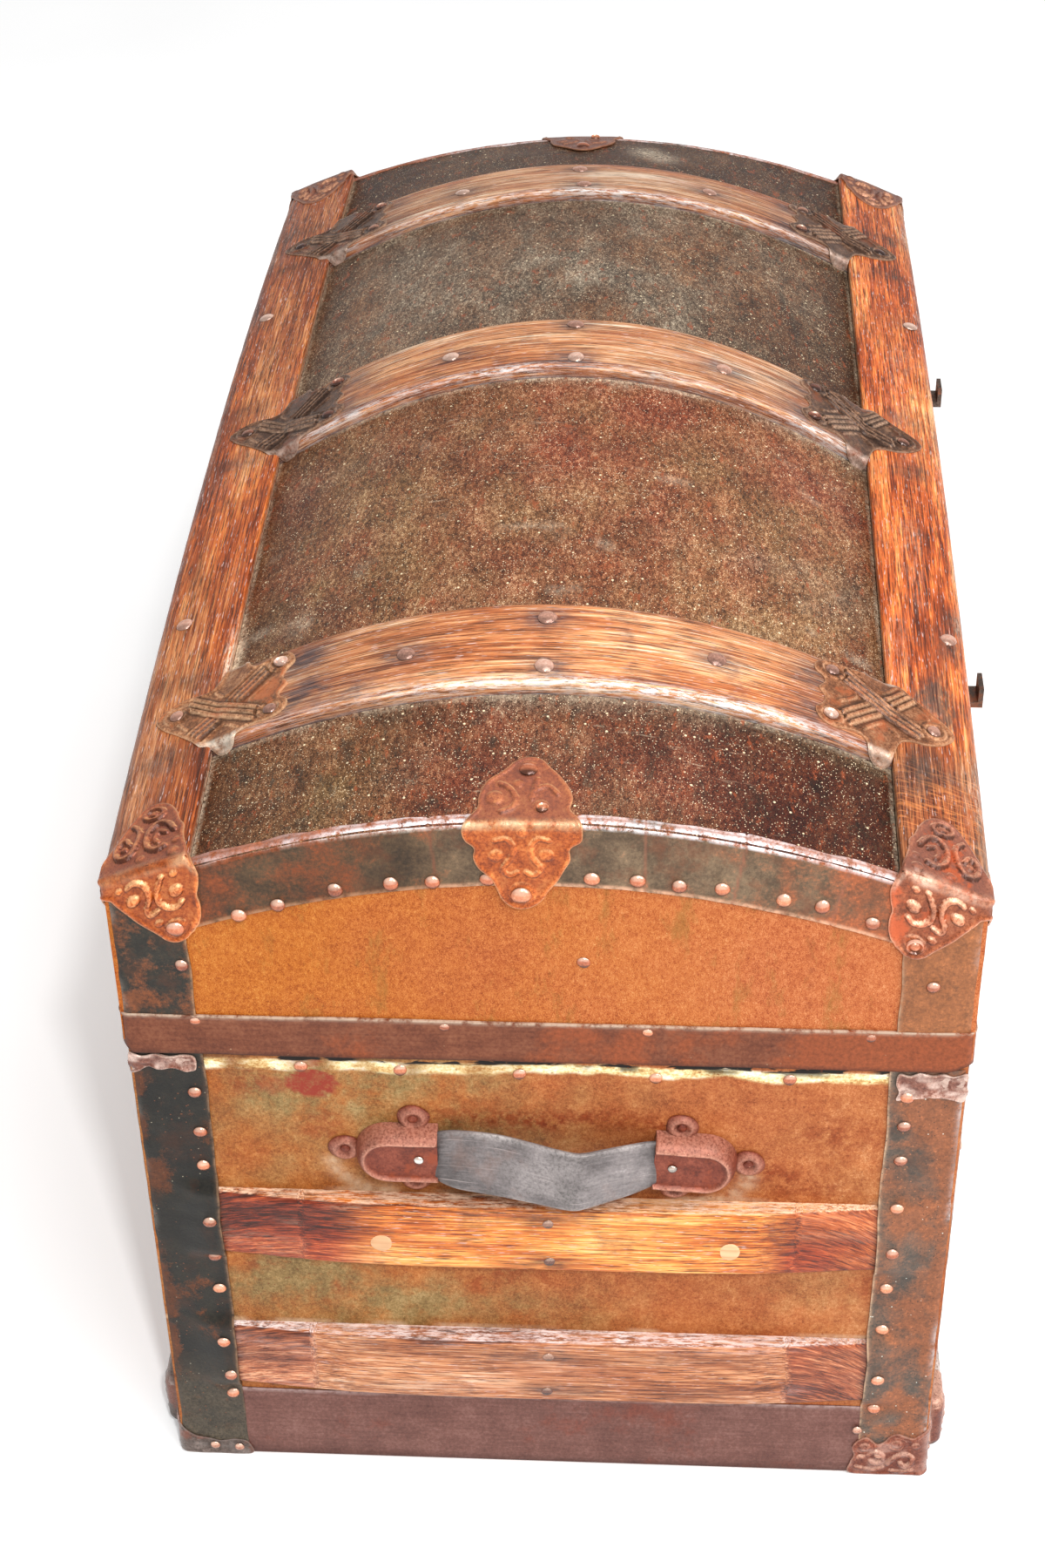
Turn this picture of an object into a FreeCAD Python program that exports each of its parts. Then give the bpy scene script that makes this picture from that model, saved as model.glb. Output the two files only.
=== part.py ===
import FreeCAD, Part
import os, math, re

# Dome top trunk. Millimetres. X runs along the trunk, the front faces -Y,
# the hinges are on +Y, Z is up, and the origin is under the middle of the trunk.

doc = FreeCAD.newDocument("DomeTopTrunk")
V = FreeCAD.Vector

# ---------------------------------------------------------------- dimensions
DIMS = [
    ("half_len", 445.0), ("half_wid", 245.0),
    ("board", 12.0), ("body_hx", 441.0), ("body_hy", 241.0),
    ("lid_hx", 442.5), ("lid_hy", 242.5),
    ("metal", 0.7), ("strip", 0.8), ("band_thick", 1.2), ("cap_thick", 1.0),
    ("runner_high", 10.0), ("floor_thick", 12.0),
    ("seam", 364.0), ("seam_gap", 0.4), ("band_low", 357.0), ("band_top", 387.0),
    ("crown", 530.0), ("arch_drop", 57.0), ("crown_bow", 46.5),
    ("bow_in", 14.4), ("bow_out", 22.0), ("rail_in", 194.0), ("rail_up", 8.6), ("rail_thick", 12.0),
    ("stave_thick", 8.0), ("slat_wide", 67.6), ("slat_thick", 9.0), ("slat_left", 315.0), ("slat_right", 299.0),
    ("binding", 44.0), ("arch_strip", 43.0),
    ("end_slat_low_a", 75.0), ("end_slat_top_a", 128.0), ("end_slat_low_b", 194.0), ("end_slat_top_b", 246.0),
    ("end_slat_thick", 13.0), ("long_slat_thick", 10.0),
    ("bottom_band_top", 65.0), ("cap_wide", 47.0), ("cap_tall", 41.0),
    ("handle_z", 284.0), ("handle_out", 450.5), ("mouth", 64.0), ("cap_end", 112.0), ("cap_half_tall", 19.0),
    ("strap_wide", 34.0), ("strap_thick", 5.0), ("strap_pin_rad", 3.0), ("strap_bore_rad", 3.08),
    ("hinge_y", 248.6), ("hinge_z", 364.2), ("hinge_pos", 300.0), ("knuckle_rad", 3.6),
    ("pin_rad", 1.6), ("bore_rad", 1.66),
    ("hasp_y", -249.6), ("hasp_z", 407.0), ("latch_z", 414.0), ("latch_pos", 190.0),
    ("head_rad", 3.9), ("head_high", 2.2),
]
sheet = doc.addObject("Spreadsheet::Sheet", "Dims")
P = {}
for i, (n, v) in enumerate(DIMS, 1):
    sheet.set("A%d" % i, n)
    sheet.set("B%d" % i, str(v))
    sheet.setAlias("B%d" % i, n)
    P[n] = v
doc.recompute()
NAMES = sorted(P, key=len, reverse=True)
WORD = re.compile(r"\b(" + "|".join(NAMES) + r")\b")


def ex(s):
    """Sheet expression of a string or a number."""
    return WORD.sub(r"Dims.\1", s) if isinstance(s, str) else repr(float(s))


def num(s):
    """Value of the same string, worked out from the sheet's cells."""
    if not isinstance(s, str):
        return float(s)
    total, sign = 0.0, 1.0
    for tok in re.findall(r"[-+]|[^-+]+", s.replace(" ", "")):
        if tok == "+":
            sign = 1.0
        elif tok == "-":
            sign = -1.0
        else:
            val = 1.0
            for k, f in enumerate(re.split(r"[*/]", tok)):
                w = P[f] if f in P else float(f)
                op = re.findall(r"[*/]", tok)
                val = w if k == 0 else (val * w if op[k - 1] == "*" else val / w)
            total += sign * val
            sign = 1.0
    return total


PARTS = []


def keep(obj, label):
    obj.Label = label
    PARTS.append(obj)
    return obj


CNT = [0]


def tmp(prefix):
    CNT[0] += 1
    return "%s_%03d" % (prefix, CNT[0])


def box(x, y, z, name=None):
    """Part::Box between three (low, high) pairs of sheet expressions."""
    o = doc.addObject("Part::Box", name or tmp("Block"))
    for prop, (a, b), ax in (("Length", x, "x"), ("Width", y, "y"), ("Height", z, "z")):
        o.setExpression(prop, "(%s) - (%s)" % (ex(b), ex(a)))
        o.setExpression("Placement.Base." + ax, ex(a))
    return o


def rod(axis, r, c, a, b, name=None):
    """Part::Cylinder along X or Y. c: the two other coordinates in X, Y, Z order; a to b along the axis."""
    o = doc.addObject("Part::Cylinder", name or tmp("Rod"))
    o.setExpression("Radius", ex(r))
    o.setExpression("Height", "(%s) - (%s)" % (ex(b), ex(a)))
    if axis == "X":
        o.Placement = FreeCAD.Placement(V(0, 0, 0), FreeCAD.Rotation(V(0, 1, 0), 90))
        o.setExpression("Placement.Base.x", ex(a))
        o.setExpression("Placement.Base.y", ex(c[0]))
        o.setExpression("Placement.Base.z", ex(c[1]))
    elif axis == "Y":
        o.Placement = FreeCAD.Placement(V(0, 0, 0), FreeCAD.Rotation(V(1, 0, 0), -90))
        o.setExpression("Placement.Base.x", ex(c[0]))
        o.setExpression("Placement.Base.y", ex(a))
        o.setExpression("Placement.Base.z", ex(c[1]))
    else:
        o.setExpression("Placement.Base.x", ex(c[0]))
        o.setExpression("Placement.Base.y", ex(c[1]))
        o.setExpression("Placement.Base.z", ex(a))
    return o


def fuse(objs, name=None):
    o = doc.addObject("Part::MultiFuse", name or tmp("Joined"))
    o.Shapes = objs
    return o


def cut(base, tool, name=None):
    o = doc.addObject("Part::Cut", name or tmp("Cut"))
    o.Base, o.Tool = base, tool
    return o


def common(a, b, name=None):
    o = doc.addObject("Part::Common", name or tmp("Common"))
    o.Base, o.Tool = a, b
    return o


def group(objs, label):
    o = doc.addObject("Part::Compound", label)
    o.Links = objs
    return keep(o, label)


def mirror(src, axis, name=None):
    o = doc.addObject("Part::Mirroring", name or tmp("Mirror"))
    o.Source = src
    o.Normal = V(1, 0, 0) if axis == "X" else V(0, 1, 0)
    return o


def four(src):
    m1 = mirror(src, "X")
    return [src, m1, mirror(src, "Y"), mirror(m1, "Y")]


def flip(pair):
    """(low, high) expressions of the mirrored span."""
    a, b = num(pair[0]), num(pair[1])

    def neg(s):
        if not isinstance(s, str):
            return -s
        s = s.replace(" ", "")
        if s[0] not in "+-":
            s = "+" + s
        out = "".join({"+": "-", "-": "+"}.get(c, c) for c in s)
        return out[1:] if out[0] == "+" else out
    return (neg(pair[1]), neg(pair[0]))


# ------------------------------------------------- the doubly curved lid top
# Height of a lid surface over the plan: an arch across Y, and a bow along X
# that is tallest at the crown. Both are quadratic, so one Bezier patch of
# 3 by 3 poles holds any rectangle of the surface exactly.
def coef(kind, up):
    k = P["arch_drop"] / P["half_wid"] ** 2
    if kind == "dome":
        s0 = P["crown_bow"]
        s1 = -(P["crown_bow"] - P["bow_in"]) / P["rail_in"] ** 2
        add = 0.0
    else:
        s1 = (P["bow_out"] - P["bow_in"]) / (P["half_wid"] ** 2 - P["rail_in"] ** 2)
        s0 = P["bow_in"] - s1 * P["rail_in"] ** 2
        add = P["rail_up"]
    return P["crown"] + add + up, k, s0, s1


def height(kind, up, x, y):
    a, k, s0, s1 = coef(kind, up)
    return a - k * y * y + (s0 + s1 * y * y) * (1 - (x / P["half_len"]) ** 2)


def patch(kind, up, x, y, thick, name=None):
    """Plate under a rectangle of the dome or rail surface, thick measured straight down."""
    x0, x1, y0, y1 = num(x[0]), num(x[1]), num(y[0]), num(y[1])
    a, k, s0, s1 = coef(kind, num(up))
    X2 = P["half_len"] ** 2
    cx, cy = (x0 * x0, x0 * x1, x1 * x1), (y0 * y0, y0 * y1, y1 * y1)
    px, py = (x0, (x0 + x1) / 2, x1), (y0, (y0 + y1) / 2, y1)
    poles = [[V(px[i], py[j], a - k * cy[j] + (s0 + s1 * cy[j]) * (1 - cx[i] / X2)) for j in range(3)] for i in range(3)]
    surf = Part.BezierSurface()
    surf.increase(2, 2)
    for i in range(3):
        for j in range(3):
            surf.setPole(i + 1, j + 1, poles[i][j])
    f = doc.addObject("Part::Feature", tmp("Patch"))
    f.Shape = surf.toShape()
    o = doc.addObject("Part::Extrusion", name or tmp("Plate"))
    o.Base = f
    o.DirMode = "Custom"
    o.Dir = V(0, 0, -1)
    o.Solid = True
    o.setExpression("LengthFwd", ex(thick))
    return o


# ------------------------------------------------------------ PartDesign help
def plane(body, role):
    for f in body.Origin.OriginFeatures:
        if f.Role == role:
            return f


def outline(body, name, role, pts, arcs=()):
    """Closed sketch through (u, v) sheet expressions, each corner tied to the sheet.
    arcs: indexes i whose side from corner i to i+1 is an arc, with its (u, v) mid point."""
    import Sketcher
    sk = body.newObject("Sketcher::SketchObject", name)
    sk.AttachmentSupport = [(plane(body, role), "")]
    sk.MapMode = "FlatFace"
    arcs = dict(arcs)
    n = len(pts)
    q = [V(num(a), num(b), 0) for a, b in pts]
    ends = []
    for i in range(n):
        a, b = q[i], q[(i + 1) % n]
        if i in arcs:
            m = V(arcs[i][0], arcs[i][1], 0)
            g = Part.Arc(a, m, b)
            gid = sk.addGeometry(g, False)
            c = sk.Geometry[gid]
            first = 1 if c.StartPoint.distanceToPoint(a) < 1e-4 else 2
            ends.append((gid, first, 3 - first))
        else:
            gid = sk.addGeometry(Part.LineSegment(a, b), False)
            ends.append((gid, 1, 2))
    for i in range(n):
        g0, _, e0 = ends[i]
        g1, s1, _ = ends[(i + 1) % n]
        sk.addConstraint(Sketcher.Constraint("Coincident", g0, e0, g1, s1))
    for i in range(n):
        g, s, _ = ends[i]
        for kind, val, e in (("DistanceX", q[i].x, pts[i][0]), ("DistanceY", q[i].y, pts[i][1])):
            if abs(val) < 1e-9:
                sk.addConstraint(Sketcher.Constraint("PointOnObject", g, s, -2 if kind == "DistanceX" else -1))
            else:
                c = sk.addConstraint(Sketcher.Constraint(kind, -1, 1, g, s, val))
                if isinstance(e, str):
                    sk.setExpression("Constraints[%d]" % c, ex(e))
    for i in arcs:
        g = ends[i][0]
        c = sk.addConstraint(Sketcher.Constraint("Radius", g, sk.Geometry[g].Radius))
    return sk


def pad(body, sk, length, reverse=False, mid=False):
    p = body.newObject("PartDesign::Pad", tmp("Pad"))
    p.Profile = sk
    p.setExpression("Length", ex(length))
    p.Reversed = reverse
    if mid:
        p.Midplane = True
    body.Tip = p
    return p


def edge_round(body, feat, test, r):
    """PartDesign fillet of the feature's edges that pass the test."""
    doc.recompute()
    ids = ["Edge%d" % (i + 1) for i, e in enumerate(feat.Shape.Edges) if test(e)]
    f = body.newObject("PartDesign::Fillet", tmp("Round"))
    f.Base = (feat, ids)
    f.Radius = r
    body.Tip = f
    return f


def slat_bar(name, along, lo, hi, depth, low, top, r):
    """Straight hardwood slat on a wall: along X or Y from lo to hi, standing out from depth[0] to
    depth[1], between heights low and top, its two outer long edges rounded."""
    b = doc.addObject("PartDesign::Body", name)
    d0, d1 = num(depth[0]), num(depth[1])
    if along == "Y":       # section in XZ
        sk = outline(b, name + "_section", "XZ_Plane", [(depth[0], low), (depth[1], low), (depth[1], top), (depth[0], top)])
    else:                  # section in YZ
        sk = outline(b, name + "_section", "YZ_Plane", [(depth[0], low), (depth[1], low), (depth[1], top), (depth[0], top)])
    p = pad(b, sk, "%s - %s" % (hi, lo) if isinstance(hi, str) else hi - lo, mid=True)

    def outer(e):
        bb = e.BoundBox
        if along == "Y":
            return bb.YLength > 50 and abs(bb.XMin - d1) < 1e-3 and abs(bb.XMax - d1) < 1e-3
        return bb.XLength > 50 and abs(bb.YMin - d1) < 1e-3 and abs(bb.YMax - d1) < 1e-3
    edge_round(b, p, outer, r)
    return b


# ============================================================ trunk body
Z0 = "runner_high"
FL = "runner_high+floor_thick"
keep(box(("-body_hx+board+0.1", "body_hx-board-0.1"), ("-body_hy+board+0.1", "body_hy-board-0.1"), (Z0, FL), "bottom_board"), "bottom_board")
group([box((x - 30.0, x + 30.0), ("-body_hy+16", "body_hy-16"), (0.0, Z0)) for x in (-300.0, 0.0, 300.0)], "bottom_runners")
keep(box(("-body_hx", "body_hx"), ("-body_hy", "-body_hy+board"), (Z0, "seam"), "front_board"), "front_board")
keep(box(("-body_hx", "body_hx"), ("body_hy-board", "body_hy"), (Z0, "seam"), "back_board"), "back_board")
keep(box(("-body_hx", "-body_hx+board"), ("-body_hy+board", "body_hy-board"), (Z0, "seam"), "left_end_board"), "left_end_board")
keep(box(("body_hx-board", "body_hx"), ("-body_hy+board", "body_hy-board"), (Z0, "seam"), "right_end_board"), "right_end_board")
# sheet-metal covers
SK = (2.0, "seam-0.4")
keep(box(("-body_hx", "body_hx"), ("-body_hy-metal", "-body_hy"), SK, "front_cover"), "front_cover")
keep(box(("-body_hx", "body_hx"), ("body_hy", "body_hy+metal"), SK, "back_cover"), "back_cover")
keep(box(("-body_hx-metal", "-body_hx"), ("-body_hy", "body_hy"), SK, "left_end_cover"), "left_end_cover")
keep(box(("body_hx", "body_hx+metal"), ("-body_hy", "body_hy"), SK, "right_end_cover"), "right_end_cover")

# folded corner bindings: an L strip round each upright corner
bd = doc.addObject("PartDesign::Body", "corner_binding")
sk = outline(bd, "corner_binding_section", "XY_Plane", [
    ("-body_hx-metal-strip", "-body_hy-metal-strip"), ("-body_hx-metal-strip+binding", "-body_hy-metal-strip"),
    ("-body_hx-metal-strip+binding", "-body_hy-metal"), ("-body_hx-metal", "-body_hy-metal"),
    ("-body_hx-metal", "-body_hy-metal-strip+binding"), ("-body_hx-metal-strip", "-body_hy-metal-strip+binding")])
pad(bd, sk, "seam-2.4")
bd.Placement = FreeCAD.Placement(V(0, 0, 2.0), FreeCAD.Rotation())
group(four(bd), "body_corner_bindings")

# bottom band strips, between the corner bindings
EX = "body_hx+metal"
EY = "body_hy+metal"
strips = [
    box(("-body_hx-metal-strip+binding+0.1", "body_hx+metal+strip-binding-0.1"), ("-body_hy-metal-strip", "-body_hy-metal"), (2.0, "bottom_band_top")),
    box(("-body_hx-metal-strip", "-body_hx-metal"), ("-body_hy-metal-strip+binding+0.1", "body_hy+metal+strip-binding-0.1"), (2.0, "bottom_band_top")),
]
group(strips + [mirror(strips[0], "Y"), mirror(strips[1], "X")], "bottom_band")

# bottom corner caps: an end plate, a short side plate and a plate underneath
OX = "-body_hx-metal-strip"
OY = "-body_hy-metal-strip"
capb = fuse([
    box((OX + "-cap_thick", OX), (OY + "-cap_thick", OY + "+cap_wide"), (0.5, "cap_tall")),
    box((OX + "-cap_thick", OX + "+15"), (OY + "-cap_thick", OY), (0.5, "cap_tall")),
    box((OX + "-cap_thick", OX + "+15"), (OY + "-cap_thick", OY + "+cap_wide"), (0.5, 1.5)),
], "bottom_cap")
group(four(capb), "bottom_corner_caps")

# hardwood slats on the ends: thick in the middle and pared down towards the bindings
def end_slat(name, low, top):
    b = doc.addObject("PartDesign::Body", name)
    f = "-body_hx-metal"
    thick = "-body_hx-metal-end_slat_thick"
    sk = outline(b, name + "_plan", "XY_Plane", [
        (f, -198.0), (f + "-4.5", -198.0), (f + "-8.5", -165.0), (thick + "+1.2", -125.0), (thick, -80.0),
        (thick, 80.0), (thick + "+1.2", 125.0), (f + "-8.5", 165.0), (f + "-4.5", 198.0), (f, 198.0)])
    p = pad(b, sk, "%s-%s" % (top, low))
    lim = -num("body_hx+metal") - 1.0
    edge_round(b, p, lambda e: e.BoundBox.ZLength < 1e-6 and e.BoundBox.XMax < lim and e.BoundBox.YLength > 1, 3.5)
    b.Placement = FreeCAD.Placement(V(0, 0, num(low)), FreeCAD.Rotation())
    b.setExpression("Placement.Base.z", ex(low))
    return b


es = [end_slat("end_slat_a", "end_slat_low_a", "end_slat_top_a"), end_slat("end_slat_b", "end_slat_low_b", "end_slat_top_b")]
group(es, "left_end_slats")
group([mirror(e, "X") for e in es], "right_end_slats")
# hardwood slats on the front and back
for side, s in (("front", -1), ("back", 1)):
    lo = ("-body_hy-metal-strip", "-body_hy-metal-strip-long_slat_thick") if s < 0 else ("body_hy+metal+strip", "body_hy+metal+strip+long_slat_thick")
    hi = ("-body_hy-metal", "-body_hy-metal-long_slat_thick") if s < 0 else ("body_hy+metal", "body_hy+metal+long_slat_thick")
    bars = [slat_bar("%s_slat_low" % side, "X", -404.0, 404.0, lo, 8.0, 50.0, 4.0),
            slat_bar("%s_slat_high" % side, "X", -366.0, 366.0, hi, "end_slat_low_b", "end_slat_top_b", 4.0)]
    group(bars, "%s_slats" % side)
# clamps over the ends of the front and back slats
cl = []
for x0, x1, z0, z1, base in ((-427.0, -398.0, 6.0, 52.0, "metal-strip"), (-373.0, -350.0, "end_slat_low_b-2", "end_slat_top_b+2", "metal")):
    yb = "-body_hy-" + base
    shell = box((x0, x1), (yb + "-long_slat_thick-1.3", yb), (z0, z1))
    core = box((x0 + (23.0 if x0 < -400 else 7.0) - 0.1, x1 + 5.0), (yb + "-long_slat_thick-0.1", yb + "+5"), (num(z0) + 1.9, num(z1) - 1.9))
    cl.append(cut(shell, core))
allc = []
for c in cl:
    allc += four(c)
group(allc, "slat_clamps")

# ------------------------------------------------------------- end handles
def handle_cap(name):
    b = doc.addObject("PartDesign::Body", name)
    sk = outline(b, name + "_block", "XY_Plane", [
        ("-body_hx-metal", "mouth"), ("-body_hx-metal-15", "mouth"), ("-body_hx-metal-15", "cap_end-8"),
        ("-body_hx-metal-8", "cap_end"), ("-body_hx-metal", "cap_end")])
    p = pad(b, sk, "2*cap_half_tall", mid=True)
    f = edge_round(b, p, lambda e: e.BoundBox.ZLength < 1e-6 and e.BoundBox.XMax < -num("body_hx+metal") - 1 and e.BoundBox.YLength > 1, 4.0)
    b.Placement = FreeCAD.Placement(V(0, 0, P["handle_z"]), FreeCAD.Rotation())
    b.setExpression("Placement.Base.z", "Dims.handle_z")
    flange = box(("-body_hx-metal-1.6", "-body_hx-metal"), ("mouth+4", "cap_end+12"), ("handle_z-cap_half_tall-8", "handle_z+cap_half_tall+8"))
    whole = fuse([b, flange])
    bore = rod("Y", "strap_bore_rad", ("-handle_out", "handle_z"), "mouth-1", "mouth+12")
    return cut(whole, bore)


hc = handle_cap("handle_cap")
hm = mirror(hc, "Y")
group([hc, hm], "left_handle_caps")
group([mirror(hc, "X"), mirror(hm, "X")], "right_handle_caps")

# Leather strap: a bowed band of even width with a round tongue at each end, which
# turns in the cap's mouth.
def strap(name):
    b = doc.addObject("PartDesign::Body", name)
    h0, t = "-handle_out", "strap_thick"
    sk = outline(b, name + "_line", "XY_Plane", [
        ("-handle_out+2.5", "-mouth+1.5"), ("-handle_out-7", -44.0), ("-handle_out-12.5", -16.0), ("-handle_out-12.5", 16.0), ("-handle_out-7", 44.0), ("-handle_out+2.5", "mouth-1.5"),
        ("-handle_out-2.5", "mouth-1.5"), ("-handle_out-12", 44.0), ("-handle_out-17.5", 16.0), ("-handle_out-17.5", -16.0), ("-handle_out-12", -44.0), ("-handle_out-2.5", "-mouth+1.5")])
    pad(b, sk, "strap_wide", mid=True)
    b.Placement = FreeCAD.Placement(V(0, 0, P["handle_z"] - 10.0), FreeCAD.Rotation())
    b.setExpression("Placement.Base.z", "Dims.handle_z - 10")
    tongues = [rod("Y", "strap_pin_rad", ("-handle_out", "handle_z"), "mouth-6", "mouth+10"),
               rod("Y", "strap_pin_rad", ("-handle_out", "handle_z"), "-mouth-10", "-mouth+6")]
    return fuse([b] + tongues)


st = strap("strap_band")
st.Label = "left_handle_strap"
PARTS.append(st)
keep(mirror(st, "X", "right_handle_strap"), "right_handle_strap")

# ============================================================ lid woodwork
LZ = "seam+seam_gap"
under_rail = patch("rail", "-rail_thick-0.4", ("-half_len+0.5", "half_len-0.5"), ("-half_wid", "half_wid"), 260.0, "RailUnderside")
for label, y in (("lid_front_board", ("-lid_hy", "-lid_hy+board")), ("lid_back_board", ("lid_hy-board", "lid_hy"))):
    keep(common(box(("-lid_hx", "lid_hx"), y, (LZ, 560.0)), under_rail, label), label)

# arched end boards
R = lambda y: height("dome", -(P["metal"] + P["strip"] + P["stave_thick"] + 0.5), P["lid_hx"], y)


def arch_board(name):
    b = doc.addObject("PartDesign::Body", name)
    yy = P["lid_hy"] - P["board"]
    sk = outline(b, name + "_face", "YZ_Plane", [("-lid_hy+board+0.1", LZ), ("lid_hy-board-0.1", LZ), ("lid_hy-board-0.1", R(yy) - 3.8), ("-lid_hy+board+0.1", R(yy) - 3.8)],
                 arcs=[(2, (0.0, R(0) - 0.6))])
    pad(b, sk, "board")
    return b


bl = arch_board("lid_left_end_board")
bl.Placement = FreeCAD.Placement(V(-P["lid_hx"], 0, 0), FreeCAD.Rotation())
bl.setExpression("Placement.Base.x", "-Dims.lid_hx")
keep(bl, "lid_left_end_board")
keep(mirror(bl, "X", "lid_right_end_board"), "lid_right_end_board")

# lengthwise staves, bent to the bow of the lid
sv = []
edges = [-193.6, -138.3, -83.0, -27.7, 27.7, 83.0, 138.3, 193.6]
for a, b in zip(edges[:-1], edges[1:]):
    sv.append(patch("dome", "-metal-0.2", ("-lid_hx", "lid_hx"), (a + 0.2, b - 0.2), "stave_thick"))
for s in (-1, 1):
    y = (194.2, "lid_hy-board-0.1")
    sv.append(patch("rail", "-rail_thick-0.4", ("-lid_hx", "lid_hx"), y if s > 0 else flip(y), "stave_thick"))
group(sv, "lid_staves")

# ============================================================ lid metalwork
keep(patch("dome", 0.0, ("-lid_hx-metal", "lid_hx+metal"), ("-rail_in+0.3", "rail_in-0.3"), "metal", "dome_cover"), "dome_cover")
for label, y in (("lid_front_cover", ("-lid_hy-metal", "-lid_hy")), ("lid_back_cover", ("lid_hy", "lid_hy+metal"))):
    keep(common(box(("-lid_hx", "lid_hx"), y, (LZ, 560.0)), under_rail, label), label)
for label, s in (("lid_left_end_cover", -1), ("lid_right_end_cover", 1)):
    x = ("-lid_hx-metal", "-lid_hx") if s < 0 else ("lid_hx", "lid_hx+metal")
    slab = patch("dome", "-metal-0.3", x, (-193.8, 193.8), 200.0)
    middle = common(box(x, (-193.8, 193.8), (LZ, 560.0)), slab)
    sides = [common(box(x, ("-lid_hy", -193.8), (LZ, 560.0)), under_rail), common(box(x, (193.8, "lid_hy"), (LZ, 560.0)), under_rail)]
    keep(fuse([middle] + sides, label), label)

# arch bindings: an arched strip on the end face, folded over on to the dome
for label, s in (("left_arch_binding", -1), ("right_arch_binding", 1)):
    xf = ("-lid_hx-metal-strip", "-lid_hx-metal")
    xt = ("-lid_hx-metal-strip", "-lid_hx-metal+5")
    if s > 0:
        xf, xt = flip(xf), flip(xt)
    face = patch("dome", 0.5, xf, (-198.5, 198.5), "arch_strip")
    top = patch("dome", "strip+0.05", xt, ("-rail_in+0.5", "rail_in-0.5"), "strip")
    keep(fuse([face, top], label), label)

# lid corner bindings
bd = doc.addObject("PartDesign::Body", "lid_binding")
sk = outline(bd, "lid_binding_section", "XY_Plane", [
    ("-lid_hx-metal-strip", "-lid_hy-metal-strip"), ("-lid_hx-metal-strip+binding", "-lid_hy-metal-strip"),
    ("-lid_hx-metal-strip+binding", "-lid_hy-metal"), ("-lid_hx-metal", "-lid_hy-metal"),
    ("-lid_hx-metal", "-lid_hy-metal-strip+binding"), ("-lid_hx-metal-strip", "-lid_hy-metal-strip+binding")])
pad(bd, sk, "468.5-band_top")
bd.Placement = FreeCAD.Placement(V(0, 0, P["band_top"] + 0.1), FreeCAD.Rotation())
bd.setExpression("Placement.Base.z", "Dims.band_top + 0.1")
group(four(bd), "lid_corner_bindings")

# lid band: it laps over the body on the front and ends, and stops at the seam on the back
BX = ("-lid_hx-metal-band_thick", "lid_hx+metal+band_thick")
BY = ("-lid_hy-metal-band_thick", "lid_hy+metal+band_thick")
front = box(BX, ("-lid_hy-metal-band_thick", "-lid_hy-metal"), ("band_low", "band_top"))
lend = box(("-lid_hx-metal-band_thick", "-lid_hx-metal"), ("-lid_hy-metal", "lid_hy-10"), ("band_low", "band_top"))
lend2 = box(("-lid_hx-metal-band_thick", "-lid_hx-metal"), ("lid_hy-10", "lid_hy+metal"), (LZ, "band_top"))
left = fuse([lend, lend2])
backs = box(BX, ("lid_hy+metal", "lid_hy+metal+band_thick"), (LZ, "band_top"))
group([front, left, mirror(left, "X"), backs], "lid_band")

# edge rails
for label, y in (("front_rail", ("-half_wid", "-rail_in")), ("back_rail", ("rail_in", "half_wid"))):
    keep(patch("rail", 0.0, ("-lid_hx-0.3", "lid_hx+0.3"), y, "rail_thick", label), label)
# cross slats
cs = []
for x in ("-slat_left", "0", "slat_right"):
    cs.append(patch("dome", "slat_thick", (x + "-slat_wide/2", x + "+slat_wide/2"), ("-rail_in+0.3", "rail_in-0.3"), "slat_thick-0.1"))
group(cs, "cross_slats")

# corner caps of the lid: on the end, on the rail's top and round its side
CX = "-lid_hx-metal-strip"
endp = common(box((CX + "-cap_thick", CX), ("-half_wid-cap_thick", -187.0), (439.0, 500.0)),
              patch("rail", 0.6, (CX + "-cap_thick-1", CX + "+1"), ("-half_wid-cap_thick", -186.0), 100.0))
topp = patch("rail", "cap_thick+0.1", (CX + "-cap_thick", -392.0), ("-half_wid-cap_thick", -196.0), "cap_thick")
sidep = common(box((CX + "-cap_thick", -402.0), ("-half_wid-cap_thick", "-half_wid"), (452.0, 500.0)),
               patch("rail", 0.6, (CX + "-cap_thick-1", -400.0), ("-half_wid-cap_thick-1", -230.0), 100.0))
group(four(fuse([endp, topp, sidep], "lid_cap")), "lid_corner_caps")

# crown bumpers
# each hangs a little to one side of the middle: wide at the ridge, narrow round its nail
bump_x = (CX + "-cap_thick", CX)
bump_end = patch("dome", "strip+0.6", bump_x, (-28.0, 42.0), 70.0)
bump = fuse([common(box(bump_x, (-28.0, 42.0), (503.0, 560.0)), bump_end),
             common(box(bump_x, (-11.0, 24.0), (471.0, 503.0)), bump_end),
             patch("dome", "strip+cap_thick+0.1", (CX + "-cap_thick", -392.0), (-24.0, 38.0), "cap_thick")], "bumper")
group([bump, mirror(bump, "X")], "crown_bumpers")

# clasps where the cross slats meet the rails: one leaf on the slat, one on the rail
cp = []
for x in ("-slat_left", "0", "slat_right"):
    a = patch("dome", "slat_thick+1.4", (x + "-33", x + "+33"), (-194.4, -150.0), 1.3)
    b = patch("rail", 1.2, (x + "-33", x + "+33"), (-236.0, -193.8), 1.1)
    cp.append(fuse([a, b]))
group(cp + [mirror(c, "Y") for c in cp], "rail_clasps")

# ============================================================ hinges
def along_x(lo, hi):
    return (lo, hi)


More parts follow.
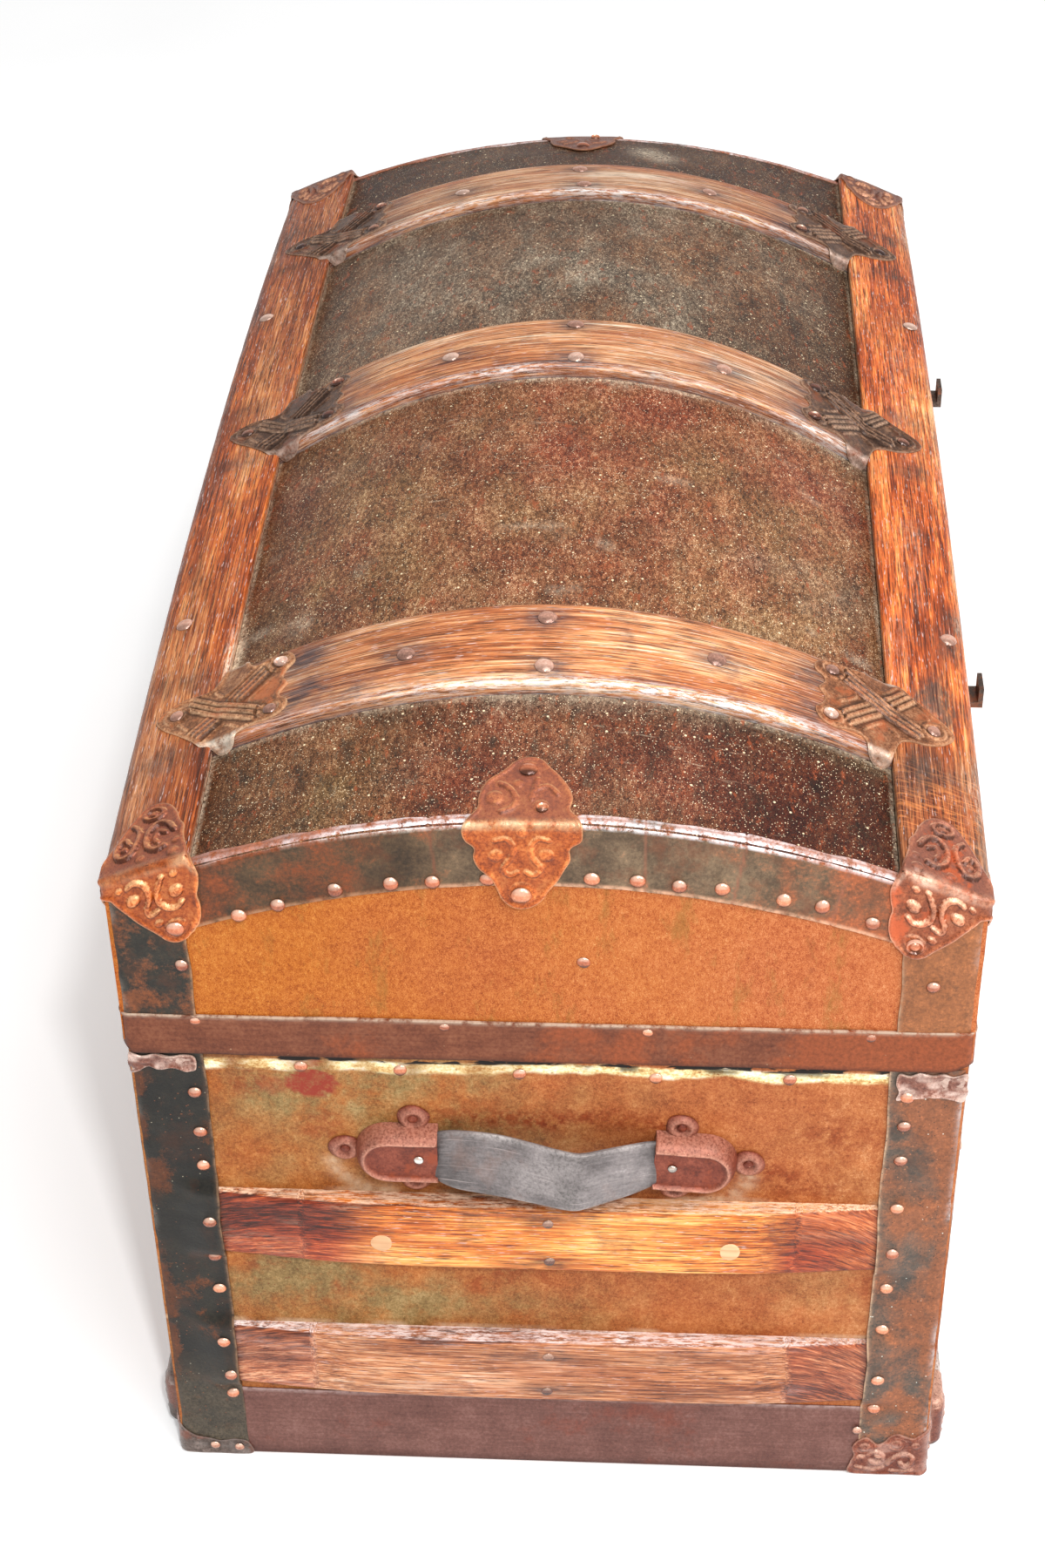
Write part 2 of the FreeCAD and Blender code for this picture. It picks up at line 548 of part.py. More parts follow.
bleaf, lleaf, pins = [], [], []
for x in ("-hinge_pos", "0", "hinge_pos"):
    leaf = box((x + "-20", x + "+20"), ("body_hy+metal", "body_hy+metal+1.6"), (298.0, 356.0))
    web = box((x + "-20", x + "+20"), ("body_hy+metal", "hinge_y"), (351.0, "hinge_z-1"))
    kn = rod("X", "knuckle_rad", ("hinge_y", "hinge_z"), x + "-20", x + "+20")
    gap = box((x + "-8.3", x + "+8.3"), ("body_hy-2", "hinge_y+5"), ("hinge_z-6", "hinge_z+6"))
    hole = rod("X", "bore_rad", ("hinge_y", "hinge_z"), x + "-25", x + "+25")
    trim = box((x + "-25", x + "+25"), ("body_hy-2", "body_hy+metal+1.9"), ("seam-1.5", "seam+20"))
    bleaf.append(cut(cut(cut(fuse([leaf, web, kn]), gap), hole), trim))
    leaf = box((x + "-20", x + "+20"), ("lid_hy+metal+band_thick", "lid_hy+metal+band_thick+1.6"), (373.0, 430.0))
    web = box((x + "-7.9", x + "+7.9"), ("lid_hy+metal+band_thick", "hinge_y"), ("hinge_z+1", 376.0))
    kn = rod("X", "knuckle_rad", ("hinge_y", "hinge_z"), x + "-7.9", x + "+7.9")
    hole = rod("X", "bore_rad", ("hinge_y", "hinge_z"), x + "-25", x + "+25")
    trim = box((x + "-25", x + "+25"), ("lid_hy-20", "lid_hy+metal+band_thick"), ("hinge_z-20", "hinge_z+20"))
    lleaf.append(cut(cut(fuse([leaf, web, kn]), hole), trim))
    pins.append(rod("X", "pin_rad", ("hinge_y", "hinge_z"), x + "-21", x + "+21"))
group(bleaf, "hinge_body_leaves")
group(lleaf, "hinge_lid_leaves")
group(pins, "hinge_pins")

# ============================================================ lock, hasp, side latches
# lock on the front of the body
lp = box((-42.0, 42.0), ("-body_hy-metal-1.6", "-body_hy-metal"), (256.0, 350.0))
lc = doc.addObject("PartDesign::Body", "lock_case")
sk = outline(lc, "lock_case_face", "XZ_Plane", [(-24.0, 270.0), (24.0, 270.0), (24.0, 340.0), (-24.0, 340.0)])
pd = pad(lc, sk, "4.4")
# the pad grows towards -Y; a keyhole goes right through the case
edge_round(lc, pd, lambda e: e.BoundBox.YLength > 3, 8.0)
lc.Placement = FreeCAD.Placement(V(0, -(P["body_hy"] + P["metal"]), 0), FreeCAD.Rotation())
lc.setExpression("Placement.Base.y", "-Dims.body_hy - Dims.metal")
key = fuse([rod("Y", 3.2, (0.0, 284.0), "-body_hy-20", "-body_hy-metal-1.8"), box((-1.4, 1.4), ("-body_hy-20", "-body_hy-metal-1.8"), (274.0, 284.0))])
keep(cut(fuse([lp, lc]), key, "lock"), "lock")


def bracket(x, zc, low, top, half, inner):
    """Plate on the lid's front with two ears that hold a pin along X."""
    plate = box((x + "-%g" % half, x + "+%g" % half), ("-lid_hy-metal-1.6", "-lid_hy-metal"), (low, top))
    ears = []
    for s in ("-", "+"):
        a, b = (x + s + "%g" % (half if s == "-" else inner), x + s + "%g" % (inner if s == "-" else half))
        ears.append(rod("X", "knuckle_rad", ("hasp_y", zc), a, b))
        ears.append(box((a, b), ("hasp_y", "-lid_hy-metal"), (zc + "-2", zc + "+3.6")))
    hole = rod("X", "bore_rad", ("hasp_y", zc), x + "-40", x + "+40")
    return cut(fuse([plate] + ears), hole)


def arm(x, zc, low, half, wide, name):
    """Hanging arm with a round knuckle on the pin and a turned-out finger tab at its foot."""
    plate = box((x + "-%g" % wide, x + "+%g" % wide), ("hasp_y-1.3", "hasp_y+1.3"), (low, zc + "-5.2"))
    neck = box((x + "-%g" % half, x + "+%g" % half), ("hasp_y-1.3", "hasp_y+1.3"), (zc + "-8", zc))
    kn = rod("X", "knuckle_rad-0.2", ("hasp_y", zc), x + "-%g" % half, x + "+%g" % half)
    tab = box((x + "-%g" % (wide * 0.6), x + "+%g" % (wide * 0.6)), ("hasp_y-9", "hasp_y-1.3"), (low, "%s+2.6" % low))
    hole = rod("X", "bore_rad", ("hasp_y", zc), x + "-40", x + "+40")
    return cut(fuse([plate, neck, kn, tab]), hole, name)


keep(bracket("0", "hasp_z", 388.0, 424.0, 22.0, 14.3), "hasp_bracket")
keep(arm("0", "hasp_z", 296.0, 14.0, 18.0, "hasp"), "hasp")
lb = []
for x in ("-latch_pos", "latch_pos"):
    br = bracket(x, "latch_z", 392.0, 452.0, 17.0, 10.3)
    hook = fuse([box((x + "-9", x + "+9"), ("-lid_hy-metal-16", "-lid_hy-metal"), (438.0, 442.0)),
                 box((x + "-9", x + "+9"), ("-lid_hy-metal-19", "-lid_hy-metal-16"), (438.0, 452.0))])
    lb.append(fuse([br, hook]))
group(lb, "latch_brackets")
keep(arm("-latch_pos", "latch_z", 318.0, 10.0, 13.0, "left_latch_arm"), "left_latch_arm")
keep(arm("latch_pos", "latch_z", 318.0, 10.0, 13.0, "right_latch_arm"), "right_latch_arm")
group([rod("X", "pin_rad", ("hasp_y", "hasp_z"), -22.5, 22.5),
       rod("X", "pin_rad", ("hasp_y", "latch_z"), "-latch_pos-17.5", "-latch_pos+17.5"),
       rod("X", "pin_rad", ("hasp_y", "latch_z"), "latch_pos-17.5", "latch_pos+17.5")], "latch_pins")
strikes = []
for x in ("-latch_pos", "latch_pos"):
    strikes.append(fuse([box((x + "-18", x + "+18"), ("-body_hy-metal-1.6", "-body_hy-metal"), (296.0, 350.0)),
                         box((x + "-8", x + "+8"), ("-body_hy-metal-4.2", "-body_hy-metal"), (322.0, 340.0))]))
group(strikes, "latch_strikes")

# ============================================================ nails
# Low domed heads that sit on the surface they hold down.
def heads(label, items):
    shapes = []
    for pos, nrm, ra, hh in items:
        Rs = (ra * ra + hh * hh) / (2 * hh)
        lat = math.degrees(math.asin((Rs - hh) / Rs))
        s = Part.makeSphere(Rs, V(0, 0, -(Rs - hh)), V(0, 0, 1), lat, 90, 360)
        s.Placement = FreeCAD.Placement(V(*pos), FreeCAD.Rotation(V(0, 0, 1), V(*nrm)))
        shapes.append(s)
    o = doc.addObject("Part::Feature", label)
    o.Shape = Part.makeCompound(shapes)
    o.Placement = FreeCAD.Placement()
    return keep(o, label)


HR, HH = P["head_rad"], P["head_high"]
body_x = P["body_hx"] + P["metal"]
body_y = P["body_hy"] + P["metal"]
bind_x, bind_y = body_x + P["strip"], body_y + P["strip"]
items = []
back_side = [(206, 325), (205, 293), (206, 265), (205, 222), (205, 188), (205, 158), (205, 114), (203, 83), (204, 60)]
front_side = [(-208.5, 335), (-208.5, 312), (-208, 284), (-208, 248), (-208, 211), (-207, 175), (-206.5, 138), (-206, 97), (-206, 64)]
for s in (-1, 1):
    for y, z in back_side + front_side:
        items.append(((s * (bind_x + 0.02), y, z), (s, 0, 0), HR, HH))
    for y, z in ((142, 347), (84, 346), (15, 345), (-64, 344.5), (-141, 346)):
        items.append(((s * (body_x + 0.02), y, z), (s, 0, 0), HR, 1.6))
    tx = body_x + P["end_slat_thick"]
    for y, z in ((-1, 234), (-2, 203), (0, 117), (1, 85)):
        items.append(((s * (tx + 0.02), y, z), (s, 0, 0), 3.2, 0.9))
    for y, z in ((100, 214.5), (-109.5, 215)):
        fall = 1.2 / 45
        items.append(((s * (tx - fall * (abs(y) - 80) + 0.03), y, z), (s, fall if y > 0 else -fall, 0), 7.0, 1.2))
for sy in (-1, 1):
    for sx in (-1, 1):
        for z in (68, 112, 156, 200, 244, 288, 332):
            items.append(((sx * 404.5, sy * (bind_y + 0.02), z), (0, sy, 0), HR, HH))
    for x in (-300, -180, -60, 60, 180, 300):
        items.append(((x, sy * (bind_y + P["long_slat_thick"] + 0.02), 29), (0, sy, 0), 3.2, 0.9))
        items.append(((x, sy * (body_y + P["long_slat_thick"] + 0.02), 220), (0, sy, 0), 3.2, 0.9))
heads("body_nails", items)

items = []
lid_x = P["lid_hx"] + P["metal"]
lid_y = P["lid_hy"] + P["metal"]
ax = lid_x + P["strip"]
arch = [(169, 461.5), (146.5, 469.5), (114, 481.5), (83, 486.5), (60, 488.7), (29.5, 491.6), (-27, 493), (-52, 492.5), (-75, 489), (-98, 488), (-132, 481), (-153, 477), (-181, 466)]
for s in (-1, 1):
    for y, z in arch:
        items.append(((s * (ax + 0.02), y, z), (s, 0, 0), HR, HH))
    items.append(((s * (ax + P["cap_thick"] + 0.02), 8.0, 483.0), (s, 0, 0), 6.0, 3.0))
    for y, z in ((203, 452), (-207, 452)):
        items.append(((s * (ax + P["cap_thick"] + 0.02), y, z), (s, 0, 0), HR, HH))
    for y, z in ((204, 424), (-217, 421)):
        items.append(((s * (ax + 0.02), y, z), (s, 0, 0), HR, HH))
    items.append(((s * (lid_x + 0.02), -22.5, 432.5), (s, 0, 0), HR, 1.8))
    for y, z in ((200, 382), (57, 382), (-59, 381.5), (-185, 382)):
        items.append(((s * (lid_x + P["band_thick"] + 0.02), y, z), (s, 0, 0), 2.4, 0.9))
for sy in (-1, 1):
    for x in (-360, -240, -120, 120, 240, 360) if sy < 0 else (-380, -230, -130, 130, 230, 380):
        items.append(((x, sy * (lid_y + P["band_thick"] + 0.02), 382), (0, sy, 0), 2.4, 0.9))
    for sx in (-1, 1):
        for z in (404, 432):
            items.append(((sx * 404.5, sy * (lid_y + P["strip"] + 0.02), z), (0, sy, 0), HR, HH))


def on_top(kind, up, x, y, ra, hh):
    z = height(kind, up, x, y)
    d = 0.05
    nx = -(height(kind, up, x + d, y) - height(kind, up, x - d, y)) / (2 * d)
    ny = -(height(kind, up, x, y + d) - height(kind, up, x, y - d)) / (2 * d)
    n = V(nx, ny, 1).normalize()
    c = V(x, y, z) + n * (ra * ra / 1000.0 + 0.03)
    items.append(((c.x, c.y, c.z), (n.x, n.y, n.z), ra, hh))


slat_nails = [(-P["slat_left"], ((-22, 3), (18, 3), (-3, 83), (0, -94))),
              (0.0, ((-24, -3), (21, -1), (-5, 80), (-6, -99))),
              (P["slat_right"], ((-24, 3), (14, 7), (-8, 94), (-6, -90)))]
for x0, at in slat_nails:
    for dx, y in at:
        on_top("dome", P["slat_thick"], x0 + dx, y, 4.4, 1.6)
for y in (-234.0, 230.0):
    for x in (-219.5, 181.0):
        on_top("rail", 0.0, x, y, 4.4, 1.6)
heads("lid_nails", items)

# ============================================================ checks and export
doc.recompute()
bad = []
for o in doc.Objects:
    if any(s in ("Invalid", "Error") for s in o.State):
        bad.append((o.Name, o.Label, o.State))
for o in PARTS:
    sh = o.Shape
    if sh.isNull() or not sh.isValid() or len(sh.Solids) == 0:
        bad.append((o.Name, o.Label, "shape"))
if bad:
    for b in bad:
        print("BAD", b)
    raise SystemExit("the model has failed objects")
assert len(PARTS) <= 60, len(PARTS)
os.makedirs("parts", exist_ok=True)
for o in PARTS:
    o.Shape.exportStep("parts/%s.step" % o.Label)
    bb = o.Shape.BoundBox
    print("%-24s solids %3d vol %10.0f  x %7.1f %7.1f  y %7.1f %7.1f  z %6.1f %6.1f" % (
        o.Label, len(o.Shape.Solids), o.Shape.Volume, bb.XMin, bb.XMax, bb.YMin, bb.YMax, bb.ZMin, bb.ZMax))
print("nodes", len(PARTS))
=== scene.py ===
import math

import bpy
import bmesh
import numpy as np
from mathutils import Matrix, Vector
from mathutils.geometry import delaunay_2d_cdt


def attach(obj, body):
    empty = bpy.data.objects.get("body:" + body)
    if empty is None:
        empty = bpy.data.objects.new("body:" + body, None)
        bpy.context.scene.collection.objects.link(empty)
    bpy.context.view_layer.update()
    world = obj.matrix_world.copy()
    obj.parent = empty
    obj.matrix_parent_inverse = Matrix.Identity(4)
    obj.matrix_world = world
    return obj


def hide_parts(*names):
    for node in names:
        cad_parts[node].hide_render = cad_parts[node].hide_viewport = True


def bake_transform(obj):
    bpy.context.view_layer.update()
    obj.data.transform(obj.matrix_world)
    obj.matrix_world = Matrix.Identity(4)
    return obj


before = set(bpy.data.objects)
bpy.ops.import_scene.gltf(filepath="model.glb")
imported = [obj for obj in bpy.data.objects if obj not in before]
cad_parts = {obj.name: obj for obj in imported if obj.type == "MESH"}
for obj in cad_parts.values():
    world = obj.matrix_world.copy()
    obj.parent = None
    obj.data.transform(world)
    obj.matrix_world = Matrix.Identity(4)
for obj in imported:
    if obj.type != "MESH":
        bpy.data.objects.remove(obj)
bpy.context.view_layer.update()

SC = bpy.context.scene
SC.view_settings.view_transform = "Standard"
SC.view_settings.look = "None"

# Dome top trunk. Lengths below are in millimetres and become metres in make().
# X runs along the trunk, the front with the lock faces -Y, Z is up.
HL, HW = 445.0, 245.0
BX, BY = 441.0, 241.0            # body, outside of the boards
LX, LY = 442.5, 242.5            # lid, outside of the boards
METAL, STRIP = 0.7, 0.8
SLAT_X = (-315.0, 0.0, 299.0)
SLAT_NAILS = (((-22, 3), (18, 3), (-3, 83), (0, -94)), ((-24, -3), (21, -1), (-5, 80), (-6, -99)), ((-24, 3), (14, 7), (-8, 94), (-6, -90)))
SLAT_HALF = 33.8
K = 57.0 / HW ** 2


def bow(x):
    return 1.0 - (x / HL) ** 2


def dome(x, y, up=0.0):
    return 530.0 + up - K * y * y + (46.5 - (46.5 - 14.4) / 194.0 ** 2 * y * y) * bow(x)


def rail(x, y, up=0.0):
    s1 = (22.0 - 14.4) / (HW ** 2 - 194.0 ** 2)
    return 538.6 + up - K * y * y + (14.4 - s1 * 194.0 ** 2 + s1 * y * y) * bow(x)


# ------------------------------------------------------------------ noise
def _hash(ix, iy, iz, seed):
    n = (ix.astype(np.int64) * 73856093) ^ (iy.astype(np.int64) * 19349663) ^ (iz.astype(np.int64) * 83492791) ^ (int(seed) * 40503 + 977)
    n &= 0xFFFFFFFF
    n = ((n ^ (n >> 13)) * 1274126177) & 0xFFFFFFFF
    n ^= n >> 16
    return (n & 0xFFFFFF).astype(float) / float(0xFFFFFF)


def noise(P, scale, seed=0):
    """Smooth value noise from -1 to 1 at points P, with cells of the given size in mm."""
    Q = np.asarray(P, float) / np.asarray(scale, float)
    I = np.floor(Q)
    f = Q - I
    f = f * f * (3 - 2 * f)
    ix, iy, iz = I[..., 0], I[..., 1], I[..., 2]
    out = 0.0
    for a in (0, 1):
        wa = f[..., 0] if a else 1 - f[..., 0]
        for b in (0, 1):
            wb = f[..., 1] if b else 1 - f[..., 1]
            for c in (0, 1):
                wc = f[..., 2] if c else 1 - f[..., 2]
                out = out + wa * wb * wc * _hash(ix + a, iy + b, iz + c, seed)
    return out * 2 - 1


def fbm(P, scale, seed=0, octaves=3, gain=0.5):
    s = np.asarray(scale, float)
    out, amp, tot = 0.0, 1.0, 0.0
    for k in range(octaves):
        out = out + amp * noise(P, s / 2 ** k, seed + 17 * k)
        tot += amp
        amp *= gain
    return out / tot


def sstep(a, b, x):
    t = np.clip((np.asarray(x, float) - a) / (b - a), 0, 1)
    return t * t * (3 - 2 * t)


def xyz(x, y, z):
    x, y, z = np.broadcast_arrays(np.asarray(x, float), np.asarray(y, float), np.asarray(z, float))
    return np.stack([x, y, z], -1)


# ------------------------------------------------------------------ meshes
def make(name, V, F, mat, body="root", attrs=None, rep=(), angle=38.0, recalc=True, smooth=True, jitter=None):
    V = np.asarray(V, float)
    me = bpy.data.meshes.new(name)
    me.from_pydata((V * 0.001).tolist(), [], [tuple(int(i) for i in f) for f in F])
    me.update()
    if recalc:
        bm = bmesh.new()
        bm.from_mesh(me)
        bmesh.ops.recalc_face_normals(bm, faces=bm.faces)
        bm.to_mesh(me)
        bm.free()
    if smooth:
        me.shade_smooth()
        me.set_sharp_from_angle(angle=math.radians(angle))
    for k, v in (attrs or {}).items():
        v = np.asarray(v, np.float32)
        if v.ndim == 2:
            at = me.attributes.new(k, "FLOAT_VECTOR", "POINT")
            at.data.foreach_set("vector", np.ascontiguousarray(v).ravel())
        else:
            at = me.attributes.new(k, "FLOAT", "POINT")
            at.data.foreach_set("value", np.ascontiguousarray(v))
    o = bpy.data.objects.new(name, me)
    SC.collection.objects.link(o)
    for m in (mat if isinstance(mat, (list, tuple)) else [mat]):
        me.materials.append(m)
    if body:
        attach(o, body)
    if rep:
        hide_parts(*rep)
    return o


def join(parts):
    """Several (V, F, attrs) as one."""
    Vs, Fs, A, n = [], [], {}, 0
    keys = sorted({k for p in parts for k in p[2]})
    for V, F, at in parts:
        Vs.append(np.asarray(V, float))
        Fs += [tuple(i + n for i in f) for f in F]
        for k in keys:
            like = next(p[2][k] for p in parts if k in p[2])
            d = np.asarray(at[k], float) if k in at else np.zeros((len(V),) + np.asarray(like).shape[1:])
            A.setdefault(k, []).append(d)
        n += len(V)
    return np.concatenate(Vs), Fs, {k: np.concatenate(v) for k, v in A.items()}


def mirror(part, axis):
    V, F, at = part
    V = np.array(V, float)
    V[:, axis] *= -1
    return V, F, {k: np.array(v) for k, v in at.items()}


def quads(n, m, wrap=False, base=0):
    """Faces of an n by m grid of points; wrap closes it along m."""
    F = []
    mm = m if wrap else m - 1
    for i in range(n - 1):
        for j in range(mm):
            a, b = i * m + j, i * m + (j + 1) % m
            F.append((base + a, base + b, base + b + m, base + a + m))
    return F


def loft(S, close_ends=True):
    """Closed sections S[i][j] joined along i, with capped ends."""
    n, m = S.shape[:2]
    F = quads(n, m, True)
    if close_ends:
        F.append(tuple(range(m))[::-1])
        F.append(tuple((n - 1) * m + j for j in range(m)))
    return S.reshape(-1, 3), F


def ring(S):
    """Closed sections joined along i, the last one to the first."""
    n, m = S.shape[:2]
    F = []
    for i in range(n):
        k = (i + 1) % n
        for j in range(m):
            l = (j + 1) % m
            F.append((i * m + j, i * m + l, k * m + l, k * m + j))
    return S.reshape(-1, 3), F


def slab(T, B):
    """A closed sheet from an upper and a lower grid of points."""
    n, m = T.shape[:2]
    V = np.concatenate([T.reshape(-1, 3), B.reshape(-1, 3)])
    o = n * m
    F = quads(n, m) + [f[::-1] for f in quads(n, m, base=o)]
    for i in range(n - 1):
        a, b = i * m, (i + 1) * m
        F.append((a, b, b + o, a + o))
        a, b = i * m + m - 1, (i + 1) * m + m - 1
        F.append((b, a, a + o, b + o))
    for j in range(m - 1):
        F.append((j + 1, j, j + o, j + 1 + o))
        a = (n - 1) * m + j
        F.append((a, a + 1, a + 1 + o, a + o))
    return V, F


def two(a):
    return np.concatenate([np.asarray(a, float).ravel()] * 2)


def spline(pts, step=1.0, closed=True):
    """Catmull-Rom line through pts, with points about step apart."""
    P = np.asarray(pts, float)
    n = len(P)
    out = []
    for i in range(n if closed else n - 1):
        if closed:
            p0, p1, p2, p3 = P[(i - 1) % n], P[i], P[(i + 1) % n], P[(i + 2) % n]
        else:
            p0, p1, p2, p3 = P[max(i - 1, 0)], P[i], P[i + 1], P[min(i + 2, n - 1)]
        k = max(1, int(round(np.linalg.norm(p2 - p1) / step)))
        for j in range(k):
            t = j / k
            out.append(0.5 * (2 * p1 + (p2 - p0) * t + (2 * p0 - 5 * p1 + 4 * p2 - p3) * t * t + (3 * p1 - p0 - 3 * p2 + p3) * t ** 3))
    if not closed:
        out.append(P[-1])
    return np.array(out)


def dist_line(P, L, closed=False):
    """Distance from points P (n, 2) to the polyline L."""
    P, L = np.asarray(P, float), np.asarray(L, float)
    A = L if closed else L[:-1]
    B = np.roll(L, -1, 0) if closed else L[1:]
    best = np.full(len(P), 1e9)
    for a, b in zip(A, B):
        d = b - a
        q = np.clip(((P - a) @ d) / max(d @ d, 1e-12), 0, 1)
        best = np.minimum(best, np.hypot(*(P - a - q[:, None] * d).T))
    return best


def inside(P, L):
    x, y = P[:, 0], P[:, 1]
    c = np.zeros(len(P), bool)
    n = len(L)
    j = n - 1
    for i in range(n):
        xi, yi, xj, yj = L[i][0], L[i][1], L[j][0], L[j][1]
        hit = ((yi > y) != (yj > y)) & (x < (xj - xi) * (y - yi) / ((yj - yi) if yj != yi else 1e-12) + xi)
        c ^= hit
        j = i
    return c


def fill(outline, step):
    """Points and triangles inside a closed outline, with even spacing."""
    L = np.asarray(outline, float)
    lo, hi = L.min(0), L.max(0)
    pts = []
    r = 0
    y = lo[1]
    while y < hi[1]:
        x = lo[0] + (step / 2 if r % 2 else 0)
        while x < hi[0]:
            pts.append((x, y))
            x += step
        y += step * 0.866
        r += 1
    pts = np.array(pts)
    ok = inside(pts, L) & (dist_line(pts, L, True) > step * 0.55)
    pts = np.concatenate([L, pts[ok]])
    n = len(L)
    got = delaunay_2d_cdt([Vector(p) for p in pts], [(i, (i + 1) % n) for i in range(n)], [], 1, 1e-6)
    P = np.array([list(v) for v in got[0]], float)
    T = [tuple(f) for f in got[2]]
    return P, T


def plate(outline, step, place, height, thick=0.8, rim=1.0, skirt=0.0):
    """A pressed plate: outline in (u, v), relief height(u, v), put in space by place(u, v, h)."""
    L = np.asarray(outline, float)
    P, T = fill(L, step)
    d = dist_line(P, L, True)
    h = height(P[:, 0], P[:, 1], d)
    top = place(P[:, 0], P[:, 1], thick + h)
    bot = place(P[:, 0], P[:, 1], np.zeros(len(P)))
    n = len(P)
    V = np.concatenate([top, bot])
    F = list(T) + [tuple(i + n for i in t[::-1]) for t in T]
    seen = {}
    for t in T:
        for a, b in zip(t, t[1:] + t[:1]):
            seen[(a, b)] = seen.get((a, b), 0) + 1
    for (a, b) in seen:
        if (b, a) not in seen:
            F.append((b, a, a + n, b + n))
    # lit is painted light: relief slopes that face +v (upwards on the end faces) come out positive and are painted
    # lighter, slopes facing -v negative and painted darker.
    lit = np.clip((height(P[:, 0], P[:, 1] - 0.7, d) - height(P[:, 0], P[:, 1] + 0.7, d)) / 1.4, -1, 1)
    at = {"rim": np.concatenate([1 - sstep(0, rim, d), np.ones(n)]), "relief": np.concatenate([h, np.zeros(n)]), "lit": np.concatenate([lit, np.zeros(n)])}
    return V, F, at


def basis(n):
    n = np.asarray(n, float)
    n = n / np.linalg.norm(n)
    a = np.array([0, 0, 1.0]) if abs(n[2]) < 0.9 else np.array([1.0, 0, 0])
    u = np.cross(a, n)
    u /= np.linalg.norm(u)
    return u, np.cross(n, u), n


def nail(pos, nrm, r, h, seed=0, flat=0.0, seg=18, ringed=0.0):
    """A nail head: a domed cap with a thin rim, a little uneven."""
    rng = np.random.RandomState(seed + 11)
    u, v, n = basis(nrm)
    prof = [(1.0, 0.0), (1.02, 0.10), (0.97, 0.30), (0.88, 0.52), (0.74, 0.72), (0.56, 0.87), (0.34, 0.96), (0.14, 1.0)]
    if flat:
        prof = [(1.0, 0.0), (1.02, 0.25), (0.95, 0.6), (0.84, 0.85), (0.66, 0.95), (0.4, 0.98), (0.16, 1.0)]
    if ringed:
        prof = [(1.0, 0.0), (1.04, 0.4), (0.96, 0.85), (0.84, 1.0), (0.72, 0.75), (0.62, 0.45), (0.5, 0.75), (0.34, 1.0), (0.14, 1.1)]
    tilt = rng.uniform(-0.06, 0.06, 2)
    off = rng.uniform(-0.25, 0.25, 2)
    V, hg = [], []
    ph = rng.uniform(0, 6.28)
    for k, (pr, pz) in enumerate(prof):
        for j in range(seg):
            a = 2 * math.pi * j / seg
            w = 1 + 0.035 * math.sin(2 * a + ph) + 0.02 * math.sin(3 * a + 2 * ph)
            x, y = pr * r * w * math.cos(a), pr * r * w * math.sin(a)
            z = pz * h * (1 + 0.05 * math.sin(a + ph)) + (tilt[0] * x + tilt[1] * y) * (pz > 0.05)
            V.append(np.asarray(pos) + u * (x + off[0]) + v * (y + off[1]) + n * z)
            hg.append(pz)
    V.append(np.asarray(pos) + u * off[0] + v * off[1] + n * h * prof[-1][1] * 1.02)
    hg.append(prof[-1][1])
    F = []
    m = len(prof)
    for k in range(m - 1):
        for j in range(seg):
            l = (j + 1) % seg
            F.append((k * seg + j, k * seg + l, (k + 1) * seg + l, (k + 1) * seg + j))
    c = m * seg
    for j in range(seg):
        F.append(((m - 1) * seg + j, (m - 1) * seg + (j + 1) % seg, c))
    F.append(tuple(range(seg))[::-1])
    n_ = len(V)
    # lit is painted light for the nail materials: +1 on the lit side of the head (upwards on upright faces, towards +X
    # on top faces), -1 on the shaded side.
    Q = np.array(V) - np.asarray(pos)
    return np.array(V), F, {"lit": np.clip((Q[:, 2] - 0.35 * Q[:, 0]) / r, -1, 1) if abs(n[2]) < 0.7 else np.clip(Q[:, 0] / r, -1, 1), "hgt": np.array(hg), "rnd": np.full(n_, rng.uniform()), "bright": np.full(n_, rng.uniform())}


def surf_point(fn, x, y, up=0.0):
    z = float(fn(x, y, up))
    e = 0.05
    nx = -(fn(x + e, y, up) - fn(x - e, y, up)) / (2 * e)
    ny = -(fn(x, y + e, up) - fn(x, y - e, up)) / (2 * e)
    n = np.array([nx, ny, 1.0])
    return np.array([x, y, z]), n / np.linalg.norm(n)


# --------------------------------------------------------------- materials
def lin(c):
    if len(c) == 4:
        return tuple(c)
    out = []
    for v in c:
        v /= 255.0
        out.append(v / 12.92 if v <= 0.04045 else ((v + 0.055) / 1.055) ** 2.4)
    return (*out, 1.0)


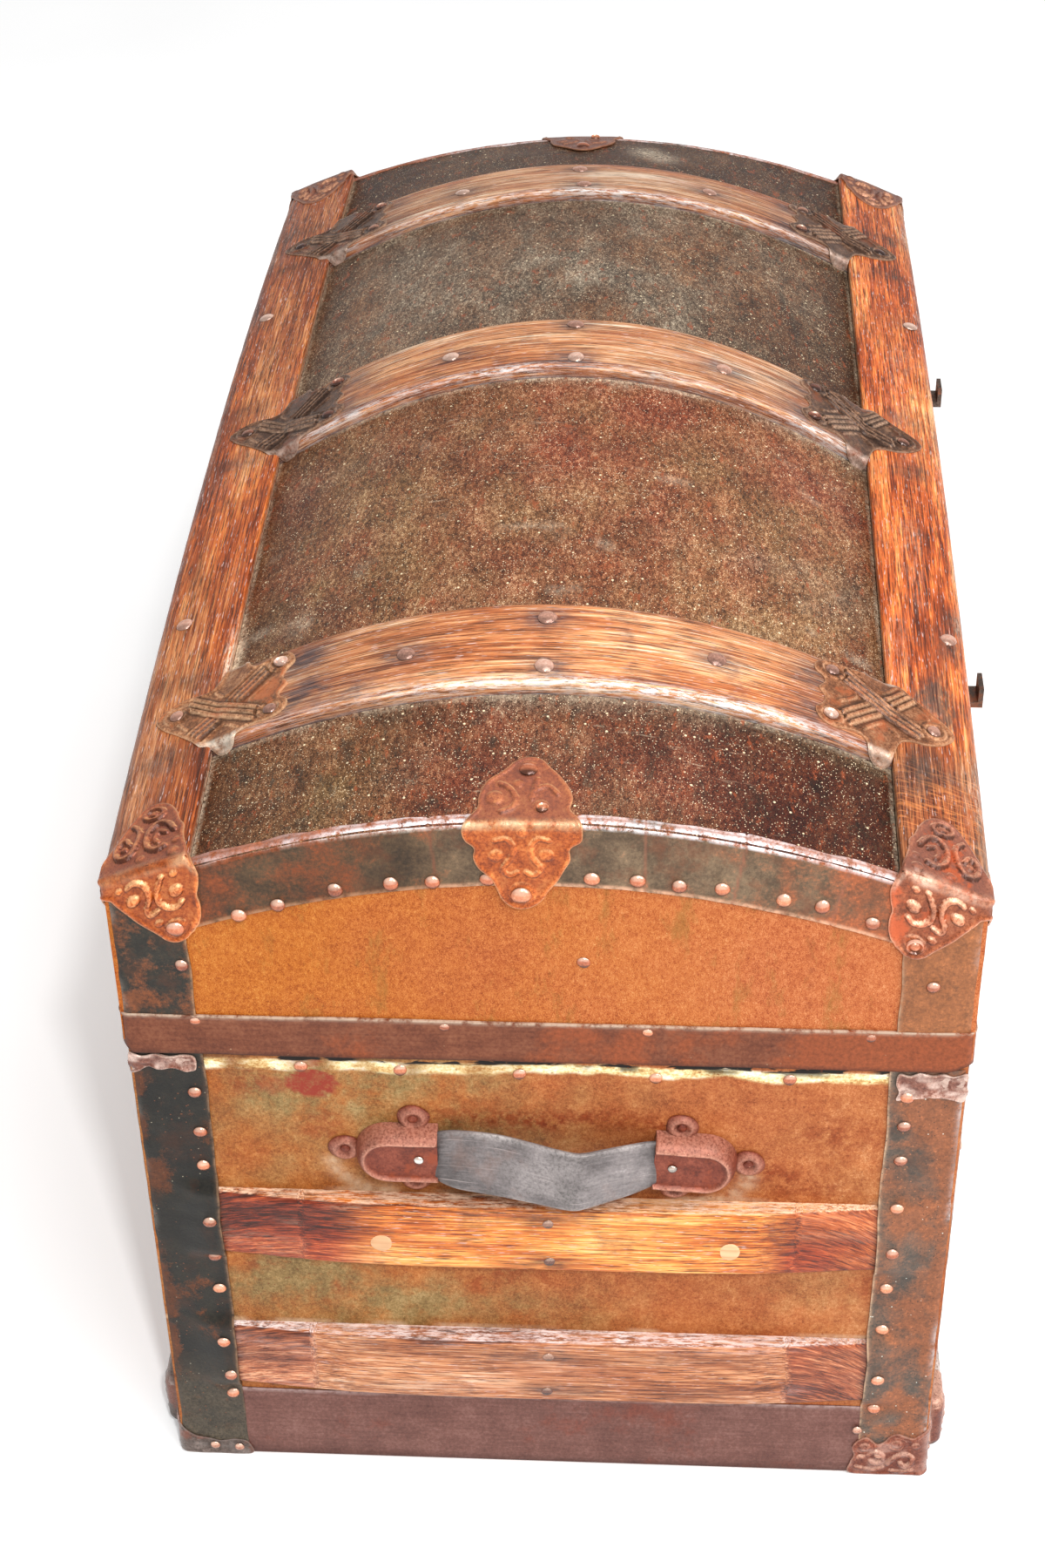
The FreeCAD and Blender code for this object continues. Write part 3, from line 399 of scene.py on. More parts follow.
class Mat:
    """A material built from nodes. A colour is three sRGB numbers from 0 to 255."""

    def __init__(s, name, gain=(1.0, 1.0, 1.0)):
        s.gain = gain
        s.m = bpy.data.materials.new(name)
        s.m.use_nodes = True
        s.t = s.m.node_tree
        s.t.nodes.clear()
        s.out = s.t.nodes.new("ShaderNodeOutputMaterial")
        s.b = s.t.nodes.new("ShaderNodeBsdfPrincipled")
        s.t.links.new(s.b.outputs[0], s.out.inputs[0])
        s.c = s.t.nodes.new("ShaderNodeTexCoord").outputs["Object"]

    def col(s, c):
        return (*(min(1.0, a * k) for a, k in zip(lin(c)[:3], s.gain)), 1.0)

    def plain(s, c):
        """A colour that the gain doesn't change."""
        return (*(a / k for a, k in zip(lin(c)[:3], s.gain)), 1.0)

    def node(s, kind, **props):
        n = s.t.nodes.new(kind)
        for k, v in props.items():
            setattr(n, k, v)
        return n

    def put(s, sock, v):
        if isinstance(v, bpy.types.NodeSocket):
            s.t.links.new(v, sock)
        elif isinstance(v, (tuple, list)) and sock.type == "RGBA":
            sock.default_value = s.col(v)
        else:
            sock.default_value = v

    def attr(s, name, vec=False):
        n = s.node("ShaderNodeAttribute", attribute_type="GEOMETRY", attribute_name=name)
        return n.outputs["Vector" if vec else "Fac"]

    def scale(s, v, k):
        n = s.node("ShaderNodeVectorMath", operation="MULTIPLY")
        s.put(n.inputs[0], v)
        n.inputs[1].default_value = k if isinstance(k, (tuple, list)) else (k, k, k)
        return n.outputs[0]

    def shift(s, v, k):
        n = s.node("ShaderNodeVectorMath", operation="ADD")
        s.put(n.inputs[0], v)
        s.put(n.inputs[1], k)
        return n.outputs[0]

    def noise(s, scale=1.0, detail=3.0, rough=0.5, v=None, dist=0.0, seed=0.0):
        n = s.node("ShaderNodeTexNoise")
        src = s.c if v is None else v
        if seed:
            src = s.shift(src, (seed, seed * 0.7, seed * 1.3))
        s.put(n.inputs["Vector"], src)
        n.inputs["Scale"].default_value = scale
        n.inputs["Detail"].default_value = detail
        n.inputs["Roughness"].default_value = rough
        n.inputs["Distortion"].default_value = dist
        return n.outputs["Fac"]

    def cells(s, scale, v=None, out="Distance", rand=1.0, feature="F1"):
        n = s.node("ShaderNodeTexVoronoi", feature=feature)
        s.put(n.inputs["Vector"], s.c if v is None else v)
        n.inputs["Scale"].default_value = scale
        n.inputs["Randomness"].default_value = rand
        return n.outputs[out]

    def ramp(s, fac, stops):
        n = s.node("ShaderNodeValToRGB")
        e = n.color_ramp.elements
        while len(e) < len(stops):
            e.new(0.5)
        for i, (p, c) in enumerate(stops):
            e[i].position = p
        for i, (p, c) in enumerate(stops):
            e[i].color = s.col(c)
        s.put(n.inputs[0], fac)
        return n.outputs[0]

    def rng(s, v, a, b, c=0.0, d=1.0, smooth=False):
        n = s.node("ShaderNodeMapRange", interpolation_type="SMOOTHSTEP" if smooth else "LINEAR", clamp=True)
        s.put(n.inputs["Value"], v)
        for k, x in (("From Min", a), ("From Max", b), ("To Min", c), ("To Max", d)):
            n.inputs[k].default_value = x
        return n.outputs[0]

    def op(s, kind, a, b=0.0, clamp=False):
        n = s.node("ShaderNodeMath", operation=kind, use_clamp=clamp)
        s.put(n.inputs[0], a)
        s.put(n.inputs[1], b)
        return n.outputs[0]

    def add(s, *a):
        r = a[0]
        for x in a[1:]:
            r = s.op("ADD", r, x)
        return r

    def mul(s, *a):
        r = a[0]
        for x in a[1:]:
            r = s.op("MULTIPLY", r, x)
        return r

    def clamp(s, v):
        return s.op("ADD", v, 0.0, True)

    def mix(s, f, a, b, kind="MIX"):
        n = s.node("ShaderNodeMix", data_type="RGBA", blend_type=kind)
        s.put(n.inputs[0], f)
        s.put(n.inputs[6], a)
        s.put(n.inputs[7], b)
        return n.outputs[2]

    def xyz(s, axis, v=None):
        n = s.node("ShaderNodeSeparateXYZ")
        s.put(n.inputs[0], s.c if v is None else v)
        return n.outputs[axis]

    def bump(s, h, strength=0.3, dist=0.001, normal=None):
        n = s.node("ShaderNodeBump")
        n.inputs["Strength"].default_value = strength
        n.inputs["Distance"].default_value = dist
        s.put(n.inputs["Height"], h)
        if normal is not None:
            s.put(n.inputs["Normal"], normal)
        return n.outputs[0]

    def done(s, color, rough=0.5, normal=None, metal=0.0, spec=0.5, coat=0.0, coat_rough=0.2, sheen=0.0):
        s.put(s.b.inputs["Base Color"], color)
        s.put(s.b.inputs["Roughness"], rough)
        s.put(s.b.inputs["Metallic"], metal)
        s.b.inputs["Specular IOR Level"].default_value = spec
        s.b.inputs["Coat Weight"].default_value = coat
        s.b.inputs["Coat Roughness"].default_value = coat_rough
        s.b.inputs["Sheen Weight"].default_value = sheen
        if normal is not None:
            s.put(s.b.inputs["Normal"], normal)
        return s.m


def wood(name, seed, bright, gain=(1, 1, 1), pit=(70, 36, 26), rough=0.0, deep=(1, 1, 1)):
    """Worn, varnished oak. The grain runs along the first number of the grain attribute."""
    m = Mat(name, gain)
    g = m.attr("grain", True)
    if seed:
        g = m.shift(g, (seed, seed * 0.37, seed * 0.73))
    fibre = m.noise(1.0, 4.0, 0.7, m.scale(g, (19, 700, 700)))
    streak = m.noise(1.0, 4.0, 0.62, m.scale(g, (7, 150, 150)), dist=0.3)
    broad = m.noise(1.0, 3.0, 0.55, m.scale(g, (5.5, 26, 26)))
    pore = m.noise(1.0, 2.0, 0.6, m.scale(g, (52, 1350, 1350)), seed=3.1)
    glint_fleck = m.noise(1.0, 2.0, 0.5, m.scale(g, (120, 1100, 1100)), seed=8.3)
    val = m.add(m.mul(streak, 0.15), m.mul(fibre, 0.50), m.mul(broad, 0.35))
    val = m.rng(val, 0.385, 0.61)
    lit = m.ramp(val, list(zip((0.0, 0.24, 0.48, 0.74, 1.0), bright)))
    dark = m.ramp(val, [(0.0, (40, 26, 20)), (0.3, (84, 50, 36)), (0.55, (128, 78, 52)), (0.8, (162, 106, 76)), (1.0, (202, 150, 118))])
    tint = m.clamp(m.add(m.attr("tint"), m.rng(broad, 0.35, 0.65, -0.14, 0.14)))
    col = m.mix(tint, lit, dark)
    red = m.rng(m.noise(1.0, 3.0, 0.6, m.scale(g, (14, 60, 60)), seed=6.4), 0.50, 0.66, 0.0, 0.5)
    col = m.mix(red, col, bright[1])
    pores = m.rng(pore, 0.545, 0.635)
    col = m.mix(m.mul(pores, 0.80), col, pit)
    # Pale flecks on the grain: painted glints of light.
    col = m.mix(m.rng(glint_fleck, 0.63, 0.70, 0.0, 0.5), col, m.plain((236, 214, 210)))
    mar = m.clamp(m.attr("maroon"))
    col = m.mix(mar, col, m.ramp(val, [(t, tuple(c * k for c, k in zip(q, deep))) for t, q in ((0.0, (46, 20, 14)), (0.3, (100, 42, 27)), (0.55, (152, 74, 44)), (0.8, (190, 106, 66)), (1.0, (226, 158, 112)))]))
    col = m.mix(m.mul(mar, m.mul(pores, 0.5)), col, pit)
    blot = m.rng(m.noise(30.0, 5.0, 0.7, seed=1.7), 0.56, 0.70, 0.0, 0.5)
    col = m.mix(blot, col, (104, 62, 50))
    rip = m.mul(m.clamp(m.attr("ripple")), m.rng(m.noise(1.0, 3.0, 0.6, m.scale(g, (520, 60, 60)), dist=0.6, seed=12.0), 0.50, 0.58))
    col = m.mix(m.mul(rip, 0.34), col, bright[3])
    # halo: dark stains round the nails and along the slats, and painted shade in the crease at the foot of the cross
    # slats and under the end slats.
    halo_and_shade = m.clamp(m.mul(m.attr("halo_and_shade"), m.rng(m.noise(1.0, 5.0, 0.7, m.scale(g, (110, 300, 300)), seed=5.0), 0.30, 0.64, 0.3, 1.35)))
    col = m.mix(m.mul(halo_and_shade, 0.86), col, m.mix(m.rng(fibre, 0.4, 0.6), (46, 36, 36), (96, 78, 74)))
    # wear: pale worn wood, and a painted highlight along the near rounded edges of the cross slats and on the top faces
    # of the end slats.
    wear = m.clamp(m.mul(m.attr("wear"), m.rng(m.noise(1.0, 5.0, 0.8, m.scale(g, (110, 620, 620)), seed=7.0), 0.45, 0.57, 0.0, 1.25)))
    col = m.mix(wear, col, (246, 228, 222))
    dust_and_sheen = m.clamp(m.mul(m.attr("dust_and_sheen"), m.rng(m.noise(420.0, 3.0, 0.7, seed=2.0), 0.38, 0.6, 0.0, 1.3)))
    col = m.mix(dust_and_sheen, col, (222, 210, 198))
    h = m.add(m.mul(fibre, 0.6), m.mul(pores, -0.7), m.mul(streak, 0.4), m.mul(rip, 0.5))
    r = m.add(m.rng(fibre, 0.3, 0.7, 0.27 + rough, 0.46 + rough), m.mul(halo_and_shade, 0.2))
    return m.done(col, r, m.bump(h, 0.55, 0.0010), spec=0.26)


def specks(m, scale, size, share, seed=0.0):
    """Scattered small dots: 1 in a dot, 0 elsewhere."""
    v = m.shift(m.c, (seed, seed, seed)) if seed else m.c
    d = m.cells(scale, v)
    pick = m.node("ShaderNodeSeparateColor")
    m.put(pick.inputs[0], m.cells(scale, v, "Color"))
    dot = m.rng(d, size * 0.6, size, 1.0, 0.0)
    return m.mul(dot, m.op("GREATER_THAN", pick.outputs[0], 1.0 - share))


def dome_mat():
    m = Mat("dome_paint", (0.99, 0.94, 0.78))
    p = m.scale(m.c, (0.55, 1.0, 0.9))
    mid = m.noise(46.0, 6.0, 0.72, p, seed=2.0)
    fine = m.noise(420.0, 5.0, 0.8, p, seed=4.0)
    micro = m.noise(1500.0, 2.0, 0.7, seed=6.0)
    v = m.add(m.mul(mid, 0.18), m.mul(fine, 0.43), m.mul(micro, 0.39))
    v = m.rng(v, 0.415, 0.59)
    brown = m.ramp(v, [(0.0, (44, 28, 18)), (0.3, (98, 62, 38)), (0.55, (134, 88, 58)), (0.8, (164, 116, 82)), (1.0, (212, 178, 144))])
    red = m.ramp(v, [(0.0, (48, 18, 13)), (0.35, (100, 44, 28)), (0.6, (134, 64, 41)), (0.85, (162, 92, 64)), (1.0, (206, 152, 124))])
    olive = m.ramp(v, [(0.0, (46, 34, 20)), (0.35, (98, 72, 44)), (0.6, (132, 98, 64)), (0.85, (162, 128, 92)), (1.0, (214, 190, 156))])
    grey = m.ramp(v, [(0.0, (48, 40, 36)), (0.35, (98, 86, 78)), (0.6, (136, 122, 112)), (0.85, (176, 164, 154)), (1.0, (232, 224, 216))])
    rp = m.clamp(m.add(m.attr("red"), m.rng(m.noise(22.0, 6.0, 0.72, p, seed=9.0), 0.42, 0.60, -0.26, 0.26)))
    op = m.clamp(m.add(m.attr("olive"), m.rng(m.noise(16.0, 6.0, 0.72, p, seed=12.0), 0.42, 0.62, -0.2, 0.2)))
    col = m.mix(op, brown, olive)
    col = m.mix(rp, col, red)
    dk = m.rng(m.add(m.mul(m.noise(90.0, 6.0, 0.78, p, seed=15.0), 0.6), m.mul(fine, 0.4)), 0.515, 0.575, 0.0, 0.85)
    col = m.mix(m.mul(dk, m.clamp(m.add(0.2, m.attr("spot")))), col, (34, 28, 24))
    # Grey from the dust attribute: dust, and a painted sheen of reflected light on the far panels.
    gs = m.clamp(m.mul(m.attr("dust_and_sheen"), m.rng(m.noise(14.0, 6.0, 0.75, p, seed=18.0), 0.34, 0.64, 0.1, 1.25)))
    col = m.mix(gs, col, grey)
    shade = m.clamp(m.attr("shade"))
    col = m.mix(shade, col, m.mix(1.0, col, (150, 130, 120), "MULTIPLY"))
    pale = m.clamp(m.mul(m.attr("pale"), m.rng(m.noise(360.0, 4.0, 0.75, seed=3.0), 0.36, 0.6, 0.0, 1.25)))
    col = m.mix(pale, col, (236, 222, 210))
    wisp = m.rng(m.noise(1.0, 4.0, 0.75, m.scale(m.c, (300, 34, 60)), seed=33.0), 0.60, 0.70, 0.0, 0.5)
    col = m.mix(m.mul(wisp, m.rng(m.noise(9.0, 3.0, 0.6, seed=35.0), 0.48, 0.6)), col, (196, 176, 162))
    sp = m.op("MAXIMUM", specks(m, 330.0, 0.17, 0.13), specks(m, 900.0, 0.33, 0.28, 0.31))
    col = m.mix(m.mul(sp, m.rng(m.noise(60.0, 4.0, 0.7, seed=41.0), 0.40, 0.60, 0.25, 1.0)), col, (250, 232, 210))
    col = m.mix(m.mul(specks(m, 215.0, 0.19, 0.15, 1.3), 0.85), col, (250, 236, 212))
    col = m.mix(m.mul(specks(m, 520.0, 0.3, 0.34, 0.9), 0.75), col, (40, 28, 22))
    col = m.mix(m.mul(m.rng(m.noise(150.0, 5.0, 0.8, p, seed=51.0), 0.58, 0.64), 0.6), col, (156, 78, 48))
    h = m.add(m.mul(fine, 0.6), m.mul(micro, 0.4), m.mul(mid, 0.4))
    r = m.add(m.rng(fine, 0.3, 0.7, 0.30, 0.50), m.mul(gs, 0.06))
    return m.done(col, r, m.bump(h, 0.55, 0.0012), spec=0.28)


def lid_end_mat():
    m = Mat("lid_end_rust", (0.64, 0.61, 0.43))
    big = m.noise(9.0, 4.0, 0.6)
    mid = m.noise(90.0, 6.0, 0.78, seed=1.0)
    fine = m.noise(520.0, 5.0, 0.82, m.scale(m.c, (1.0, 1.0, 0.7)), seed=2.0)
    micro = m.noise(1700.0, 2.0, 0.7, seed=5.0)
    v = m.add(m.mul(big, 0.10), m.mul(mid, 0.12), m.mul(fine, 0.38), m.mul(micro, 0.40))
    v = m.rng(v, 0.37, 0.64)
    a = m.ramp(v, [(0.0, (130, 58, 20)), (0.25, (176, 88, 32)), (0.5, (212, 120, 50)), (0.78, (234, 150, 78)), (1.0, (255, 198, 130))])
    b = m.ramp(v, [(0.0, (140, 62, 40)), (0.25, (184, 92, 58)), (0.5, (220, 126, 84)), (0.78, (240, 156, 118)), (1.0, (255, 204, 172))])
    # Towards -Y the paler, pinker palette b takes over: painted light on the side the light falls on.
    side = m.rng(m.add(m.xyz(1), m.rng(big, 0.3, 0.7, -0.08, 0.08)), 0.16, -0.14)
    col = m.mix(side, a, b)
    col = m.mix(m.rng(m.noise(40.0, 5.0, 0.75, m.scale(m.c, (1.0, 1.0, 0.4)), seed=31.0), 0.54, 0.66, 0.0, 0.42), col, (150, 122, 66))
    col = m.mix(m.mul(specks(m, 430.0, 0.26, 0.38), 0.32), col, (140, 58, 24))
    col = m.mix(m.mul(specks(m, 90.0, 0.09, 0.16, 0.2), 0.75), col, (86, 46, 26))
    col = m.mix(m.mul(specks(m, 260.0, 0.12, 0.08, 0.6), 0.8), col, (255, 226, 180))
    col = m.mix(m.rng(m.noise(17.0, 5.0, 0.75, seed=8.0), 0.56, 0.70, 0.0, 0.4), col, (176, 76, 38))
    sc = m.clamp(m.mul(m.attr("stain"), m.rng(m.noise(180.0, 4.0, 0.7, seed=9.0), 0.42, 0.58)))
    col = m.mix(m.mul(sc, 0.8), col, (142, 56, 36))
    h = m.add(m.mul(fine, 0.6), m.mul(micro, 0.5))
    return m.done(col, m.rng(mid, 0.3, 0.7, 0.40, 0.56), m.bump(h, 0.32, 0.0009), spec=0.12)


def body_mat():
    m = Mat("body_paint", (0.69, 0.57, 0.43))
    big = m.noise(8.0, 4.0, 0.6, seed=2.0)
    mid = m.noise(52.0, 5.0, 0.7, seed=1.0)
    fine = m.noise(460.0, 5.0, 0.82, seed=3.0)
    micro = m.noise(1700.0, 2.0, 0.7, seed=5.0)
    v = m.add(m.mul(big, 0.12), m.mul(mid, 0.26), m.mul(fine, 0.36), m.mul(micro, 0.26))
    v = m.rng(v, 0.41, 0.60)
    a = m.ramp(v, [(0.0, (138, 70, 26)), (0.3, (172, 98, 40)), (0.55, (194, 118, 56)), (0.8, (212, 140, 78)), (1.0, (232, 172, 114))])
    b = m.ramp(v, [(0.0, (150, 78, 44)), (0.3, (188, 108, 64)), (0.55, (208, 130, 84)), (0.8, (224, 152, 106)), (1.0, (242, 186, 146))])
    # Towards -Y the paler, pinker palette b takes over: painted light on the side the light falls on.
    col = m.mix(m.rng(m.add(m.xyz(1), m.rng(big, 0.3, 0.7, -0.1, 0.1)), 0.16, -0.16), a, b)
    ol = m.clamp(m.mul(m.attr("olive"), m.rng(m.noise(30.0, 5.0, 0.7, seed=7.0), 0.34, 0.62, 0.2, 1.3)))
    col = m.mix(ol, col, m.ramp(v, [(0.0, (104, 84, 52)), (0.5, (158, 138, 96)), (1.0, (202, 184, 142))]))
    ru = m.clamp(m.mul(m.attr("rusty"), m.rng(m.noise(120.0, 6.0, 0.75, seed=4.0), 0.42, 0.56, 0.0, 1.2)))
    col = m.mix(ru, col, m.ramp(fine, [(0.3, (116, 50, 28)), (0.6, (168, 84, 46)), (0.75, (196, 110, 66))]))
    st = m.clamp(m.mul(m.attr("stain"), m.rng(m.noise(300.0, 4.0, 0.7, seed=6.0), 0.3, 0.6, 0.5, 1.15)))
    col = m.mix(st, col, m.plain((138, 50, 34)))
    pale = m.clamp(m.mul(m.attr("pale"), m.rng(m.noise(210.0, 4.0, 0.7, seed=8.0), 0.32, 0.58, 0.35, 1.1)))
    col = m.mix(pale, col, m.plain((216, 190, 158)))
    # dark: painted shade under the end slats and a painted shadow below the handle strap (set in body_end).
    dk = m.clamp(m.attr("dark"))
    col = m.mix(m.mul(dk, m.rng(m.noise(90.0, 5.0, 0.7, seed=10.0), 0.34, 0.55, 0.5, 1.0)), col, (74, 34, 24))
    cream = m.clamp(m.attr("cream"))
    cr = m.ramp(m.add(m.mul(m.noise(1.0, 5.0, 0.7, m.scale(m.c, (60, 60, 210)), seed=12.0), 0.6), m.mul(fine, 0.4)),
                [(0.34, m.plain((128, 88, 54))), (0.43, m.plain((202, 158, 96))), (0.50, m.plain((238, 218, 160))), (0.60, m.plain((252, 246, 226)))])
    col = m.mix(cream, col, cr)
    bk = m.clamp(m.mul(m.attr("black"), m.rng(m.noise(1.0, 3.0, 0.6, m.scale(m.c, (34, 34, 150)), seed=14.0), 0.44, 0.5, 0.0, 1.4)))
    col = m.mix(bk, col, (32, 28, 28))
    col = m.mix(m.mul(specks(m, 240.0, 0.2, 0.22, 0.4), 0.55), col, (132, 66, 36))
    col = m.mix(m.mul(specks(m, 110.0, 0.13, 0.06, 0.9), 0.7), col, (240, 210, 170))
    h = m.add(m.mul(fine, 0.6), m.mul(micro, 0.4), m.mul(ru, 0.5))
    return m.done(col, m.add(m.rng(mid, 0.3, 0.7, 0.36, 0.52), m.mul(ru, 0.15)), m.bump(h, 0.32, 0.0009), spec=0.15)


def binding_mat(name, deep, paint, paint2, rust, seed, lo=0.50, hi=0.60, gain=(1, 1, 1), edge=(196, 150, 120)):
    """Black painted iron, clouded, and worn to rust where the rusty attribute is high."""
    m = Mat(name, gain)
    cloud = m.noise(24.0, 6.0, 0.72, seed=seed + 2)
    mid = m.noise(70.0, 6.0, 0.75, seed=seed)
    fine = m.noise(460.0, 5.0, 0.8, seed=seed + 1)
    v = m.rng(m.add(m.mul(cloud, 0.46), m.mul(mid, 0.22), m.mul(fine, 0.32)), 0.36, 0.64)
    col = m.ramp(v, [(0.0, deep), (0.4, paint), (0.8, paint2), (1.0, tuple(min(255, c * 1.35) for c in paint2))])
    warm = m.rng(m.noise(34.0, 5.0, 0.7, seed=seed + 9), 0.50, 0.64, 0.0, 0.5)
    col = m.mix(warm, col, tuple(c * 0.72 for c in rust))
    rf = m.add(m.mul(cloud, 0.34), m.mul(mid, 0.40), m.mul(fine, 0.26), m.mul(m.attr("rusty"), 0.30))
    patch = m.rng(rf, lo, hi)
    rc = m.ramp(m.add(m.mul(fine, 0.6), m.mul(mid, 0.4)), [(0.3, tuple(c * 0.5 for c in rust)), (0.46, tuple(c * 0.85 for c in rust)), (0.56, rust), (0.68, tuple(min(255, c * 1.3) for c in rust))])
    col = m.mix(m.mul(patch, 0.92), col, rc)
    # rim: a pale line along the edges, worn edges, and on the arch strips a painted highlight on the rolled lower edge.
    rim = m.clamp(m.mul(m.attr("rim"), m.rng(m.noise(110.0, 4.0, 0.7, seed=seed + 5), 0.36, 0.58, 0.1, 1.1)))
    col = m.mix(rim, col, edge)
    # wear: lightens towards white, worn paint, and along the ridge fold of the arch strips a painted highlight.
    wear = m.clamp(m.mul(m.attr("wear"), m.rng(m.noise(150.0, 5.0, 0.78, seed=seed + 6), 0.38, 0.56, 0.0, 1.25)))
    col = m.mix(wear, col, (250, 238, 238))
    fade = m.clamp(m.mul(m.attr("fade"), m.rng(m.noise(30.0, 5.0, 0.7, seed=seed + 12), 0.3, 0.6, 0.3, 1.2)))
    col = m.mix(fade, col, m.mix(m.rng(fine, 0.4, 0.6), (84, 74, 62), (134, 120, 106)))
    seam = m.clamp(m.attr("seam"))
    col = m.mix(m.mul(seam, 0.75), col, (140, 84, 62))
    # deep: painted shade, a multiply darkening (used over the +Y half of the arch strips).
    col = m.mix(m.clamp(m.attr("deep")), col, m.mix(1.0, col, m.plain((190, 178, 160)), "MULTIPLY"))
    col = m.mix(m.mul(specks(m, 420.0, 0.24, 0.22, seed + 0.2), 0.75), col, deep)
    col = m.mix(m.mul(specks(m, 260.0, 0.15, 0.14, seed), 0.7), col, (186, 112, 76))
    col = m.mix(m.mul(specks(m, 210.0, 0.10, 0.08, seed + 0.4), 0.85), col, (240, 230, 214))
    h = m.add(m.mul(fine, 0.6), m.mul(patch, -0.6), m.mul(cloud, 0.4))
    rough = m.add(m.rng(fine, 0.3, 0.7, 0.32, 0.50), m.mul(patch, 0.14))
    return m.done(col, rough, m.bump(h, 0.5, 0.0010), spec=0.22)


def pressed_mat(name, low, base, high, tip, seed, metal=0.25, rust=None, amount=0.0, gain=(1, 1, 1)):
    """Pressed sheet metal: hollows darkened by dirt and painted shade, raised tops lightened by wear and a painted
    highlight.
    """
    m = Mat(name, gain)
    mid = m.noise(80.0, 5.0, 0.72, seed=seed)
    fine = m.noise(480.0, 4.0, 0.75, seed=seed + 1)
    v = m.rng(m.add(m.mul(mid, 0.55), m.mul(fine, 0.45)), 0.34, 0.66)
    col = m.ramp(v, [(0.0, low), (0.35, tuple((a + b) / 2 for a, b in zip(low, base))), (0.58, base), (0.85, high), (1.0, tuple(min(255, c * 1.08) for c in high))])
    rel = m.attr("relief")
    # hol: the hollows darkened, dirt and painted shade.
    hol = m.rng(rel, -0.1, 0.5, 1.0, 0.0)
    col = m.mix(m.mul(hol, m.rng(mid, 0.3, 0.7, 0.3, 0.8), 0.7), col, low)
    col = m.mix(m.mul(m.clamp(m.attr("topside")), 0.45), col, m.plain((136, 96, 86)))
    if rust:
        col = m.mix(m.rng(m.noise(34.0, 5.0, 0.7, seed=seed + 3), 0.52 - amount, 0.60 - amount, 0.0, 0.8), col, rust)
    # topf: raised tops lightened towards tip, worn metal and a painted highlight.
    topf = m.mul(m.rng(rel, 1.0, 2.2), m.rng(fine, 0.38, 0.62, 0.0, 0.8))
    col = m.mix(m.mul(topf, 0.45), col, tip)
    # lit is painted light: lit slopes are lightened towards tip, slopes on the shaded side darkened.
    lit = m.attr("lit")
    col = m.mix(m.mul(m.rng(lit, 0.12, 0.9), m.rng(fine, 0.36, 0.58, 0.35, 0.95)), col, tip)
    col = m.mix(m.mul(m.rng(lit, -0.12, -0.8), 0.78), col, tuple(c * 0.45 for c in low))
    rim = m.clamp(m.mul(m.attr("rim"), m.rng(m.noise(120.0, 4.0, 0.7, seed=seed + 5), 0.3, 0.6, 0.2, 1.0)))
    col = m.mix(m.mul(rim, 0.5), col, tip)
    # wear: lightens towards white, worn metal, and along the folds of the corner caps and crown bumpers a painted
    # highlight.
    wear = m.clamp(m.mul(m.attr("wear"), m.rng(m.noise(150.0, 5.0, 0.75, seed=seed + 6), 0.34, 0.56, 0.1, 1.25)))
    col = m.mix(wear, col, (246, 232, 228))
    col = m.mix(m.mul(m.clamp(m.attr("groove")), m.rng(fine, 0.3, 0.6, 0.7, 0.95)), col, tuple(c * 0.62 for c in low))
    col = m.mix(m.mul(specks(m, 330.0, 0.2, 0.2, seed), 0.5), col, low)
    h = m.add(m.mul(fine, 0.6), m.mul(mid, 0.5))
    return m.done(col, m.rng(fine, 0.3, 0.7, 0.22, 0.40), m.bump(h, 0.42, 0.0009), metal=metal, spec=0.3)


def band_mat(name, c0, c1, c2, rust, seed, share=0.0, gain=(1, 1, 1)):
    m = Mat(name, gain)
    mid = m.noise(46.0, 6.0, 0.72, seed=seed)
    fine = m.noise(400.0, 4.0, 0.75, seed=seed + 1)
    brush = m.noise(1.0, 4.0, 0.65, m.scale(m.c, (30, 30, 500)), seed=seed + 2)
    v = m.rng(m.add(m.mul(mid, 0.4), m.mul(fine, 0.4), m.mul(brush, 0.2)), 0.35, 0.66)
    col = m.ramp(v, [(0.0, c0), (0.5, c1), (1.0, c2)])
    rf = m.add(m.noise(14.0, 6.0, 0.72, seed=seed + 3), m.mul(m.attr("rusty"), 0.3))
    col = m.mix(m.rng(rf, 0.56 - share, 0.66 - share, 0.0, 0.85), col, m.ramp(fine, [(0.3, tuple(c * 0.8 for c in rust)), (0.7, tuple(min(255, c * 1.12) for c in rust))]))
    rim = m.clamp(m.mul(m.attr("rim"), m.rng(m.noise(150.0, 4.0, 0.7, seed=seed + 5), 0.34, 0.56, 0.0, 1.15)))
    col = m.mix(rim, col, (255, 246, 244))
    dk = m.clamp(m.attr("dark"))
    col = m.mix(m.mul(dk, 0.75), col, (58, 32, 26))
    col = m.mix(m.mul(specks(m, 200.0, 0.15, 0.12, seed), 0.75), col, (236, 214, 194))
    col = m.mix(m.mul(specks(m, 300.0, 0.2, 0.2, seed + 0.5), 0.5), col, c0)
    h = m.add(m.mul(fine, 0.6), m.mul(brush, 0.3))
    return m.done(col, m.rng(mid, 0.3, 0.7, 0.34, 0.48), m.bump(h, 0.3, 0.0008), spec=0.18)


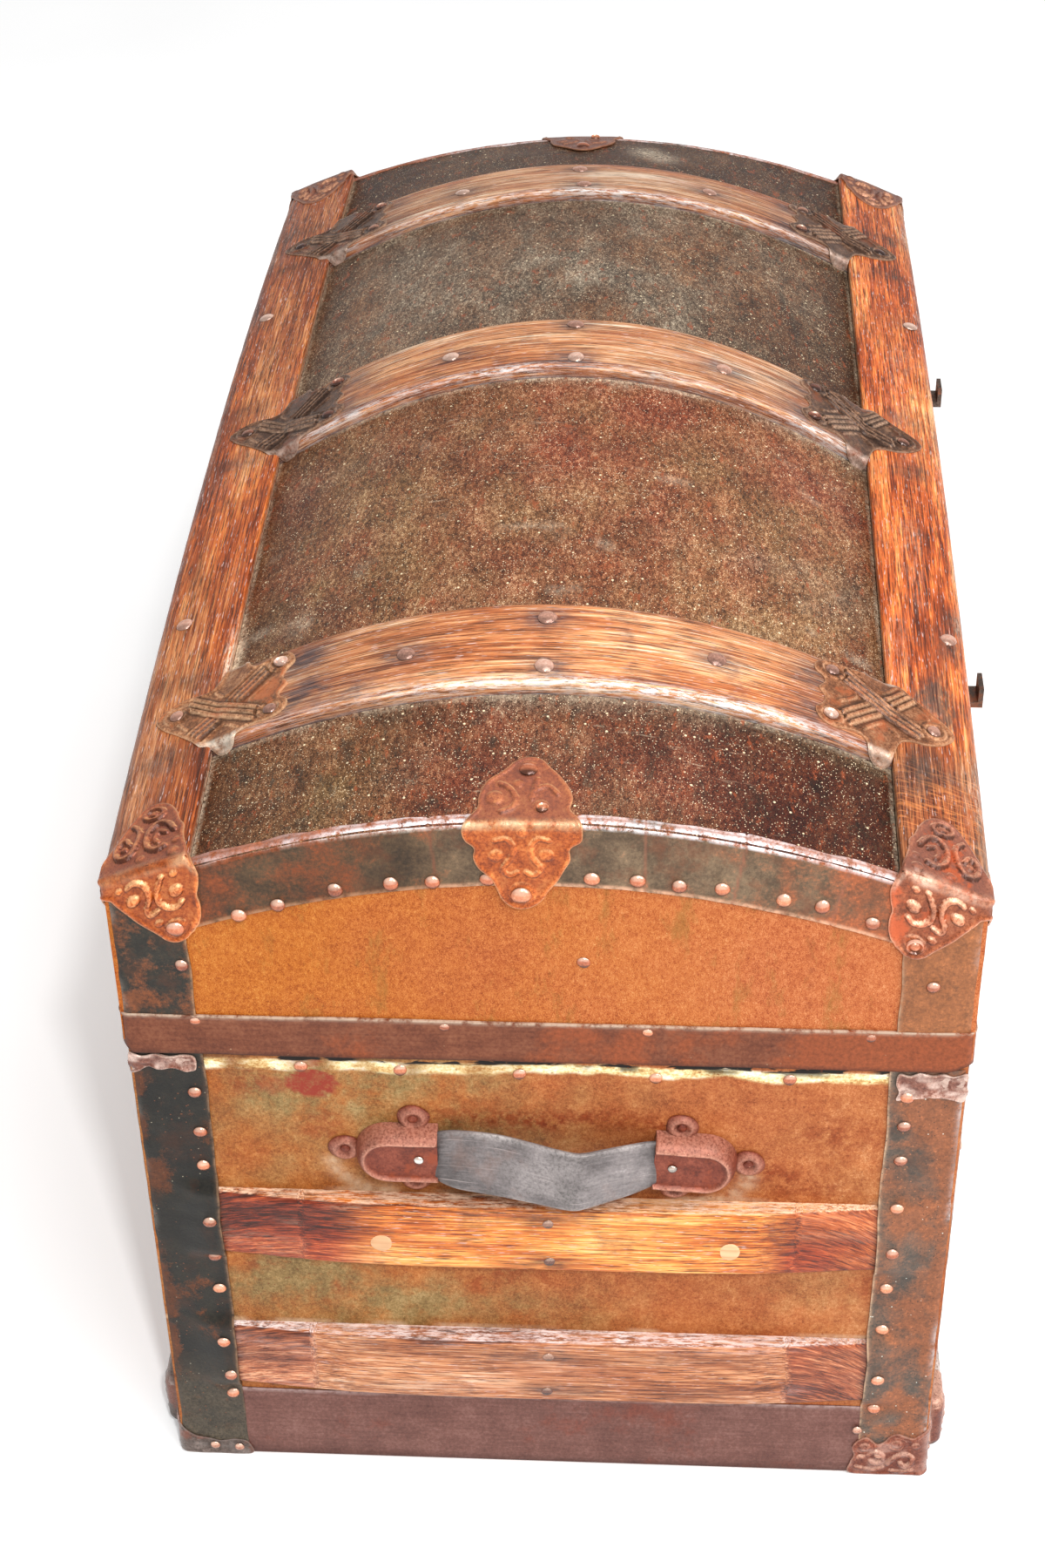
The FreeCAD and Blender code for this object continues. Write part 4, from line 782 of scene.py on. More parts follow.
def nail_mat(name, base, dark, bright, seed=0.0, metal=0.35, shade=0.85, glint=0.5):
    m = Mat(name)
    fine = m.noise(700.0, 4.0, 0.7, seed=seed)
    v = m.rng(m.add(m.mul(fine, 0.6), m.mul(m.attr("rnd"), 0.4)), 0.25, 0.75)
    col = m.ramp(v, [(0.0, dark), (0.5, base), (1.0, bright)])
    # Painted light: lit brightens the lit side of the head towards a glint and darkens the other side to a shaded
    # crescent; hgt darkens the foot of the head to a painted shadow ring.
    lit = m.attr("lit")
    col = m.mix(m.rng(lit, 0.35, 0.85, 0.0, glint), col, (255, 222, 198))
    col = m.mix(m.rng(lit, -0.05, -0.6, 0.0, shade), col, tuple(c * 0.36 for c in dark))
    col = m.mix(m.rng(m.attr("hgt"), 0.0, 0.30, 0.9, 0.0), col, (46, 30, 24))
    return m.done(col, m.rng(fine, 0.3, 0.7, 0.14, 0.30), m.bump(fine, 0.15, 0.0005), metal=metal, spec=0.7)


def iron_mat(name, c0, c1, c2, tip, seed, metal=0.2, rough=0.4, rust=(150, 84, 56), amount=0.0, gain=(1, 1, 1)):
    m = Mat(name, gain)
    mid = m.noise(90.0, 5.0, 0.7, seed=seed)
    fine = m.noise(620.0, 4.0, 0.75, seed=seed + 1)
    v = m.rng(m.add(m.mul(mid, 0.5), m.mul(fine, 0.5)), 0.34, 0.66)
    col = m.ramp(v, [(0.0, c0), (0.5, c1), (1.0, c2)])
    col = m.mix(m.rng(m.noise(40.0, 5.0, 0.7, seed=seed + 2), 0.56 - amount, 0.64 - amount, 0.0, 0.8), col, rust)
    # rim: the edges of the handle cups and lugs painted pale, painted highlights.
    edge = m.clamp(m.mul(m.attr("rim"), m.rng(fine, 0.3, 0.55, 0.2, 1.0)))
    col = m.mix(m.mul(edge, 0.7), col, tip)
    wear = m.clamp(m.mul(m.attr("wear"), m.rng(fine, 0.34, 0.56, 0.1, 1.2)))
    col = m.mix(wear, col, tip)
    col = m.mix(m.mul(specks(m, 400.0, 0.2, 0.12, seed), 0.7), col, (216, 196, 180))
    h = m.add(m.mul(fine, 0.7), m.mul(mid, 0.4))
    return m.done(col, m.rng(fine, 0.3, 0.7, rough - 0.06, rough + 0.1), m.bump(h, 0.35, 0.0007), metal=metal, spec=0.25)


def leather_mat():
    m = Mat("strap_leather", (0.57, 0.57, 0.58))
    g = m.attr("grain", True)
    cloud = m.noise(34.0, 5.0, 0.7, g, seed=1.0)
    fine = m.noise(520.0, 4.0, 0.72, g, seed=2.0)
    hair = m.noise(1.0, 5.0, 0.7, m.scale(g, (60, 700, 700)), seed=3.0)
    peb = m.cells(900.0, g)
    v = m.rng(m.add(m.mul(cloud, 0.5), m.mul(fine, 0.25), m.mul(hair, 0.25)), 0.33, 0.67)
    col = m.ramp(v, [(0.0, (84, 78, 76)), (0.35, (116, 108, 106)), (0.6, (144, 135, 133)), (0.85, (172, 162, 159)), (1.0, (208, 198, 194))])
    scr = m.rng(m.noise(1.0, 2.0, 0.5, m.scale(g, (24, 900, 260)), seed=9.0), 0.66, 0.72, 0.0, 0.6)
    col = m.mix(scr, col, (222, 206, 200))
    col = m.mix(m.rng(m.noise(22.0, 4.0, 0.7, g, seed=6.0), 0.58, 0.7, 0.0, 0.4), col, (168, 132, 118))
    # wear: worn leather, and painted highlights along the edges of the strap.
    wear = m.clamp(m.mul(m.attr("wear"), m.rng(fine, 0.34, 0.56, 0.15, 1.1)))
    col = m.mix(m.mul(wear, 0.75), col, (232, 222, 216))
    dk = m.clamp(m.attr("dark"))
    col = m.mix(m.mul(dk, 0.8), col, (50, 40, 38))
    h = m.add(m.mul(peb, 0.5), m.mul(hair, 0.5), m.mul(fine, 0.3))
    return m.done(col, m.rng(cloud, 0.3, 0.7, 0.38, 0.52), m.bump(h, 0.35, 0.0006), spec=0.3)


def pine_mat(name, a, b, c, seed=0.0, axis=0):
    """Plain softwood boards, with the grain along X, Y or Z."""
    m = Mat(name)
    k = [240.0, 240.0, 240.0]
    k[axis] = 7.0
    k2 = [34.0, 34.0, 34.0]
    k2[axis] = 1.6
    fine = m.noise(1.0, 4.0, 0.6, m.scale(m.c, tuple(k)), seed=seed)
    wide = m.noise(1.0, 3.0, 0.55, m.scale(m.c, tuple(k2)), dist=0.6, seed=seed + 1)
    v = m.rng(m.add(m.mul(fine, 0.5), m.mul(wide, 0.5)), 0.34, 0.66)
    col = m.ramp(v, [(0.0, a), (0.5, b), (1.0, c)])
    col = m.mix(m.rng(m.noise(9.0, 4.0, 0.6, seed=seed + 2), 0.5, 0.7, 0.0, 0.45), col, tuple(x * 0.66 for x in a))
    return m.done(col, 0.62, m.bump(fine, 0.3, 0.0007), spec=0.3)


def paper_mat():
    """Old lining paper with a small printed sprig in rows, foxed and faded."""
    m = Mat("lining_paper")
    p = m.attr("grain", True)
    fine = m.noise(500.0, 3.0, 0.6)
    fox = m.noise(12.0, 6.0, 0.72, seed=3.0)
    col = m.ramp(m.rng(m.add(m.mul(fox, 0.6), m.mul(fine, 0.4)), 0.35, 0.65), [(0.0, (176, 146, 104)), (0.5, (206, 182, 140)), (1.0, (226, 208, 172))])
    d = m.cells(46.0, p, rand=0.0)
    dot = m.rng(d, 0.16, 0.20, 1.0, 0.0)
    ringd = m.mul(m.rng(d, 0.25, 0.28), m.rng(d, 0.33, 0.36, 1.0, 0.0))
    pr = m.clamp(m.add(dot, m.mul(ringd, 0.8)))
    col = m.mix(m.mul(pr, m.rng(fine, 0.3, 0.6, 0.35, 0.9)), col, (122, 84, 74))
    col = m.mix(m.rng(m.noise(30.0, 5.0, 0.7, seed=6.0), 0.60, 0.72, 0.0, 0.5), col, (150, 110, 66))
    return m.done(col, 0.75, m.bump(fine, 0.2, 0.0005), spec=0.2)


OAK = wood("oak_slats", 0.0, ((110, 52, 28), (172, 86, 44), (214, 126, 72), (242, 168, 112), (255, 222, 184)), (1.03, 1.28, 1.52), (74, 38, 20))
OAK2 = wood("oak_back_rail", 2.3, ((76, 34, 18), (136, 64, 30), (188, 98, 48), (218, 138, 78), (236, 178, 124)), (1.02, 0.88, 0.70), (56, 28, 16))
OAK2R = wood("oak_front_rail", 4.6, ((80, 32, 18), (150, 64, 28), (208, 104, 50), (234, 146, 86), (250, 196, 146)), (1.16, 1.12, 0.92), (56, 26, 14))
OAK3 = wood("oak_end_slats", 5.1, ((108, 56, 28), (186, 100, 44), (238, 154, 78), (254, 200, 124), (255, 232, 190)), (1.0, 0.81, 0.60), (66, 30, 14), deep=(0.98, 0.86, 0.84))
OAK4 = wood("oak_end_slats_low", 7.7, ((94, 48, 28), (162, 90, 50), (210, 136, 84), (238, 182, 132), (255, 226, 196)), (0.99, 0.98, 1.0), (62, 32, 22))
DOME = dome_mat()
LIDEND = lid_end_mat()
BODY = body_mat()
BIND = binding_mat("binding_black", (26, 25, 25), (46, 44, 42), (70, 65, 58), (146, 86, 58), 0.3, 0.58, 0.68, gain=(0.40, 0.39, 0.33))
BINDU = binding_mat("binding_black_lid", (28, 26, 25), (50, 47, 44), (76, 70, 62), (150, 88, 58), 1.3, 0.54, 0.66, gain=(0.66, 0.64, 0.54))
BINDF = binding_mat("binding_worn", (44, 38, 36), (80, 64, 55), (112, 88, 75), (150, 84, 54), 2.4, 0.50, 0.70, gain=(0.96, 1.12, 1.14))
BINDL = binding_mat("binding_worn_lid", (66, 42, 30), (122, 78, 54), (160, 110, 80), (186, 110, 68), 6.1, 0.44, 0.66, gain=(0.68, 0.76, 0.76))
ARCHM = binding_mat("binding_arch", (44, 34, 24), (88, 68, 50), (124, 100, 76), (158, 84, 50), 4.9, 0.50, 0.64, gain=(1.06, 1.12, 1.14), edge=(214, 160, 128))
BAND = band_mat("lid_band_paint", (112, 62, 46), (156, 98, 76), (192, 136, 112), (196, 112, 72), 0.6, gain=(0.46, 0.36, 0.27))
BASE = band_mat("base_band_paint", (104, 68, 60), (140, 102, 92), (176, 140, 130), (150, 88, 70), 3.6, share=-0.04, gain=(0.57, 0.46, 0.44))
COPPER = pressed_mat("cap_copper", (112, 50, 26), (200, 110, 60), (236, 156, 104), (255, 214, 190), 0.9, gain=(0.88, 0.72, 0.44))
COPPER2 = pressed_mat("cap_brown", (92, 50, 34), (164, 100, 70), (206, 146, 114), (250, 214, 196), 3.9, rust=(186, 96, 58), amount=-0.01, gain=(1.06, 0.82, 0.64))
PEWTER = pressed_mat("cap_grey", (84, 64, 56), (140, 118, 110), (186, 160, 152), (232, 206, 200), 6.2, rust=(176, 100, 76), amount=0.0, gain=(0.40, 0.40, 0.38))
CLASP = pressed_mat("clasp_iron", (78, 46, 30), (162, 108, 78), (200, 150, 118), (228, 182, 150), 1.9, metal=0.2, rust=(168, 94, 60), amount=-0.02, gain=(0.98, 0.92, 0.80))
NAIL = nail_mat("nail_copper", (182, 100, 64), (112, 56, 36), (220, 146, 106))
NAILD = nail_mat("nail_dark", (140, 82, 62), (84, 54, 46), (198, 146, 120), 1.5)
NAILE = nail_mat("nail_end_slat", (108, 68, 54), (62, 42, 36), (158, 118, 98), 2.5, glint=0.25)
NAILW = nail_mat("nail_slat", (206, 152, 130), (136, 96, 82), (240, 204, 184), 3.5, shade=0.5)
NAILS = nail_mat("nail_silver", (170, 164, 156), (110, 100, 92), (226, 222, 216), 2.5, metal=0.7)
PLUG = pine_mat("plug_end", (170, 116, 78), (210, 160, 116), (238, 198, 156), 4.0, 1)
IRON = iron_mat("handle_iron_paint", (78, 40, 32), (126, 74, 60), (162, 108, 92), (226, 200, 190), 0.4, gain=(0.84, 0.54, 0.42))
DARK = iron_mat("hardware_iron", (44, 37, 33), (78, 67, 60), (122, 105, 94), (190, 172, 156), 2.6, metal=0.5, rust=(134, 80, 54))
LEATHER = leather_mat()
PINE = pine_mat("carcass_pine", (138, 98, 62), (184, 140, 94), (214, 176, 130), 1.0, 0)
PINEY = pine_mat("carcass_pine_y", (138, 98, 62), (184, 140, 94), (214, 176, 130), 2.0, 1)
PAPER = paper_mat()
FOOT = pressed_mat("foot_cap_copper", (92, 44, 34), (158, 96, 72), (204, 144, 120), (255, 232, 218), 7.7, gain=(0.60, 0.42, 0.35))
TORN = pressed_mat("torn_sheet", (92, 52, 44), (158, 112, 98), (214, 186, 178), (255, 246, 240), 8.8, metal=0.2, gain=(0.80, 0.68, 0.60))
CLASPL = pressed_mat("clasp_iron_pale", (78, 46, 30), (162, 108, 78), (200, 150, 118), (228, 182, 150), 6.1, metal=0.2, rust=(168, 94, 60), amount=-0.02, gain=(1.18, 1.20, 1.06))
CLASPD = pressed_mat("clasp_iron_dark", (60, 40, 30), (124, 92, 74), (178, 140, 114), (232, 200, 178), 4.4, metal=0.2, rust=(140, 84, 58), amount=-0.03, gain=(0.74, 0.66, 0.58))
COPPERF = pressed_mat("cap_copper_dull", (84, 44, 28), (158, 92, 58), (204, 136, 96), (244, 200, 176), 5.9, gain=(0.66, 0.52, 0.40))
HARDP = pressed_mat("hardware_pressed", (40, 33, 29), (78, 66, 58), (126, 108, 96), (196, 176, 160), 9.3, metal=0.4, rust=(128, 78, 54), amount=0.0)


# ------------------------------------------------------------ wood pieces
def sect(w, top, r1, r2, base=0.0, n=5, crown=0.4, step=3.2, count=None):
    """Bar section: up the near side, over the top, down the far side, back underneath."""
    P = [(-w, base), (-w, base + (top - r1 - base) * 0.5)]
    for k in range(n + 1):
        t = math.pi - k / n * math.pi / 2
        P.append((-w + r1 + r1 * math.cos(t), top - r1 + r1 * math.sin(t)))
    a0, a1 = -w + r1, w - r2
    m = count or max(2, int((a1 - a0) / step))
    for k in range(1, m):
        a = a0 + (a1 - a0) * k / m
        P.append((a, top + crown * (1 - (2 * (a - a0) / (a1 - a0) - 1) ** 2)))
    for k in range(n + 1):
        t = math.pi / 2 - k / n * math.pi / 2
        P.append((w - r2 + r2 * math.cos(t), top - r2 + r2 * math.sin(t)))
    P += [(w, base + (top - r2 - base) * 0.5), (w, base), (w * 0.4, base), (-w * 0.4, base)]
    return np.array(P)


def spots(P, pts, size, power=1.0):
    """Sum of soft round marks at pts = [(x, y, z, strength)], each about size mm across."""
    out = np.zeros(len(P))
    s = np.broadcast_to(np.asarray(size, float), (3,))
    for p in pts:
        d2 = (((P - np.asarray(p[:3])) / s) ** 2).sum(1)
        out = np.maximum(out, p[3] * np.exp(-d2 ** power))
    return out


def slat_mesh(k, x0, seed):
    w, n = 33.8, 150
    ys = np.linspace(-193.7, 193.7, n)
    S0 = sect(w, 9.0, 3.6, 6.0, -0.3)
    m = len(S0)
    Y = np.repeat(ys[:, None], m, 1)
    A = np.repeat(S0[None, :, 0], n, 0)
    H = np.repeat(S0[None, :, 1], n, 0)
    X = x0 + A
    P0 = np.stack([X, Y, H], -1)
    dent = np.where(H > 4, 0.22 * noise(P0, (9, 60, 30), seed) + 0.18 * noise(P0, (4, 120, 30), seed + 1), 0)
    edge = np.where((H > 3) & (A < -w + 5), 0.5 * noise(P0, (30, 14, 30), seed + 2), 0)
    P = np.stack([X, Y, dome(X, Y, 0.0) + H + dent + edge], -1)
    V, F = loft(P)
    y, a, h = Y.ravel(), A.ravel(), H.ravel()
    grain = np.stack([(y + 997 * seed) / 1000, (a + 41 * seed) / 1000, (h + 20) / 1000], 1)
    G = np.stack([a, y, h], 1)
    end = sstep(140, 193, np.abs(y))
    tint = 0.02 + 0.45 * end + 0.20 * noise(G, (60, 90, 60), seed + 5) + 0.30 * sstep(30, -30, a) * sstep(0, 1, noise(G, (40, 50, 40), seed + 9))
    nails = [(dx, yy, 9, 0.95) for dx, yy in SLAT_NAILS[k]]
    halo_and_shade = spots(G, nails, (9.0, 15, 20)) + (0.7 * spots(G, [(-12, 135, 9, 1.0), (18, 139, 9, 0.8), (-22, 114, 9, 0.7)], (11, 13, 30)) if k == 0 else 0) + 0.75 * spots(G, [(s2 * 16 - 4, s * 149, 9, 1.0) for s in (-1, 1) for s2 in (-1, 1)], (14, 15, 30))
    halo_and_shade += 0.45 * end * sstep(0.0, 0.8, noise(G, (22, 22, 30), seed + 3))
    halo_and_shade += 0.42 * sstep(0.2, 0.9, noise(G, (14, 60, 30), seed + 6)) * sstep(0.1, 0.7, noise(G, (60, 60, 30), seed + 7))
    # The near upper rounded edge (lip) is painted pale: a painted highlight along the edge, with some wear; on slat 1
    # it fades towards +Y.
    near = a < -w + 6
    lip = np.exp(-((h - 7.4) / 1.9) ** 2) * near
    side = (h < 5.5) & near
    along = (0.55 + 0.55 * noise(G, (60, 40, 60), seed + 4)) * np.where(k == 0, 1 - 0.75 * sstep(30, 110, y), 1.0)
    wear = 0.85 * lip * along * (1 - 0.5 * end) + 0.16 * side * along + 0.10 * sstep(10, 3, a + w) * along
    wear += 0.14 * sstep(5, 0, w - a) * sstep(-0.1, 0.8, noise(G, (60, 30, 60), seed + 8))
    wear += 0.05 * sstep(0.0, 0.8, noise(G, (24, 50, 60), seed + 12)) * sstep(w, -w, a)
    tint = tint + (0.04, 0.36, 0.38)[k] + (0.20 * sstep(10, 110, y) + 0.16 * sstep(-8, 26, a) if k == 0 else 0)
    wear *= (1.0, 0.75, 0.65)[k]
    tint = np.where(side, tint + 0.18, tint)
    # Painted shade: both sides of the slat darkened at its foot, in the crease against the skin.
    halo_and_shade = np.where(np.abs(a) > w - 0.6, np.maximum(halo_and_shade, 1.1 * sstep(1.9, 0.6, h)), halo_and_shade)
    dust_and_sheen = np.where(a > w - 0.5, 0.5 * sstep(3.5, 0.0, h), 0)
    return V, F, {"grain": grain, "tint": tint, "halo_and_shade": np.clip(halo_and_shade, 0, 1.1), "wear": wear, "dust_and_sheen": dust_and_sheen}


def rail_mesh(sy, seed):
    """Long rail; sy is the side it is on. Section from its inner edge out."""
    n = 300
    xs = np.linspace(-442.8, 442.8, n)
    S0 = sect(25.5, 0.0, 3.0, 5.5, -12.0, crown=0.5)
    m = len(S0)
    X = np.repeat(xs[:, None], m, 1)
    A = np.repeat(S0[None, :, 0], n, 0)
    H = np.repeat(S0[None, :, 1], n, 0)
    Y = 219.6 + A
    P0 = np.stack([X, Y, H], -1)
    dent = np.where(H > -4, 0.25 * noise(P0, (60, 9, 30), seed) + 0.2 * noise(P0, (120, 4, 30), seed + 1), 0)
    edge = np.where((H > -5) & (A > 20), 0.6 * noise(P0, (16, 30, 30), seed + 2), 0)
    P = np.stack([X, Y * sy, rail(X, Y, 0.0) + H + dent - np.abs(edge)], -1)
    V, F = loft(P)
    x, a, h = X.ravel(), A.ravel(), H.ravel()
    grain = np.stack([(x + 773 * seed) / 1000, (a + 53 * seed) / 1000, (h + 20) / 1000], 1)
    G = np.stack([x, a, h], 1)
    light = (0.02 + 0.50 * sstep(-300, -340, x) - 0.12 * sstep(-290, -220, x)) if sy < 0 else 0.18
    end = np.maximum(sstep(-300, -430, x), 0.6 * sstep(330, 430, x))
    tint = light + (0.30 if sy < 0 else 0.36) * sstep(-230, -350, x) - 0.06 + 0.32 * sstep(-60, 260, x) + 0.16 * end + 0.20 * noise(G, (120, 40, 40), seed + 5) + 0.16 * noise(G, (50, 20, 40), seed + 6) + 0.3 * sstep(14, 25, a)
    halo_and_shade = 0.62 * spots(G, [(cx + dx, q, 0, 1.0) for cx in SLAT_X for dx, q in ((-37, -4), (-36, 6), (33, -2), (34, 8))], (12, 13, 40))
    halo_and_shade = np.maximum(halo_and_shade, 0.6 * spots(G, [(-219.5, 12, 0, 1.0), (181, 12, 0, 1.0)], (13, 8, 40)))
    if sy < 0:
        halo_and_shade = np.maximum(halo_and_shade, 1.3 * spots(G, [(-281, 3, 0, 1.0), (-292, 9, 0, 0.9), (-226, 16, 0, 0.8), (-200, 20, 0, 0.7)], (15, 7, 40)))
    halo_and_shade += 0.5 * sstep(0.2, 0.8, noise(G, (60, 10, 30), seed + 3)) * sstep(0.0, 0.6, noise(G, (140, 40, 30), seed + 7))
    halo_and_shade += 0.35 * sstep(18, 25, a) * sstep(-0.3, 0.6, noise(G, (24, 30, 30), seed + 13))
    wear = (0.30 if sy < 0 else 0.20) * np.exp(-((25.5 - a - 3.0) / 2.4) ** 2) * sstep(-0.1, 0.9, noise(G, (50, 60, 60), seed + 4))
    wear += (0.14 if sy < 0 else 0.16) * sstep(4, 0, a + 25.5) * sstep(0.0, 0.9, noise(G, (60, 60, 60), seed + 8))
    wear += 0.07 * sstep(0.2, 0.8, noise(G, (60, 16, 60), seed + 12))
    if sy > 0:
        wear += 0.8 * np.exp(-((x + 262) / 26.0) ** 2) * sstep(4.5, 1, a + 25.5)
    dust_and_sheen = np.where(a < -24.8, 0.7 * sstep(-2, -9, h), 0)
    ripple = 0.9 * sstep(-336, -356, x) * sstep(-418, -396, x) * (sy < 0) + 0.35 * sstep(0.2, 0.7, noise(G, (60, 20, 30), seed + 15)) * (sy < 0)
    return V, F, {"grain": grain, "tint": tint, "halo_and_shade": np.clip(halo_and_shade, 0, 1.1), "wear": wear, "dust_and_sheen": dust_and_sheen, "ripple": ripple}


SLAT_Y, SLAT_T = (0.0, 80.0, 125.0, 165.0, 198.4), (13.0, 13.0, 11.8, 8.5, 4.5)


def end_slat(z0, seed, upper):
    """Slat across an end, thinner towards its ends. Built for the end at -X."""
    z1 = z0 + (52.0 if upper else 53.0)
    w = (z1 - z0) / 2
    n = 150
    ys = np.linspace(-198.4, 198.4, n)
    T = np.interp(np.abs(ys), SLAT_Y, SLAT_T)
    rows = []
    for yy, t in zip(ys, T):
        rows.append(sect(w, t, min(3.2, t * 0.45), min(3.2, t * 0.45), -0.1, crown=0.3, count=16))
    S = np.array(rows)
    m = S.shape[1]
    Y = np.repeat(ys[:, None], m, 1)
    A, H = S[..., 0], S[..., 1]
    P0 = np.stack([A, Y, H], -1)
    dent = np.where(H > 2, 0.2 * noise(P0, (9, 60, 30), seed) + 0.15 * noise(P0, (4, 120, 30), seed + 1), 0)
    edge = np.where((H > 2) & (A > w - 4), 0.35 * noise(P0, (30, 12, 30), seed + 2), 0)
    # A runs down from the top edge, so +w is the upper side
    P = np.stack([-(441.7 + H + dent + edge), Y, (z0 + z1) / 2 + A], -1)
    V, F = loft(P)
    y, a, h = Y.ravel(), A.ravel(), H.ravel()
    G = np.stack([a, y, h], 1)
    ay = np.abs(y)
    pared = sstep(146, 152, ay + 3 * noise(G, (20, 20, 20), seed + 20))
    curl = pared * np.where(y > 0, 0.003, 0.007) * (ay - 140) ** 2
    grain = np.stack([(y * (1 - 0.5 * pared) + 661 * seed) / 1000, (a + curl + 37 * seed) / 1000, (h + 20) / 1000], 1)
    top = (a > w - 0.4) & (h < np.repeat(T, m) - 0.5)
    if upper:
        tint = 0.0 + 0.14 * noise(G, (30, 90, 60), seed + 5) + 0.30 * sstep(14, 25, a) * sstep(90, 170, ay)
        maroon = 1.0 * sstep(84, 136, y) + 0.85 * sstep(-120, -152, y) + 0.25 * sstep(0.0, 0.7, noise(G, (14, 70, 60), seed + 21))
        halo_and_shade = 0.22 * pared * sstep(-0.4, 0.5, noise(G, (9, 60, 60), seed + 4)) + 0.3 * sstep(90, 150, y) * sstep(-0.1, 0.6, noise(G, (16, 60, 60), seed + 6))
        halo_and_shade += spots(G, [(20, 1, 13, 0.85), (21, -16, 13, 0.5), (-18, -2, 13, 0.8), (-20, 14, 13, 0.5)], (5, 17, 40))
    else:
        tint = 0.10 + 0.24 * noise(G, (30, 90, 60), seed + 5)
        maroon = 0.25 + 0.55 * pared + 0.2 * sstep(0.0, 0.7, noise(G, (14, 70, 60), seed + 21))
        halo_and_shade = 0.24 * sstep(0.1, 0.8, noise(G, (16, 90, 60), seed + 6)) + 0.25 * pared * sstep(-0.3, 0.5, noise(G, (9, 60, 60), seed + 4))
        halo_and_shade += spots(G, [(15, -1, 13, 0.8), (16, 16, 13, 0.5), (-15, -1, 13, 0.8), (-17, -18, 13, 0.55)], (5, 20, 40))
    halo_and_shade += 0.6 * sstep(194, 198, ay)
    # The top face and the rounded top edge are painted pale: a painted highlight on the upward faces, with some wear.
    wear = 0.75 * top * (0.85 + 0.5 * noise(G, (60, 22, 60), seed + 9)) + 0.22 * np.exp(-((a - w + 2.6) / 2.0) ** 2) * (~top) * sstep(-0.2, 0.8, noise(G, (60, 30, 60), seed + 10))
    wear += 0.10 * sstep(0.2, 0.8, noise(G, (7, 70, 60), seed + 11)) * pared + 0.12 * np.exp(-((ay - 148) / 1.3) ** 2) * sstep(0, 0.7, noise(G, (14, 60, 60), seed + 14))
    halo_and_shade = np.where(top, 0.5 * sstep(0.0, 0.7, noise(G, (60, 16, 5), seed + 16)), halo_and_shade)
    # Painted shade: the underside of the slat next to the wall is darkened.
    halo_and_shade = np.where((a < -w + 0.4) & (h < 4), 0.9, halo_and_shade)
    dust_and_sheen = np.where(top, 0.35 * sstep(6, 0, h), 0)
    return V, F, {"grain": grain, "tint": tint, "halo_and_shade": np.clip(halo_and_shade, 0, 1.1), "wear": wear, "dust_and_sheen": dust_and_sheen, "maroon": np.where(top, 0.3, maroon)}


def flip_x(part):
    return mirror(part, 0)


for i, x0 in enumerate(SLAT_X):
    V, F, at = slat_mesh(i, x0, 10 * i + 3)
    make("dome_slat_%d" % (i + 1), V, F, OAK, "lid", at, ("cross_slats",))
V, F, at = rail_mesh(-1, 51)
make("front_long_rail", V, F, OAK2R, "lid", at, ("front_rail",))
V, F, at = rail_mesh(1, 77)
make("back_long_rail", V, F, OAK2, "lid", at, ("back_rail",))
for nm, z0, up, sd in (("upper", 194.0, True, 91), ("lower", 75.0, False, 117)):
    part = end_slat(z0, sd, up)
    make("left_end_slat_" + nm, part[0], part[1], OAK3 if up else OAK4, "root", part[2], ("left_end_slats",))
    part = flip_x(end_slat(z0, sd + 5, up))
    make("right_end_slat_" + nm, part[0], part[1], OAK3 if up else OAK4, "root", part[2], ("right_end_slats",))


def side_slat(z0, z1, xh, y0, thick, seed, sy):
    """Slat along a long side."""
    w = (z1 - z0) / 2
    n = 200
    xs = np.linspace(-xh, xh, n)
    S0 = sect(w, thick, 3.0, 3.0, -0.1, crown=0.3)
    m = len(S0)
    X = np.repeat(xs[:, None], m, 1)
    A = np.repeat(S0[None, :, 0], n, 0)
    H = np.repeat(S0[None, :, 1], n, 0)
    P0 = np.stack([X, A, H], -1)
    dent = np.where(H > 2, 0.2 * noise(P0, (60, 9, 30), seed) + 0.15 * noise(P0, (120, 4, 30), seed + 1), 0)
    V, F = loft(np.stack([X, sy * (y0 + H + dent), (z0 + z1) / 2 + A], -1))
    x, a, h = X.ravel(), A.ravel(), H.ravel()
    G = np.stack([x, a, h], 1)
    grain = np.stack([(x + 551 * seed) / 1000, (a + 37 * seed) / 1000, (h + 20) / 1000], 1)
    tint = 0.28 + 0.25 * noise(G, (120, 30, 60), seed + 5)
    halo_and_shade = spots(G, [(px, 0, 9, 0.7) for px in (-300, -180, -60, 60, 180, 300)], (16, 9, 40)) + 0.5 * sstep(0.1, 0.8, noise(G, (90, 16, 60), seed + 6)) + 0.6 * sstep(xh - 40, xh - 5, np.abs(x))
    wear = 0.6 * sstep(w - 6, w, a) * sstep(-0.2, 0.8, noise(G, (40, 60, 60), seed + 9)) + 0.25 * sstep(0.3, 0.8, noise(G, (90, 12, 60), seed + 11))
    return V, F, {"grain": grain, "tint": tint, "halo_and_shade": np.clip(halo_and_shade, 0, 1.2), "wear": wear, "dust_and_sheen": np.where(a > w - 1.5, 0.6, 0)}


for nm, sy in (("front", -1), ("back", 1)):
    for lab, z0, z1, xh, y0, sd in (("low", 8.0, 50.0, 404.0, 242.5, 131), ("high", 194.0, 246.0, 366.0, 241.7, 151)):
        part = side_slat(z0, z1, xh, y0, 10.0, sd + (7 if sy > 0 else 0), sy)
        make("%s_slat_%s" % (nm, lab), part[0], part[1], OAK4, "root", part[2], ("%s_slats" % nm,))

